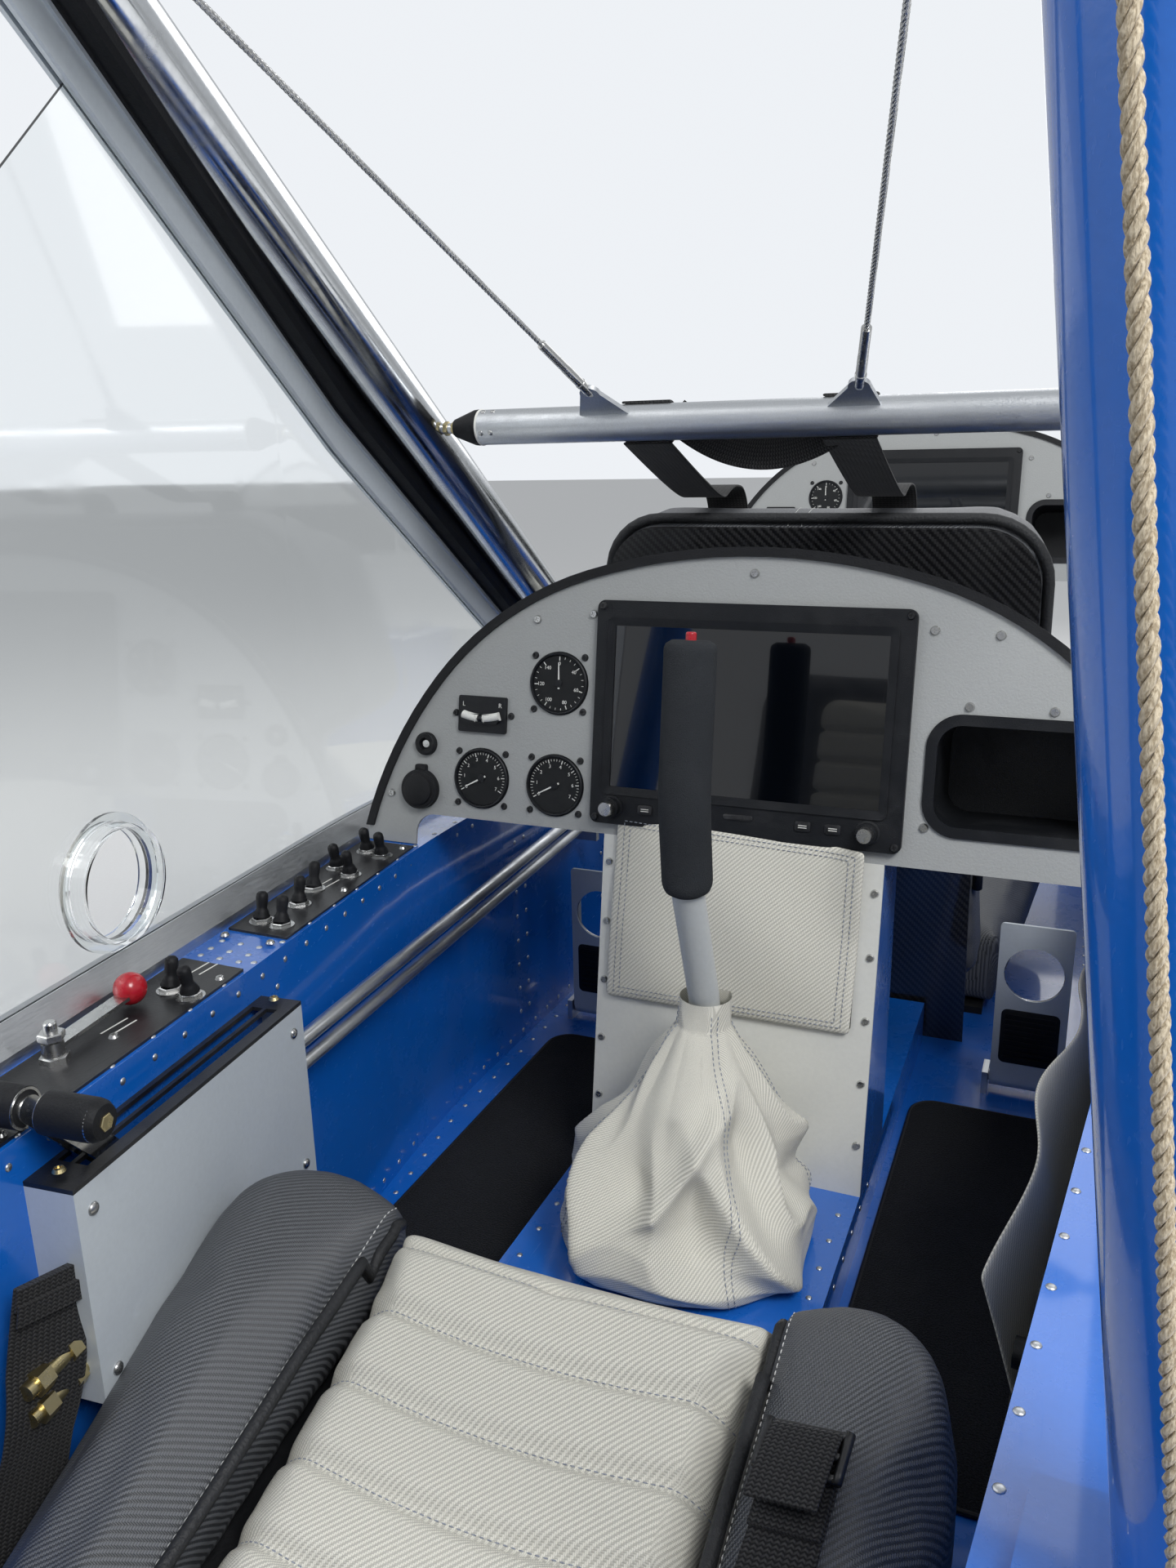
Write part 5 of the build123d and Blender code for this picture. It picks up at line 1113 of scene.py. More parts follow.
def cloth_uv(thing: bpy.types.Object, rule: Callable[[Vector, Vector], Pair]) -> None:
    """Give a mesh its cloth coordinates, in metres, from each corner's place and normal."""
    lay_cloth(thing.data, [rule(vertex.co, vertex.normal) for vertex in thing.data.vertices])


def copy_forward(thing: bpy.types.Object, name: str, ahead: float) -> bpy.types.Object:
    """Copy of a piece for the front cockpit, with its place in its mesh."""
    other = thing.copy()
    other.data = thing.data.copy()
    other.name = name
    other.parent = None
    other.data.transform(Matrix.Translation((0, ahead, 0)))
    bpy.context.scene.collection.objects.link(other)
    return other


@dataclass
class SeatCushions:
    """Both seat cushions: a channelled centre between two bolsters."""

    front: float = -0.352
    rear: float = -0.794
    half: float = 0.236
    centre_half: float = 0.133
    rise: float = 0.030
    swell: float = 0.036
    corner: float = 0.080
    channels: tuple[float, ...] = (-0.392, -0.437, -0.482, -0.527, -0.572, -0.617, -0.662, -0.707, -0.752)
    padding: Padding = field(default_factory=Padding)

    def under(self, station: float) -> float:
        """Height of the underside."""
        return BASE_FRONT + BASE_SLOPE * (station - self.front)

    def top(self, station: float, lift: float) -> float:
        """Height of the top before padding, on an arc from rear to front."""
        share = (station - self.rear) / (-0.364 - self.rear)
        straight = 0.099 + lift / 2 + share * (0.109 + lift / 2)
        return straight - 0.020 * 4 * share * (1 - share)

    def build(self) -> list[BVHTree]:
        """Make the rear seat's panels and their copies on the front seat; give back the bolsters' skins."""
        made = [self.panel("cushion_centre", -self.centre_half, self.centre_half, SILVER_VINYL)]
        made += [self.panel("cushion_bolster_left", -self.half, -self.centre_half, BLACK_VINYL),
                 self.panel("cushion_bolster_right", self.centre_half, self.half, BLACK_VINYL)]
        skins = [skin_of(thing) for thing in made]
        seams = self.seams(skins)
        for thing in made:
            front = copy_forward(thing, thing.name + "_front", SEAT_PITCH)
            for one in (thing, front):
                slot = "silver_vinyl" if "centre" in one.name else "black_vinyl"
                settle(one, "root", slot, "seat_cushions")
        for name, lines, thread in seams:
            for ahead, tail in SEATS:
                shifted = [[p + Vector((0, ahead, 0)) for p in line] for line in lines]
                Stitching().sew(name + tail, shifted, thread, slot="silver_vinyl")
        for side, skin in ((-1, skins[1]), (1, skins[2])):
            self.cord(side, skin, skins[0])
        return skins[1:]

    def cord(self, side: int, bolster: BVHTree, centre: BVHTree) -> None:
        """Covered cord in the seam between the centre and a bolster, on both seats."""
        points = []
        for station in np.linspace(self.rear + 0.02, self.front - 0.012, 60):
            heights = []
            for skin, across in ((bolster, self.centre_half + 0.006), (centre, self.centre_half - 0.006)):
                hit = skin.ray_cast(Vector((side * across, station, CAST_FROM)), DOWN)[0]
                heights += [hit.z] if hit is not None else []
            if heights:
                height = sum(heights) / len(heights) + 0.0004
                points.append(Vector((side * self.centre_half, station, height)))
        for ahead, tail in SEATS:
            shape = Shape()
            shape.tube([point + Vector((0, ahead, 0)) for point in points], 0.0042, 12)
            settle(shape.piece(f"seam_cord_{side + 1}{tail}", PIPING), "root", "black_vinyl")

    def panel(self, name: str, left: float, right: float, finish: Finish) -> bpy.types.Object:
        """One padded panel between two widths."""
        outer = max(abs(left), abs(right)) > self.centre_half + 0.01
        side = -1 if left < -self.centre_half - 0.01 else 1
        inset = -0.004 if outer else 0.001
        across, along = 26, 48
        rows_top, rows_low = [], []
        for j in range(along + 1):
            t = j / along
            top_row, low_row = [], []
            for i in range(across + 1):
                s = i / across
                station = self.rear + t * (self.front - self.rear)
                taper = 0.104 * (station - self.front)
                edge_l, edge_r = left + 0.001, right - 0.001
                if outer and side < 0:
                    edge_l = left + inset - taper
                elif outer:
                    edge_r = right - inset + taper
                x = edge_l + s * (edge_r - edge_l)
                front = self.front - inset
                if outer:
                    over = abs(x) - (self.half - self.corner)
                    if over > 0:
                        over = min(over, self.corner * 0.999)
                        front -= self.corner - math.sqrt(self.corner ** 2 - over ** 2)
                y = self.rear + 0.004 + t * (front - self.rear - 0.004)
                near = [(x - edge_l, 0.007 if not outer or side > 0 else 0.032),
                        (edge_r - x, 0.007 if not outer or side < 0 else 0.032),
                        (front - y, 0.036), (y - self.rear - 0.004, 0.012)]
                drop = 0.0
                for gap, radius in near:
                    if gap < radius:
                        drop = max(drop, radius - math.sqrt(max(0.0, radius ** 2 - (radius - gap) ** 2)))
                z = self.top(y, 0.002 if outer else 0.0) - 0.006
                if outer:
                    reach = min(1.0, max(0.0, (abs(x) - self.centre_half) / (self.half - self.centre_half)))
                    back = min(1.0, (self.front - y) / 0.19)
                    lift = self.rise + self.swell * math.sin(0.5 * math.pi * back)
                    z += lift * math.sin(0.5 * math.pi * reach) ** 1.1
                low = self.under(y) + 0.004
                top_row.append(Vector((x, y, max(z - drop, low + 0.01))))
                low_row.append(Vector((x, y, low)))
            rows_top.append(top_row)
            rows_low.append(low_row)
        shape = Shape()
        rings = []
        for top_row, low_row in zip(rows_top, rows_low):
            rings.append(shape.ring(top_row + list(reversed(low_row))))
        shape.skin(rings)
        thing = shape.piece(name, finish)
        self.padding.puff(thing)
        move_points(thing, lambda points: self.settle_on_base(points, outer))
        cloth_uv(thing, self.weave_place)
        return thing

    def settle_on_base(self, points: np.ndarray, outer: bool) -> np.ndarray:
        """Flatten the underside, and press the sewn channels into the centre."""
        if not outer:
            for line in self.channels:
                bow = line + 0.012 * (points[:, 0] / self.centre_half) ** 2
                dip = 0.0065 * np.exp(-((points[:, 1] - bow) / 0.0055) ** 2)
                top = points[:, 2] > self.under(points[:, 1]) + 0.03
                points[:, 2] -= dip * top
        floor = self.under(points[:, 1]) + 0.0003
        points[:, 2] = np.maximum(points[:, 2], floor)
        return points

    def weave_place(self, spot: Vector, normal: Vector) -> Pair:
        """Cloth coordinates that carry on down the sides and the nose."""
        depth = max(0.0, self.top(max(self.rear, min(spot.y, -0.364)), 0.01) - spot.z)
        u = spot.x + (depth * normal.x if abs(normal.x) > 0.3 else 0.0)
        v = spot.y + (depth * normal.y if normal.y > 0.3 else 0.0)
        return u, v

    def seams(self, skins: list[BVHTree]) -> list[tuple[str, list[list[Vector]], Finish]]:
        """Stitch lines, dropped onto the padded skins."""

        def drop(skin: BVHTree, x: float, y: float, lift: float) -> Vector | None:
            """Place on a skin under a point."""
            hit = skin.ray_cast(Vector((x, y, CAST_FROM)), DOWN)[0]
            return hit + Vector((0, 0, lift)) if hit is not None else None

        rows = []
        for line in self.channels:
            row = [drop(skins[0], x, line + 0.012 * (x / self.centre_half) ** 2, 0.0002)
                   for x in np.linspace(-0.121, 0.121, 40)]
            rows.append([point for point in row if point is not None])
        edges = []
        for skin, side in ((skins[1], -1), (skins[2], 1)):
            row = [drop(skin, side * (self.centre_half + 0.0055), y, 0.0002)
                   for y in np.linspace(-0.78, -0.362, 60)]
            edges.append([point for point in row if point is not None])
        return [("channel_stitches", rows, THREAD), ("bolster_stitches", edges, PALE_THREAD)]


@dataclass
class StickBoot:
    """Gathered vinyl boot round the stick, in two lengths."""

    sections: tuple[Triple, ...] = ((0.0746, -0.150, 0.096), (0.080, -0.152, 0.105), (0.092, -0.155, 0.109),
                                    (0.110, -0.152, 0.106), (0.135, -0.141, 0.096), (0.160, -0.128, 0.085),
                                    (0.185, -0.120, 0.065), (0.205, -0.114, 0.048), (0.222, -0.110, 0.034),
                                    (0.236, -0.105, 0.0255), (0.240, -0.104, 0.0225), (0.262, -0.100, 0.0215))
    middle: float = 0.162
    ridges: int = 7
    pivot: float = 0.049
    clearance: float = 0.008
    swing: float = 0.24

    def profile(self, height: float) -> tuple[float, float]:
        """Station of the centre and radius at a height."""
        heights = [one[0] for one in self.sections]
        return (float(np.interp(height, heights, [one[1] for one in self.sections])),
                float(np.interp(height, heights, [one[2] for one in self.sections])))

    def folds(self) -> list[tuple[float, float, float, float, float]]:
        """Angle, twist, width, height of the middle and depth of each fold, from a fixed seed."""
        chance = random.Random(23)
        found = []
        for index in range(self.ridges):
            found.append((2 * math.pi * (index + chance.uniform(-0.3, 0.3)) / self.ridges,
                          chance.choice((-1, 1)) * chance.uniform(5.0, 12.0), chance.uniform(0.16, 0.28),
                          chance.uniform(0.11, 0.20), chance.uniform(0.20, 0.32)))
        return found

    def place(self, angle: float, height: float) -> Vector:
        """Point of the draped cloth."""
        station, radius = self.profile(height)
        share = (height - self.sections[0][0]) / (self.sections[-1][0] - self.sections[0][0])
        loose = math.sin(math.pi * min(1.0, max(0.0, share)) ** 0.8) ** 0.7
        change = 0.0
        for start, twist, width, middle, depth in self.folds():
            away = (angle - start - twist * (height - middle) + math.pi) % (2 * math.pi) - math.pi
            reach = math.exp(-((height - middle) / 0.060) ** 2)
            crest = 1.0 / (1.0 + (away / width) ** 2) ** 1.5
            change += depth * reach * (math.exp(-abs(away) / width) * 0.5 + crest * 0.5 - 0.13)
        gather = max(0.0, min(1.0, (share - 0.5) / 0.25)) * max(0.0, min(1.0, (0.90 - share) / 0.10))
        pleat = 0.05 * abs(math.sin(6.5 * angle + 20 * height)) * gather
        spot = Vector((1.5 * math.cos(angle), 1.5 * math.sin(angle), height * 15))
        wave = (0.22 - abs(noise.noise(spot))) * 0.42
        radius *= 1 + loose * (change + wave) + pleat
        sag = 0.010 * loose * math.sin(3 * angle + 1.1 + 9 * share)
        moved = max(0.0, min(1.0, (height - self.middle) / 0.088))
        pedestal = (height - PANEL.centre) * math.tan(PANEL.lean) - PANEL.face - self.clearance
        limit = pedestal - self.swing * (height - self.pivot) * moved
        ahead = min(station - radius * math.cos(angle), limit)
        return Vector((radius * math.sin(angle), ahead, height + sag * (1 - share)))

    def build(self) -> None:
        """Make the two lengths and the seams."""
        low, high = self.sections[0][0], self.sections[-1][0]
        lower = Bend("root", "torque_tube", (0, -0.152, 0.082), (0, -0.137, self.middle - 0.004))
        upper = Bend("torque_tube", "stick", (0, -0.136, self.middle + 0.004), (0, -0.102, 0.250))
        turns = [2 * math.pi * index / 220 for index in range(221)]
        steps = 46
        for name, start, end, bend, width in (("boot_skirt", low, self.middle, lower, 0.62),
                                              ("boot_sleeve", self.middle, high, upper, 0.46)):
            heights = [start + (end - start) * step / steps for step in range(steps + 1)]
            shape = Shape()
            shape.sheet([[self.place(angle, height) for angle in turns] for height in heights])
            thing = shape.piece(name, SILVER_VINYL)
            first = thing.data.polygons[0]
            if first.normal.dot(Vector((first.center.x, first.center.y + 0.14, 0))) < 0:
                thing.data.flip_normals()
            cloth_uv(thing, lambda spot, normal: (math.atan2(spot.x, -(spot.y + 0.13)) * 0.12, spot.z * 1.7))
            bend.hold(thing, "silver_vinyl", "stick_boot")
        self.seam(lower, upper)

    def seam(self, lower: Bend, upper: Bend) -> None:
        """Sew the upright seams."""
        for name, start, end, bend in (("boot_stitches_low", 0.082, self.middle, lower),
                                       ("boot_stitches_high", self.middle, 0.252, upper)):
            lines = []
            for angle in (math.radians(38), math.radians(-62), math.radians(128), math.radians(-150)):
                for shift in (-0.03, 0.03):
                    spots = []
                    for height in np.linspace(start, end, 40):
                        spot = self.place(angle + shift * 0.09 / self.profile(height)[1], height)
                        out = Vector((spot.x, spot.y - self.profile(height)[0], 0)).normalized()
                        spots.append(spot + out * 0.0006)
                    lines.append(spots)
            Stitching().sew(name, lines, THREAD, body=bend, slot="silver_vinyl")


@dataclass
class StickGrip:
    """Foam sleeve on the stick, with rounded ends."""

    corners: tuple[Pair, ...] = ((-0.148, 0.370), (-0.157, 0.445), (-0.142, 0.5612))
    radius: float = 0.0195
    bend: float = 0.0188
    ease: float = 0.011

    def build(self) -> None:
        """Sweep the sleeve along the stick's two straights and the bend between them."""
        foot, knee, head = (Vector((0, y, z)) for y, z in self.corners)
        before = knee + (foot - knee).normalized() * self.bend
        after = knee + (head - knee).normalized() * self.bend
        points = [foot.lerp(before, share) for share in np.linspace(0, 1, 24)]
        points += [before.lerp(knee, share).lerp(knee.lerp(after, share), share)
                   for share in np.linspace(0.1, 0.9, 9)]
        points += [after.lerp(head, share) for share in np.linspace(0, 1, 36)]
        radii = []
        for point in points:
            gap = min(1.0, (point - foot).length / self.ease, (head - point).length / (0.7 * self.ease))
            radii.append(self.radius * (0.72 + 0.28 * math.sqrt(1 - (1 - gap) ** 2)))
        shape = Shape()
        shape.tube(points, radii, 48)
        settle(sharpen(shape.piece("grip_sleeve", FOAM), 50), "stick", "grip_foam", "stick_grip")


@dataclass(frozen=True)
class Straps:
    """Harness webbing: shoulder belts, their slack link and the lap belts."""

    width: float = 0.045
    thickness: float = 0.0022
    section: tuple[Pair, ...] = ((-0.5, -0.3), (-0.5, 0.3), (-0.47, 0.5), (-0.25, 0.5), (0.0, 0.5),
                                 (0.25, 0.5), (0.47, 0.5), (0.5, 0.3), (0.5, -0.3), (0.47, -0.5),
                                 (0.25, -0.5), (0.0, -0.5), (-0.25, -0.5), (-0.47, -0.5))

    def strip(self, name: str, path: Sequence[Vector], across: Vector | Sequence[Vector],
              width: float | None = None) -> bpy.types.Object:
        """Strap along a path, with its width across it and its own coordinates.

        Args:
            name: The piece's name.
            path: Points on its centreline.
            across: One direction of its width, or one for each point.
            width: Its width, where it isn't the standard one.

        Returns:
            The strap.
        """
        width = width or self.width
        ways = [across] * len(path) if isinstance(across, Vector) else list(across)
        shape = Shape()
        rings, runs, run = [], [], 0.0
        for index, point in enumerate(path):
            if index:
                run += (point - path[index - 1]).length
            ahead = (path[min(index + 1, len(path) - 1)] - path[max(index - 1, 0)]).normalized()
            way = (ways[index] - ahead * ways[index].dot(ahead)).normalized()
            up = way.cross(ahead).normalized()
            rings.append(shape.ring(point + way * share * width + up * rise * self.thickness
                                    for share, rise in self.section))
            runs.append(run)
        shape.skin(rings)
        spots = [(share * width, run) for run in runs for share, _ in self.section]
        data = bpy.data.meshes.new(name)
        shape.mesh.verts.ensure_lookup_table()
        bmesh.ops.recalc_face_normals(shape.mesh, faces=shape.mesh.faces)
        shape.mesh.to_mesh(data)
        shape.mesh.free()
        lay_cloth(data, spots)
        data.materials.append(WEBBING.material())
        return sharpen(placed(name, data), 50)

    def smooth_path(self, corners: Sequence[Vector], steps: int = 90, order: int = 3) -> list[Vector]:
        """Smooth run near a few corners."""
        curve = bpy.data.curves.new("run", "CURVE")
        curve.dimensions = "3D"
        curve.resolution_u = max(2, steps // max(1, len(corners) - 1))
        spline = curve.splines.new("NURBS")
        spline.points.add(len(corners) - 1)
        for point, corner in zip(spline.points, corners):
            point.co = (*corner, 1)
        spline.order_u = order
        spline.use_endpoint_u = True
        thing = placed("run", curve)
        graph = bpy.context.evaluated_depsgraph_get()
        data = bpy.data.meshes.new_from_object(thing.evaluated_get(graph))
        points = [vertex.co.copy() for vertex in data.vertices]
        bpy.data.objects.remove(thing)
        bpy.data.meshes.remove(data)
        return points


@dataclass
class TwistedLine:
    """Rope or cable of strands laid round a straight line."""

    strands: int
    strand_radius: float
    lay: float
    steps: int = 14
    facets: int = 6

    def build(self, name: str, start: Vector, end: Vector, finish: Finish) -> bpy.types.Object:
        """Lay the strands from one end to the other.

        Args:
            name: The piece's name.
            start: One end.
            end: The other end.
            finish: The fibre or wire.

        Returns:
            The line.
        """
        run = end - start
        axis = run.normalized()
        side = axis.orthogonal().normalized()
        other = axis.cross(side)
        centre = self.strand_radius / math.sin(math.pi / self.strands) if self.strands > 1 else 0.0
        count = max(8, int(run.length / self.lay * self.steps))
        shape = Shape()
        for strand in range(self.strands):
            points = []
            for index in range(count + 1):
                share = index / count
                angle = 2 * math.pi * (strand / self.strands + run.length * share / self.lay)
                out = side * math.cos(angle) + other * math.sin(angle)
                points.append(start + run * share + out * centre)
            shape.tube(points, self.strand_radius, self.facets)
        return shape.piece(name, finish, outward=False)


class Rigging:
    """Bracing cables with their swaged ends, and the rope tied along the rear strut."""

    rope_foot: Triple = (0.317, -0.658, 0.3382)
    rope_head: Triple = (0.226, -0.65525, 1.0698)
    lows: tuple[Triple, ...] = ((-0.152, 0.03883, 0.7428), (0.0787, 0.04273, 0.7401))
    highs: tuple[Triple, ...] = ((-0.311, -0.390, 1.038), (0.189, -0.390, 1.038))
    swage: tuple[Pair, ...] = ((0.0030, 0.0), (0.0042, 0.001), (0.0042, 0.012), (0.0047, 0.0125),
                               (0.0047, 0.0145), (0.0042, 0.015), (0.0042, 0.036), (0.0034, 0.039),
                               (0.0026, 0.040))

    def build(self) -> None:
        """Lay the rope and the cables."""
        foot, head = Vector(self.rope_foot), Vector(self.rope_head)
        rope = TwistedLine(3, 0.00125, 0.0145).build("tie_rope", foot, head, ROPE)
        settle(rope, "root", "rope", "strut_rope")
        for name, end, way in (("rope_knot_low", foot, (head - foot).normalized()),
                               ("rope_knot_high", head, (foot - head).normalized())):
            settle(self.knot(name, end + way * 0.012, way), "root", "rope")
        for index, (low, high) in enumerate(zip(self.lows, self.highs)):
            start, end = Vector(low), Vector(high)
            way = (end - start).normalized()
            wire = TwistedLine(6, 0.00082, 0.022, 10, 5)
            thing = wire.build(f"cable_strands_{index}", start + way * 0.034, end - way * 0.034, STEEL)
            settle(thing, "root", "steel")
            shape = Shape()
            for spot, heading in ((start, way), (end, -way)):
                turn = heading.to_track_quat("Z", "Y").to_matrix().to_4x4()
                shape.lathe(self.swage, Matrix.Translation(spot) @ turn, 20)
            settle(sharpen(shape.piece(f"cable_swages_{index}", STEEL)), "root", "steel")

    def knot(self, name: str, middle: Vector, way: Vector) -> bpy.types.Object:
        """Turns of rope round its own standing part."""
        side = way.orthogonal().normalized()
        other = way.cross(side)
        shape = Shape()
        for strand in range(3):
            points = []
            for index in range(91):
                share = index / 90
                wind = 2 * math.pi * 3.2 * share
                out = (side * math.cos(wind) + other * math.sin(wind))
                core = middle + way * (share - 0.5) * 0.016 + out * 0.0046
                roll = 2 * math.pi * (strand / 3 + share * 6)
                points.append(core + (out * math.cos(roll) + way * math.sin(roll)) * 0.0014)
            shape.tube(points, 0.00125, 6)
        return shape.piece(name, ROPE)


@dataclass(frozen=True)
class BackFrame:
    """The reclined frame of a seat back: across, up its front face and out of it."""

    foot: Pair = (-0.797, 0.100)
    recline: float = math.radians(12)

    def matrix(self, ahead: float, out: float = 0.0) -> Matrix:
        """Frame with local Y up the back and local Z forwards out of it."""
        up = Vector((0, -math.sin(self.recline), math.cos(self.recline)))
        forward = Vector((0, math.cos(self.recline), math.sin(self.recline)))
        turn = Matrix((Vector((1, 0, 0)), up, forward)).transposed().to_4x4()
        spot = Vector((0, self.foot[0] + ahead, self.foot[1])) + forward * out
        return Matrix.Translation(spot) @ turn

    def at(self, ahead: float, across: float, up: float, out: float) -> Vector:
        """Place by distance across, up and out of the front face."""
        return self.matrix(ahead, out) @ Vector((across, up, 0))


BACK = BackFrame()


@dataclass
class SeatBacks:
    """Both seat backs: a padded body with a channelled silver middle, piping and stitches."""

    height: float = 0.565
    thickness: float = 0.085
    low_half: float = 0.186
    high_half: float = 0.236
    corner: float = 0.075
    inset: float = 0.006
    channels: tuple[float, ...] = (0.10, 0.15, 0.20, 0.25, 0.30, 0.35, 0.40, 0.45)
    padding: Padding = field(default_factory=lambda: Padding(voxel=0.008, cap=0.009))

    def outline(self, inset: float) -> list[Pair]:
        """Outline of the back, wider at the shoulders."""
        right = [(self.low_half - inset - 0.02, inset), (self.low_half - inset, inset + 0.02)]
        for up in np.linspace(0.06, 0.225, 5):
            right.append((self.low_half - inset, float(up)))
        for up in np.linspace(0.245, 0.33, 6):
            share = (up - 0.225) / 0.105
            ease = share * share * (3 - 2 * share)
            right.append((self.low_half + ease * (self.high_half - self.low_half) - inset, float(up)))
        for up in np.linspace(0.36, self.height - self.corner, 4):
            right.append((self.high_half - inset, float(up)))
        for step in range(1, 9):
            angle = math.pi / 2 * step / 8
            radius = self.corner - inset
            right.append((self.high_half - self.corner + radius * math.cos(angle),
                          self.height - self.corner + radius * math.sin(angle)))
        return right + [(-x, y) for x, y in reversed(right)]

    def build(self) -> BVHTree:
        """Make the rear seat's back and its copy forwards; give back the front pad's skin."""
        shape = Shape()
        shape.slab(self.outline(self.inset), BACK.matrix(0), -self.thickness + self.inset, -self.inset, 0.012)
        pad = shape.piece("back_pad", BLACK_VINYL)
        self.padding.puff(pad)
        cloth_uv(pad, lambda spot, normal: (spot.x + 0.2 * normal.x, spot.z + spot.y * 0.9))
        insert = Shape()
        frame = BACK.matrix(0, -0.010)
        insert.slab([(x, y + 0.29) for x, y in rounded(0.252, 0.44, 0.03, 6)], frame, 0, 0.017, 0.010)
        middle = insert.piece("back_centre", SILVER_VINYL)
        Padding(voxel=0.0055, cap=0.005).puff(middle)
        inverse = BACK.matrix(0).inverted()
        move_points(middle, lambda points: self.press(points, inverse))
        cloth_uv(middle, lambda spot, normal: (spot.x, spot.z * 1.02))
        skins = {thing.name: skin_of(thing) for thing in (pad, middle)}
        lines = [self.drop(skins["back_centre"], [(x, up) for x in np.linspace(-0.118, 0.118, 40)])
                 for up in self.channels]
        tops = []
        for x in (-0.026, -0.012):
            tops.append([self.over_top(skins["back_pad"], x, angle) for angle in np.linspace(-20, 200, 50)])
        for thing, slot in ((pad, "black_vinyl"), (middle, "silver_vinyl")):
            for one in (thing, copy_forward(thing, thing.name + "_front", SEAT_PITCH)):
                settle(one, "root", slot, "seat_backs")
        for ahead, tail in SEATS:
            step = Vector((0, ahead, 0))
            for name, rows, thread, slot in (("back_channel_stitches", lines, THREAD, "silver_vinyl"),
                                             ("back_top_stitches", tops, PALE_THREAD, "black_vinyl")):
                Stitching().sew(name + tail, [[p + step for p in line] for line in rows], thread, slot=slot)
            self.piping(ahead, "back_piping" + tail)
        return skin_of(pad, SEAT_PITCH)

    def press(self, points: np.ndarray, inverse: Matrix) -> np.ndarray:
        """Press the channels into the middle's front face."""
        turn = np.array(inverse.to_3x3())
        local = points @ turn.T + np.array(inverse.translation)
        dip = np.zeros(len(points))
        for line in self.channels:
            dip += 0.006 * np.exp(-((local[:, 1] - line) / 0.0055) ** 2)
        local[:, 2] -= dip * (local[:, 2] > 0.0)
        return (local - np.array(inverse.translation)) @ np.linalg.inv(turn).T

    @staticmethod
    def drop(skin: BVHTree, spots: Sequence[Pair]) -> list[Vector]:
        """Places on the front face, found along the back's own normal."""
        found = []
        way = BACK.at(0, 0, 0, 1) - BACK.at(0, 0, 0, 0)
        for across, up in spots:
            hit = skin.ray_cast(BACK.at(0, across, up, 0.2), -way)[0]
            if hit is not None:
                found.append(hit + way * 0.0003)
        return found

    def over_top(self, skin: BVHTree, across: float, angle: float) -> Vector:
        """Place on the rounded top, seen from inside the pad at an angle."""
        centre = BACK.at(0, across, self.height - 0.05, -self.thickness / 2)
        turn = math.radians(angle)
        way = (BACK.at(0, 0, math.sin(turn), -math.cos(turn)) - BACK.at(0, 0, 0, 0)).normalized()
        hit = skin.ray_cast(centre + way * 0.2, -way)[0]
        return hit + way * 0.0003 if hit is not None else centre

    def piping(self, ahead: float, name: str) -> None:
        """Cord along the pad's rear edge."""
        outline = self.outline(0.012)[4:-4]
        shape = Shape()
        shape.tube([BACK.at(ahead, x, y, -self.thickness + 0.012) for x, y in outline], 0.0055, 12)
        settle(shape.piece(name, PIPING), "root", "black_vinyl")


def clear_of(skin: BVHTree, points: Sequence[Vector], gap: float) -> list[Vector]:
    """Push points out to a small gap from a skin."""
    found = []
    for point in points:
        near, normal, _, distance = skin.find_nearest(point)
        inside = near is not None and (point - near).dot(normal) < gap and distance < 0.06
        found.append(near + normal * gap if inside else point.copy())
    return found


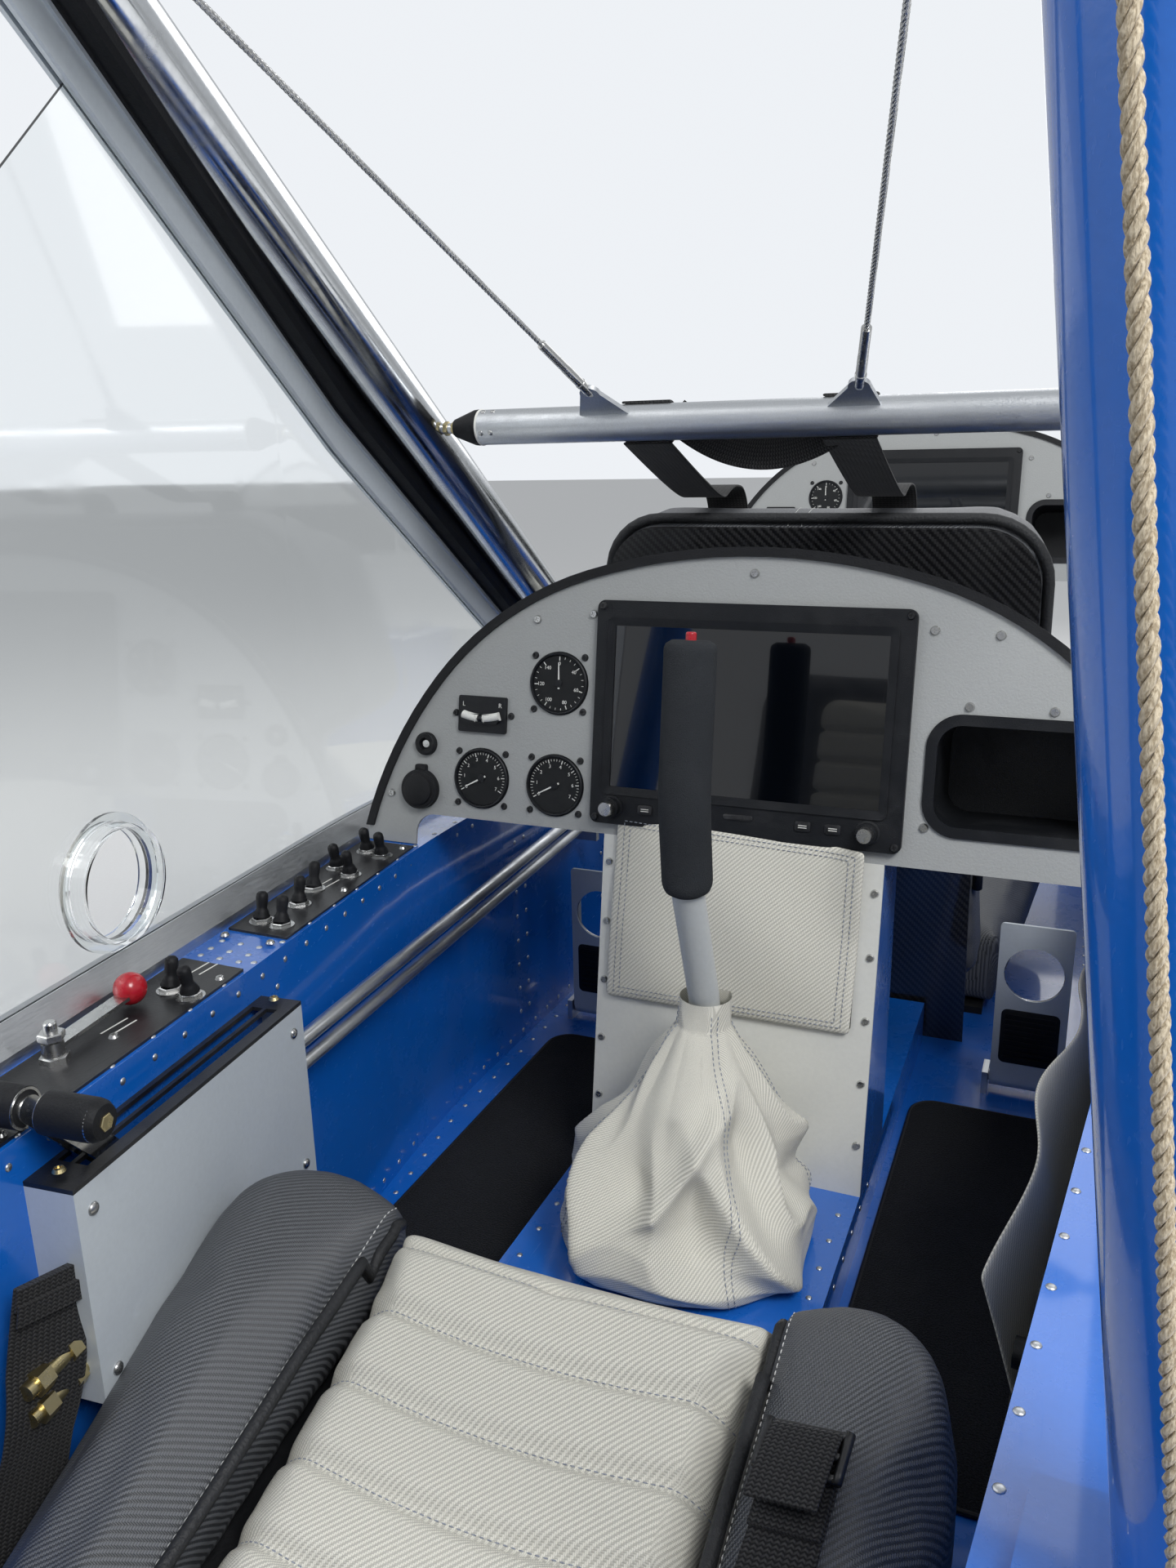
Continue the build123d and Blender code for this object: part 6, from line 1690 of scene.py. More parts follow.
class Harness(Straps):
    """The belts in their places."""

    left_corners: tuple[Triple, ...] = ((-0.240, -0.553, 0.256), (-0.243, -0.560, 0.222),
                                        (-0.236, -0.572, 0.185), (-0.242, -0.588, 0.140),
                                        (-0.238, -0.604, 0.100), (-0.232, -0.622, 0.070))

    def build(self, back: BVHTree, bolsters: Sequence[BVHTree]) -> None:
        """Lay every belt, and the adjuster."""
        for name, across in (("shoulder_belt_left", -0.113), ("shoulder_belt_right", 0.066)):
            path = []
            for angle in np.linspace(100, -90, 16):
                turn = math.radians(angle)
                bar = Vector((across, *HarnessBar.axis))
                path.append(bar + Vector((0, math.cos(turn), math.sin(turn))) * 0.0175)
            raw = path[-1:] + [BACK.at(SEAT_PITCH, across, up, out) for up, out in
                               ((0.572, -0.082), (0.577, -0.055), (0.577, -0.03), (0.566, 0.0), (0.53, 0.012),
                                (0.42, 0.012), (0.30, 0.012), (0.215, 0.012))]
            run = self.smooth_path(raw, 110, 3)
            run = run[:2] + clear_of(back, run[2:], 0.0022)
            for _ in range(3):
                run = [run[0]] + [(a + b * 2 + c) / 4 for a, b, c in zip(run, run[1:], run[2:])] + [run[-1]]
            belt = self.strip(name, path + run[1:], Vector((1, 0, 0)))
            settle(belt, "root", "webbing", "shoulder_belts")
            self.declare(belt, "hung", ["harness_bar"])
        ends = np.linspace(-0.095, 0.075, 40)
        slack = [Vector((x, 0.0934, 0.726 - 0.036 * (1 - ((x + 0.01) / 0.085) ** 2))) for x in ends]
        link = self.strip("slack_strap", slack, Vector((0, 0.35, 1)), 0.030)
        settle(link, "root", "webbing", "shoulder_belts")
        self.declare(link, "hung", ["harness_bar"], 0.030)
        self.lap_left(bolsters[0])
        self.lap_right(bolsters[1])

    def declare(self, belt: bpy.types.Object, held: str, rests: list[str],
                width: float | None = None) -> None:
        """Read the lengths along a belt's cloth coordinates; nothing is kept."""
        flat = [item.uv[1] for item in belt.data.uv_layers["cloth"].data]

    def lap_left(self, skin: BVHTree) -> None:
        """Belt that hangs between the cushion and the wall, with a hem folded twice at its end."""
        corners = [Vector(corner) for corner in self.left_corners]
        run = clear_of(skin, self.smooth_path(corners, 60, 3), 0.002)
        ways = [Vector((0.10, 1, 0.25))] * len(run)
        belt = self.strip("lap_belt_left", run, ways, 0.048)
        settle(belt, "root", "webbing", "lap_belts")
        self.declare(belt, "hung", ["seat_cushions"], 0.048)
        for index, (start, end) in enumerate(((0, 4), (2, 6))):
            tab = [point + Vector((0.0024 * (index + 1), 0, 0)) for point in run[start:end]]
            hem = self.strip(f"lap_belt_hem_{index}", tab, ways[0], 0.0485)
            settle(hem, "root", "webbing")
            self.declare(hem, "folded", ["lap_belt_left"], 0.0485)

    def lap_right(self, skin: BVHTree) -> None:
        """Belt with its adjuster on the right bolster."""
        side = Vector((1, 0.2, 0.35))
        run = []
        for x, y in zip(np.linspace(0.172, 0.150, 50), np.linspace(-0.478, -0.78, 50)):
            hit = skin.ray_cast(Vector((x, y, 0.3)), DOWN)[0]
            if hit is not None:
                run.append(hit + UP * 0.0026)
        belt = self.strip("lap_belt_right", run, side, 0.038)
        settle(belt, "root", "webbing", "lap_belts")
        self.declare(belt, "draped", ["seat_cushions"], 0.038)
        start = run[0]
        ahead = (run[0] - run[6]).normalized()
        side = (side - ahead * side.dot(ahead)).normalized()
        up = side.cross(ahead)
        loop = []
        for share in np.linspace(0, 1, 30):
            turn = math.pi * share
            loop.append(start - ahead * 0.034 * (1 - math.sin(turn)) * (1 if share < 0.5 else 0.8)
                        + ahead * 0.015 * math.sin(turn) + up * (0.003 + 0.006 * (1 - math.cos(turn))))
        fold = self.strip("lap_belt_fold", loop, side, 0.038)
        settle(fold, "root", "webbing")
        self.declare(fold, "folded", ["lap_belt_right"], 0.038)
        shape = Shape()
        base = start + up * 0.0085 + ahead * 0.004
        for reach in (-0.011, 0.0, 0.011):
            shape.tube([base + ahead * reach + side * across for across in np.linspace(-0.0215, 0.0215, 8)],
                       0.0022, 10)
        for across in (-0.0215, 0.0215):
            shape.tube([base + side * across + ahead * reach for reach in np.linspace(-0.013, 0.013, 6)],
                       0.0026, 10)
        settle(shape.piece("lap_adjuster", BLACK), "root", "webbing")


class Pockets:
    """The pedestal's map pocket and the pocket on the right wall."""

    def build(self) -> None:
        """Sew both pockets."""
        self.pedestal()
        self.wall()

    def cloth(self, name: str, rows: Sequence[Sequence[Vector]], thickness: float,
              spots: Callable[[int, int], Pair]) -> bpy.types.Object:
        """Thick cloth through rows of points, with its own coordinates."""
        shape = Shape()
        shape.sheet(rows)
        across = len(rows[0])
        data = bpy.data.meshes.new(name)
        shape.mesh.to_mesh(data)
        shape.mesh.free()
        lay_cloth(data, [spots(*divmod(index, across)) for index in range(len(data.vertices))])
        data.materials.append(SILVER_VINYL.material())
        thing = placed(name, data)
        solid = thing.modifiers.new("thickness", "SOLIDIFY")
        solid.thickness = thickness
        solid.offset = 0.0
        rounds = thing.modifiers.new("rounds", "SUBSURF")
        rounds.levels = 1
        rounds.render_levels = 1
        baked(thing)
        thing.data.shade_smooth()
        return thing

    def pedestal(self) -> None:
        """Flat pocket with a stitched border, bowed a little by what it holds."""

        def at(s: float, t: float, lift: float = 0.0) -> Vector:
            """Place on the pocket by its shares of width and height."""
            across = (s - 0.5) * 0.222 - 0.004 * (1 - t)
            rise = -0.258 + t * 0.155 + (0.010 * (1 - s) + 0.004) * t
            bow = 0.007 * math.sin(math.pi * s) * math.sin(math.pi * t) ** 0.7
            curl = 0.010 * max(0.0, s - 0.86) / 0.14 * max(0.0, t - 0.5) * 2
            ripple = 0.0016 * math.sin(9 * s + 5 * t)
            return PANEL.at(across, rise, 0.004 + bow + curl + ripple * math.sin(math.pi * t) + lift)

        rows = [[at(i / 30, j / 22) for i in range(31)] for j in range(23)]
        thing = self.cloth("pedestal_map_pocket", rows, 0.0030, lambda j, i: (i / 30 * 0.222, j / 22 * 0.160))
        settle(thing, "root", "silver_vinyl", "pedestal_pocket")
        lines = []
        for inset in (0.035, 0.060):
            far = 1 - inset
            loop = [(inset, inset), (far, inset), (far, far), (inset, far), (inset, inset)]
            points = []
            for (s0, t0), (s1, t1) in zip(loop, loop[1:]):
                points += [at(s0 + (s1 - s0) * k / 24, t0 + (t1 - t0) * k / 24, 0.0019) for k in range(25)]
            lines.append(points)
        Stitching().sew("pocket_stitches", lines, THREAD, slot="silver_vinyl")
        back = Shape()
        outline = [(x, y - 0.181) for x, y in rounded(0.214, 0.150, 0.004, 2)]
        back.slab(outline, PANEL.matrix(0, 0, 0.0004), 0, 0.002)
        settle(back.piece("pocket_backing", RUBBER), "root", "silver_vinyl", "pedestal_pocket")

    def wall(self) -> None:
        """Hanging pocket with a doubled hem along its open top."""

        def at(s: float, t: float, lift: float = 0.0) -> Vector:
            """Place by shares of length and height, s from the rear end."""
            station = -0.345 + s * 0.52
            out = 0.004 + 0.034 * t ** 1.2 * math.sin(math.pi * min(1.0, 0.16 + 0.84 * s)) ** 0.5
            out += 0.006 * t * math.sin(16 * s + 2) + 0.010 * max(0.0, 0.18 - s) / 0.18 * t
            height = 0.150 + 0.112 * t - 0.05 * max(0.0, 0.20 - s) / 0.20 * (1 - 0.55 * t)
            height += 0.004 * math.sin(7 * s) * t
            return TUB.on_wall(1, station, height, out + lift)

        rows = [[at(i / 60, j / 20) for i in range(61)] for j in range(21)]
        thing = self.cloth("wall_map_pocket", rows, 0.0026, lambda j, i: (i / 60 * 0.52, j / 20 * 0.13))
        settle(thing, "root", "silver_vinyl", "wall_pocket")
        lines = [[at(i / 60, t, 0.0016) for i in range(1, 60)] for t in (0.90, 0.84)]
        lines.append([at(0.012, j / 20, 0.0016) for j in range(1, 20)])
        Stitching().sew("wall_pocket_stitches", lines, THREAD, slot="silver_vinyl")
        lining = Shape()
        rows = [[TUB.on_wall(1, -0.34 + 0.5 * i / 20, 0.150 + 0.10 * j / 4, 0.0012) for i in range(21)]
                for j in range(5)]
        lining.sheet(rows)
        settle(lining.piece("wall_pocket_lining", LINING, outward=False), "root", "silver_vinyl",
               "wall_pocket")


class FloorMats:
    """Two trodden mats with bound edges."""

    def build(self) -> None:
        """Lay both mats."""
        outline = rounded(0.145, 0.505, 0.025, 6)
        for side, name in ((-1, "mat_left"), (1, "mat_right")):
            frame = Matrix.Translation((side * 0.2075, -0.0475, TUB.floor + 0.0004))
            shape = Shape()
            shape.slab(outline, frame, 0, 0.0034, 0.0012)
            mat = shape.piece(name, MAT)
            settle(mat, "root", "mat_fabric", "floor_mats")
            binding = Shape()
            loop = [frame @ Vector((x, y, 0.0022)) for x, y in outline]
            binding.tube(loop + loop[:1], 0.0020, 8)
            settle(sharpen(binding.piece(name + "_binding", RUBBER)), "root", "mat_fabric")


def dress_tub() -> None:
    """Set the rows of rivets on walls, decks, tunnel and floor."""
    rows: list[tuple[Vector, Vector]] = []
    for side in (-1, 1):
        for station in np.arange(-1.0, 1.28, 0.032):
            normal = TUB.wall_normal(side, station)
            rows.append((TUB.on_wall(side, station, 0.317), normal))
            rows.append((TUB.on_wall(side, station, 0.034), normal))
            rows.append((Vector((side * (TUB.inner(station) - 0.012), station, 0.024)), Vector((0, 0, 1))))
        for station in (-0.30, -0.02, 0.18, 0.42, 0.84):
            for height in np.arange(0.06, 0.31, 0.030):
                for shift in (0.0, 0.022):
                    rows.append((TUB.on_wall(side, station + shift, height), TUB.wall_normal(side, station)))
        for station in np.arange(-0.34, -0.01, 0.036):
            rows.append((Vector((side * 0.113, station, TUB.tunnel)), Vector((0, 0, 1))))
            rows.append((Vector((side * 0.137, station, 0.024)), Vector((0, 0, 1))))
            rows.append((Vector((side * 0.125, station, 0.060)), Vector((side, 0, 0))))
    for x in np.arange(-0.105, 0.106, 0.035):
        rows.append((Vector((x, -0.342, TUB.tunnel)), Vector((0, 0, 1))))
    Fasteners(Head.RIVET).set("tub_rivets", rows, SATIN, 0.0026, 0.0011, slot="satin_aluminium", segments=10)
    pedestal = []
    for side in (-1, 1):
        for rise in (-0.135, -0.190, -0.245, -0.300, -0.355):
            pedestal.append((PANEL.at(side * 0.119, rise), PANEL.normal))
    Fasteners(Head.CROSS_SCREW).set("pedestal_screws", pedestal, STEEL, 0.0036, 0.0018, segments=20)


def write_on(shape: Shape, text: str, frame: Matrix, size: float) -> None:
    """Add flat lettering, centred on a frame, to a shape."""
    curve = bpy.data.curves.new("lettering", "FONT")
    curve.body = text
    curve.size = size
    curve.align_x = "CENTER"
    curve.align_y = "CENTER"
    curve.resolution_u = 3
    curve.extrude = 0.00008
    thing = placed("lettering", curve)
    graph = bpy.context.evaluated_depsgraph_get()
    data = bpy.data.meshes.new_from_object(thing.evaluated_get(graph))
    data.transform(frame)
    shape.mesh.from_mesh(data)
    bpy.data.objects.remove(thing)
    bpy.data.meshes.remove(data)


@dataclass(frozen=True)
class Dial:
    """Face of one round gauge: its place, scale, numbers and needle."""

    across: float
    rise: float
    numbers: tuple[str, ...]
    first: float
    last: float
    between: int
    needle: float

    def angle(self, share: float) -> float:
        """Angle of a share of the scale, measured anticlockwise from up, in radians."""
        return math.radians(self.first + share * (self.last - self.first))


class InstrumentPanel:
    """Faces and fittings of one instrument panel."""

    dials: tuple[Dial, ...] = (
        Dial(-0.1755, 0.023, ("0", "40", "60", "80", "100", "120", "140"), 0.0, -320.0, 4, 2.0),
        Dial(-0.252, -0.0705, ("0", "1", "2", "3", "4", "5", "6", "7"), 120.0, -120.0, 5, 118.0),
        Dial(-0.176, -0.0705, ("0", "1", "2", "3", "4", "5", "6", "7"), 120.0, -120.0, 5, 118.0))
    bezel: float = 0.0282
    face: float = 0.0258
    knobs: tuple[Pair, ...] = ((-0.1166, -0.084), (0.1103, -0.084))
    buttons: tuple[Pair, ...] = ((-0.0846, -0.084), (0.0565, -0.084), (0.0819, -0.084))

    def __init__(self, frame: PanelFrame, tail: str) -> None:
        """Dress one panel, with a tail on the names of its pieces."""
        self.frame = frame
        self.tail = tail

    def build(self) -> None:
        """Make the faces, marks, caps and screws."""
        self.gauges()
        self.display()
        self.slip()
        self.sockets()
        self.screws()

    def keep(self, shape: Shape, name: str, finish: Finish, slot: str, *nodes: str) -> None:
        """Finish a shape as a piece of this panel."""
        settle(sharpen(shape.piece(name + self.tail, finish)), "root", slot, *nodes)

    def gauges(self) -> None:
        """Dial faces with bezels, scales and needles."""
        faces, rings, marks = Shape(), Shape(), Shape()
        for dial in self.dials:
            frame = self.frame.matrix(dial.across, dial.rise, -0.0004)
            rings.lathe([(self.face - 0.0004, 0.0), (self.bezel, 0.0), (self.bezel, 0.0026),
                         (self.bezel - 0.0008, 0.0032), (self.face + 0.0004, 0.0030),
                         (self.face - 0.0004, 0.0008)], frame, 48)
            frame = frame @ Matrix.Translation((0, 0, 0.0009))
            rim = self.face - 0.0006
            faces.lathe([(0.0, 0.0), (rim, 0.0), (rim, 0.0002), (0.0, 0.0002)], frame, 48)
            count = (len(dial.numbers) - 1) * dial.between
            for index in range(count + 1):
                turn = Matrix.Rotation(dial.angle(index / count), 4, "Z")
                main = index % dial.between == 0
                length, width = (0.0036, 0.0008) if main else (0.0020, 0.0004)
                tick = [(-width / 2, -length), (width / 2, -length), (width / 2, 0), (-width / 2, 0)]
                raised = frame @ turn @ Matrix.Translation((0, self.face - 0.0014, 0))
                marks.slab(tick, raised, 0.0002, 0.0004)
            for index, number in enumerate(dial.numbers):
                angle = dial.angle(index / (len(dial.numbers) - 1))
                reach = self.face - 0.0078
                spot = Matrix.Translation((-reach * math.sin(angle), reach * math.cos(angle), 0.0003))
                write_on(marks, number, frame @ spot, 0.0046)
            turn = Matrix.Rotation(math.radians(dial.needle), 4, "Z")
            marks.slab([(-0.0009, -0.005), (0.0009, -0.005), (0.0004, 0.019), (-0.0004, 0.019)], frame @ turn,
                       0.0007, 0.0010)
            rings.lathe([(0.0, 0.0005), (0.0036, 0.0005), (0.0036, 0.0013), (0.0, 0.0016)], frame, 24)
        self.keep(faces, "gauge_faces", DIAL, "black_plastic")
        self.keep(rings, "gauge_bezels", PLASTIC, "black_plastic")
        self.keep(marks, "gauge_marks", DIAL_MARK, "black_plastic")

    def display(self) -> None:
        """Frame of the screen, knob caps, buttons and card slot."""
        rim, caps, keys = Shape(), Shape(), Shape()
        outer, inner = rounded(0.252, 0.157, 0.006, 4), rounded(0.2376, 0.1426, 0.001, 4)
        frame = self.frame.matrix(-0.001, 0.006, 0.006)
        rings = []
        for outline, lift in ((outer, 0.0), (outer, 0.0016), (inner, 0.0006), (inner, -0.0012)):
            rings.append(rim.ring(frame @ Vector((x, y, lift)) for x, y in outline))
        rim.skin(rings, caps=False)
        for place in self.knobs:
            spot = self.frame.matrix(*place, 0.006)
            caps.lathe([(0.0062, 0.0078), (0.0066, 0.009), (0.0066, 0.0164), (0.0058, 0.0182),
                        (0.0, 0.0184)], spot, 32)
            rim.lathe([(0.0105, 0.0), (0.0105, 0.0012), (0.0088, 0.0016), (0.0088, 0.008),
                       (0.0, 0.0082)], spot, 32)
        for place in self.buttons:
            spot = self.frame.matrix(*place, 0.006)
            keys.slab(rounded(0.0134, 0.0084, 0.002, 3), spot, 0, 0.0016, 0.0003)
        slot = self.frame.matrix(0, -0.082, 0.006)
        keys.slab(rounded(0.026, 0.0044, 0.002, 3), slot, 0, 0.0009, 0.0003)
        keys.slab(rounded(0.012, 0.0024, 0.001, 3), slot, 0.0009, 0.0013)
        self.keep(rim, "display_frame", PLASTIC, "black_plastic")
        self.keep(caps, "display_knobs", STEEL, "black_plastic")
        self.keep(keys, "display_keys", BLACK, "black_plastic")
        labels = Shape()
        for place in self.buttons:
            spot = self.frame.matrix(*place, 0.0077)
            for rise in (-0.0009, 0.0009):
                labels.slab([(-0.0036, rise - 0.0003), (0.0036, rise - 0.0003), (0.0036, rise + 0.0003),
                             (-0.0036, rise + 0.0003)], spot, 0, 0.0002)
        self.keep(labels, "display_labels", DIAL_MARK, "black_plastic")

    def slip(self) -> None:
        """Curved tube with its ball."""
        tube, ball, marks = Shape(), Shape(), Shape()
        points = []
        for share in np.linspace(-1, 1, 25):
            points.append(self.frame.at(-0.252 + 0.019 * share, -0.0135 + 0.003 * share ** 2, 0.0046))
        tube.tube(points, 0.0040, 16)
        self.keep(tube, "slip_tube", DIAL_MARK, "black_plastic")
        centre = self.frame.at(-0.252, -0.0135, 0.0060)
        ball.lathe([(0.0, -0.0040), (0.0028, -0.0028), (0.0040, 0.0), (0.0028, 0.0028), (0.0, 0.0040)],
                   Matrix.Translation(centre), 20)
        self.keep(ball, "slip_ball", PLASTIC, "black_plastic")
        for side, letter in ((-1, "L"), (1, "R")):
            write_on(marks, letter, self.frame.matrix(-0.252 + side * 0.019, -0.001, 0.0038), 0.006)
            points = [self.frame.at(-0.252 + side * 0.0046, -0.0135 + rise, 0.0088)
                      for rise in (-0.0035, 0.0035)]
            marks.tube(points, 0.0004, 6)
        self.keep(marks, "slip_marks", DIAL_MARK, "black_plastic")

    def sockets(self) -> None:
        """Rims of the jack and of the power socket with its cap."""
        rims = Shape()
        jack, power = self.frame.matrix(-0.312, -0.042), self.frame.matrix(-0.3165, -0.086)
        rims.lathe([(0.0112, 0.0), (0.0112, 0.003), (0.0095, 0.0048), (0.0062, 0.0048),
                    (0.0058, 0.001)], jack, 32)
        rims.lathe([(0.0192, 0.0), (0.0192, 0.005), (0.0175, 0.0076), (0.0150, 0.0080), (0.0146, 0.0098),
                    (0.0128, 0.0106), (0.0, 0.0108)], power, 40)
        rims.slab(rounded(0.012, 0.008, 0.002, 3), self.frame.matrix(-0.3165, -0.066), 0, 0.005, 0.001)
        self.keep(rims, "socket_rims", RUBBER, "black_plastic")
        note = Shape()
        note.lathe([(0.0, 0.0), (0.0036, 0.0), (0.0036, 0.0022), (0.0, 0.0024)], jack, 20)
        self.keep(note, "jack_contact", STEEL, "black_plastic")

    def screws(self) -> None:
        """Screws round the display, the gauges and the panel's edge."""
        normal = self.frame.normal
        bright = [(0.001, 0.125), (-0.199, 0.080), (-0.144, 0.0865), (-0.350, -0.093), (0.151, 0.083),
                  (0.201, 0.081), (0.182, 0.024), (0.245, 0.024), (0.154, -0.076)]
        places = [(self.frame.at(*spot), normal) for spot in bright]
        Fasteners(Head.CROSS_SCREW).set("panel_screws" + self.tail, places, STEEL, 0.0040, 0.0022,
                                        segments=20)
        black = [(dial.across + i * 0.0245, dial.rise + j * 0.0245) for dial in self.dials
                 for i in (-1, 1) for j in (-1, 1)]
        black += [(-0.252 + side * 0.0290, -0.010) for side in (-1, 1)]
        black += [(side * 0.1325, rise) for side in (-1, 1) for rise in (-0.094, 0.094)]
        lift = [0.006 if abs(spot[0]) < 0.14 else 0.0 for spot in black]
        places = [(self.frame.at(*spot, up), normal) for spot, up in zip(black, lift)]
        Fasteners(Head.CROSS_SCREW).set("gauge_screws" + self.tail, places, BLACK, 0.0034, 0.0022,
                                        slot="black_plastic", segments=20)


class Deck:
    """Toggles, latch knob and screws on the left deck."""

    top: float = 0.331
    toggles: tuple[Pair, ...] = ((0.045, -0.055), (0.065, -0.062), (0.040, -0.105), (0.061, -0.117),
                                 (0.047, -0.158), (0.054, -0.193), (0.043, -0.234), (0.064, -0.236),
                                 (0.051, -0.363), (0.071, -0.366))
    boot: tuple[Pair, ...] = ((0.0068, 0.0), (0.0070, 0.0014), (0.0058, 0.0030), (0.0060, 0.0042),
                              (0.0048, 0.0060), (0.0042, 0.0082), (0.0046, 0.0110), (0.0049, 0.0165),
                              (0.0044, 0.0195), (0.0026, 0.0212), (0.0, 0.0216))
    knob: Pair = (0.040, -0.392)
    pivot: Pair = (0.043, -0.470)

    def spot(self, place: Pair, lift: float = 0.0) -> Vector:
        """Place from an inset from the outer skin and a station."""
        inset, station = place
        return Vector((inset - TUB.outer(station), station, self.top + lift))

    def build(self) -> None:
        """Dress the deck."""
        nuts, boots = Shape(), Shape()
        chance = random.Random(5)
        for place in self.toggles:
            base = Matrix.Translation(self.spot(place)) @ Matrix.Rotation(chance.uniform(0, 1), 4, "Z")
            nuts.lathe([(0.0102, 0.0), (0.0102, 0.0008), (0.0, 0.0008)], base, 28)
            nuts.lathe([(0.0082, 0.0008), (0.0082, 0.0030), (0.0074, 0.0036), (0.0, 0.0036)], base, 6)
            lean = math.radians(chance.choice((-11, -13, 12)))
            tilt = Matrix.Translation(self.spot(place, 0.0036)) @ Matrix.Rotation(lean, 4, "X")
            boots.lathe(self.boot, tilt, 20)
        settle(sharpen(nuts.piece("toggle_nuts", STEEL)), "root", "steel", "toggle_switches")
        settle(sharpen(boots.piece("toggle_boots", RUBBER), 50), "root", "steel", "toggle_switches")
        ball = Shape()
        profile = [(0.0114 * math.sin(math.pi * step / 16), -0.0114 * math.cos(math.pi * step / 16))
                   for step in range(17)]
        ball.lathe(profile, Matrix.Translation(self.spot(self.knob, 0.013)), 32)
        settle(ball.piece("latch_ball", RED), "root", "steel")
        lock = Shape()
        base = Matrix.Translation(self.spot(self.pivot))
        for low, high, radius in ((0.0, 0.004, 0.0095), (0.0155, 0.0195, 0.0085)):
            top = high + 0.0006
            lock.lathe([(radius, low), (radius, high), (radius * 0.9, top), (0.0, top)], base, 6)
        lock.lathe([(0.0042, 0.0), (0.0042, 0.026), (0.0034, 0.027), (0.0, 0.027)], base, 20)
        settle(sharpen(lock.piece("latch_nuts", STEEL)), "root", "steel")
        screws = [(self.spot(place), UP) for place in
                  ((0.030, -0.268), (0.074, -0.268), (0.030, -0.545), (0.074, -0.545), (0.030, -0.335),
                   (0.074, -0.335), (0.030, -0.035), (0.074, -0.035), (0.030, -0.150), (0.074, -0.150),
                   (0.058, -0.432), (0.058, -0.508))]
        Fasteners(Head.CROSS_SCREW).set("deck_screws", screws, STEEL, 0.0036, 0.0018, segments=20)
        rows = []
        for inset in (0.032, 0.050, 0.068):
            for station in (-0.275, -0.290, -0.303):
                rows.append((Vector((inset - TUB.outer(station), station, TUB.deck)), UP))
        for station in np.arange(-0.62, 0.55, 0.040):
            rows.append((Vector((0.080 - TUB.outer(station), station, TUB.deck)), UP))
            rows.append((Vector((TUB.outer(station) - 0.080, station, TUB.deck)), UP))
        Fasteners(Head.RIVET).set("deck_rivets", rows, SATIN, 0.0026, 0.0011, slot="satin_aluminium",
                                  segments=10)
        plate = Shape()
        for place, size in (((0.052, -0.420), 0.012), ((0.052, -0.325), 0.010), ((0.052, -0.140), 0.010)):
            middle = Matrix.Translation(self.spot(place)) @ Matrix.Rotation(math.pi / 2, 4, "Z")
            for row in (-0.004, 0.004):
                outline = [(-size, row - 0.0006), (size, row - 0.0006), (size, row + 0.0006),
                           (-size, row + 0.0006)]
                plate.slab(outline, middle, 0, 0.0002)
        settle(plate.piece("deck_legends", DIAL_MARK, smooth=False), "root", "black_paint")


class Throttle:
    """Rubber sleeves on the levers and screws on the box."""

    pivot: Triple = (-0.27698, -0.404, 0.185)
    tip: Pair = (-0.1369, 0.1632)

    def frame(self, along: float, rise: float, out: float, flip: bool = False) -> Matrix:
        """Frame on the box with local Z out of the wall, or into it."""
        inboard = TUB.wall_normal(-1, self.pivot[1])
        forward = Vector((-inboard.y, inboard.x, 0))
        up = Vector((0, 0, 1))
        spot = Vector(self.pivot) + forward * along + up * rise + inboard * out
        axis = -inboard if flip else inboard
        turn = Matrix((forward if not flip else -forward, up, axis)).transposed().to_4x4()
        return Matrix.Translation(spot) @ turn

    def build(self) -> None:
        """Fit the sleeves, their inserts and the screws."""
        sleeve = [(0.0105, 0.0), (0.0124, 0.0006), (0.0124, 0.030), (0.0118, 0.034), (0.0098, 0.0374),
                  (0.0060, 0.0382), (0.0, 0.0382)]
        for body, out, flip in (("throttle_left", 0.007, True), ("throttle_right", 0.022, False)):
            frame = self.frame(*self.tip, out, flip)
            rubber, insert = Shape(), Shape()
            rubber.lathe(sleeve, frame, 36)
            settle(sharpen(rubber.piece(body + "_sleeve", RUBBER), 40), body, "steel")
            insert.lathe([(0.0052, 0.0380), (0.0052, 0.0390), (0.0046, 0.0394), (0.0, 0.0394)], frame, 6)
            settle(sharpen(insert.piece(body + "_insert", BRASS)), body, "steel")
        face = [(-0.128, 0.098), (0.090, 0.098), (-0.128, -0.012), (0.090, -0.012)]
        places = []
        for along, rise in face:
            frame = self.frame(along, rise, 0.0342)
            places.append((frame.translation, Vector(frame.col[2][:3])))
        Fasteners(Head.BUTTON).set("throttle_box_screws", places, STEEL, 0.0042, 0.0024, segments=20)
        lid = []
        for along in (-0.131, 0.095):
            lid.append((self.frame(along, 0.1215, 0.017).translation, Vector((0, 0, 1))))
        Fasteners(Head.CROSS_SCREW).set("throttle_lid_screws", lid, BRASS, 0.0040, 0.0020, slot="brass",
                                        segments=20)


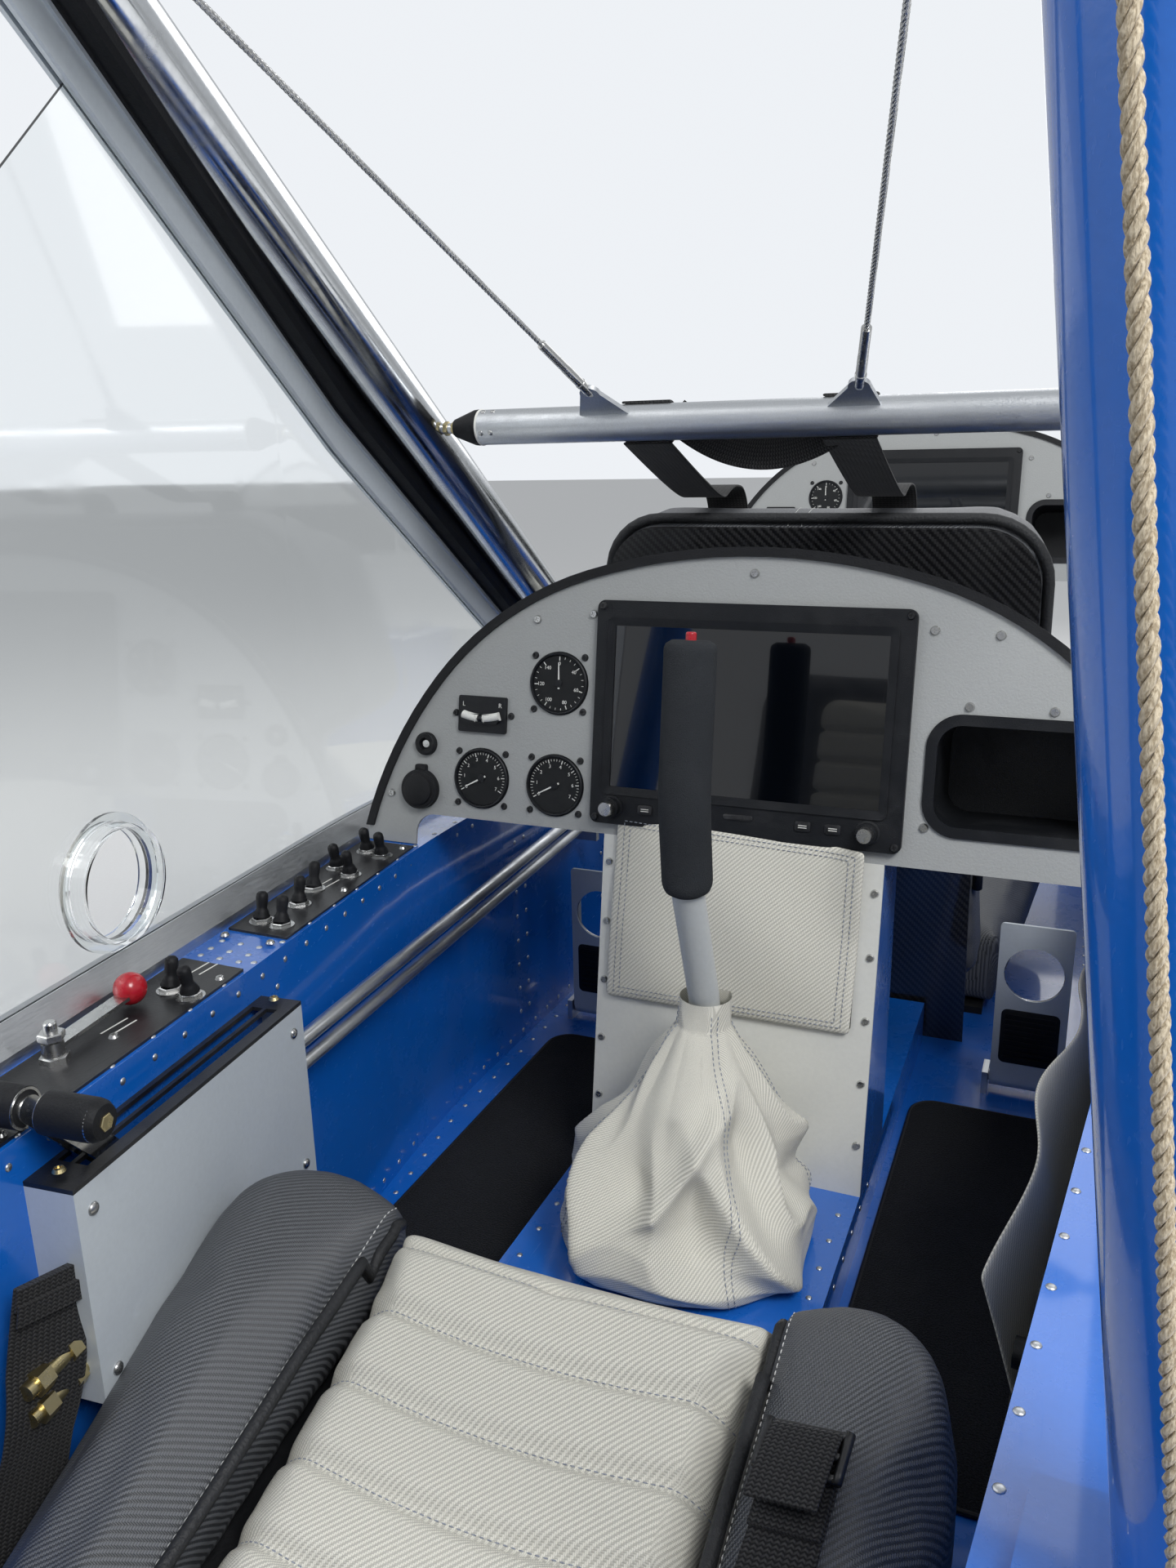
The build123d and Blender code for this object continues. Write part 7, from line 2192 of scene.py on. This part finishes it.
class Pedals:
    """Rubber pads and hole rims on the rudder pedals."""

    def build(self) -> None:
        """Dress each pedal on its own body."""
        for side, name in ((-1, "pedal_left"), (1, "pedal_right")):
            turn = Matrix((Vector((1, 0, 0)), Vector((0, 0, 1)), Vector((0, -1, 0)))).transposed().to_4x4()
            middle = side * 0.242
            pad, rim = Shape(), Shape()
            spot = Matrix.Translation((middle, 0.253, 0.094)) @ turn
            pad.slab(rounded(0.058, 0.062, 0.006, 4), spot, 0.0, 0.0036, 0.001)
            for row in np.arange(-0.024, 0.025, 0.006):
                bar = [(x, y + row) for x, y in rounded(0.050, 0.0030, 0.001, 2)]
                pad.slab(bar, spot, 0.0036, 0.0048, 0.0004)
            settle(sharpen(pad.piece(name + "_pad", RUBBER)), name, "satin_aluminium")
            hole = Vector((middle, 0.2525, 0.166))
            loop = [hole + Vector((0.0302 * math.cos(a), 0, 0.0302 * math.sin(a)))
                    for a in np.linspace(0, 2 * math.pi, 49)]
            rim.tube(loop, 0.0014, 8)
            border = [spot @ Vector((x, y, 0.001)) for x, y in rounded(0.062, 0.066, 0.007, 4)]
            rim.tube(border + border[:1], 0.0014, 8)
            settle(rim.piece(name + "_rims", STEEL), name, "satin_aluminium")
            screws = [(Vector((middle + dx, 0.253, z)), Vector((0, -1, 0))) for dx in (-0.030, 0.030)
                      for z in (0.055, 0.131, 0.206)]
            Fasteners(Head.BUTTON).set(name + "_screws", screws, STEEL, 0.0030, 0.0016, body=name,
                                       segments=14)


class HarnessBar:
    """Cones, rod ends and rivets of the harness bar."""

    axis: Pair = (0.07483, 0.718)

    def build(self) -> None:
        """Dress both ends."""
        cones, ends, lines = Shape(), Shape(), Shape()
        rivets = []
        for side in (-1, 1):
            turn = Matrix.Rotation(side * math.pi / 2, 4, "Y")
            frame = Matrix.Translation((side * 0.278, *self.axis)) @ turn
            cones.lathe([(0.0161, 0.0), (0.0163, 0.003), (0.0160, 0.006), (0.0082, 0.0275),
                         (0.0, 0.0275)], frame, 36)
            lines.lathe([(0.0160, -0.0016), (0.0165, -0.0012), (0.0165, 0.0002), (0.0160, 0.0004)], frame, 36)
            ends.lathe([(0.0050, 0.0270), (0.0062, 0.0275), (0.0062, 0.0310), (0.0044, 0.0315),
                        (0.0044, 0.0350), (0.0066, 0.0355), (0.0066, 0.0395), (0.0, 0.0400)], frame, 6)
            for across in (0.262, 0.272):
                for angle in (200, 120, 60, 300):
                    way = Vector((0, math.cos(math.radians(angle)), math.sin(math.radians(angle))))
                    rivets.append((Vector((side * across, *self.axis)) + way * 0.0158, way))
        settle(sharpen(cones.piece("bar_cones", RUBBER)), "root", "satin_aluminium")
        settle(sharpen(lines.piece("bar_lines", DIAL_MARK)), "root", "satin_aluminium")
        settle(sharpen(ends.piece("bar_rod_ends", BRASS)), "root", "satin_aluminium")
        Fasteners(Head.RIVET).set("bar_rivets", rivets, STEEL, 0.0026, 0.0012, segments=12)


class WindowFrame:
    """Seal and channel that run along the left front strut to the spar."""

    foot: Triple = (-0.345, 0.604, 0.329)
    run: Vector = Vector((0, -0.8057, 0.5923))
    below: Vector = Vector((0, -0.5923, -0.8057))
    seal: tuple[Pair, ...] = ((0.004, 0.0337), (0.018, 0.0337), (0.019, 0.0322), (0.022, 0.0322),
                              (0.023, 0.0337), (0.034, 0.0337), (0.0375, 0.0305), (0.0385, 0.024),
                              (0.0365, 0.014), (0.030, 0.006), (0.010, 0.004), (0.004, 0.010))
    channel: tuple[Pair, ...] = ((0.0005, 0.0338), (0.0165, 0.0338), (0.0165, 0.0372), (0.0142, 0.0380),
                                 (0.0142, 0.0600), (0.0128, 0.0617), (0.0095, 0.0617), (0.0095, 0.0505),
                                 (0.0058, 0.0505), (0.0058, 0.0617), (0.0022, 0.0617), (0.0008, 0.0600))

    def at(self, inset: float, depth: float, share: float) -> Vector:
        """Place by inset from the outer skin, depth below the strut's axis and share of its run."""
        start = Vector((0, *self.foot[1:])) + self.below * depth
        low = (0.356 - start.z) / self.run.z
        high = (1.034 - start.z) / self.run.z
        spot = start + self.run * (low + (high - low) * share)
        return Vector((inset - TUB.outer(spot.y), spot.y, spot.z))

    def build(self) -> None:
        """Make both strips and set the channel's screws."""
        for name, section, finish, node in (("window_gasket", self.seal, RUBBER, "window_seal"),
                                            ("window_track", self.channel, BOX_SHEET, "window_channel")):
            shape = Shape()
            shape.skin([shape.ring(self.at(*corner, share) for corner in section)
                        for share in np.linspace(0, 1, 60)])
            slot = "black_rubber" if finish is RUBBER else "satin_aluminium"
            settle(sharpen(shape.piece(name, finish)), "root", slot, node)
        bracket = Shape()
        for depth in (0.0320, 0.0345):
            bracket.ring([self.at(inset, depth, share) for inset, share in
                          ((0.012, 0.015), (0.036, 0.015), (0.036, 0.14), (0.024, 0.175), (0.012, 0.175))])
        corners = list(bracket.mesh.verts)
        bracket.mesh.faces.new(corners[:5])
        bracket.mesh.faces.new(corners[5:])
        for index in range(5):
            other = (index + 1) % 5
            bracket.mesh.faces.new((corners[index], corners[other], corners[5 + other], corners[5 + index]))
        settle(sharpen(bracket.piece("window_bracket", BLACK)), "root", "black_rubber")
        screws = [(self.at(0.024, 0.0346, share), self.below) for share in (0.045, 0.145)]
        Fasteners(Head.CROSS_SCREW).set("window_screws", screws, STEEL, 0.0036, 0.0018, segments=20)


def main() -> None:
    """Build the scene."""
    logging.basicConfig(level=logging.INFO, format="%(message)s")
    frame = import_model()
    Studio().build()
    dress_nodes(frame)
    dress_tub()
    InstrumentPanel(PANEL, "").build()
    InstrumentPanel(FRONT_PANEL, "_front").build()
    Deck().build()
    Throttle().build()
    Pedals().build()
    HarnessBar().build()
    WindowFrame().build()
    bolsters = SeatCushions().build()
    front_back = SeatBacks().build()
    Harness().build(front_back, bolsters)
    Pockets().build()
    FloorMats().build()
    StickBoot().build()
    StickGrip().build()
    Rigging().build()
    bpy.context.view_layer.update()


if __name__ == "__main__":
    main()
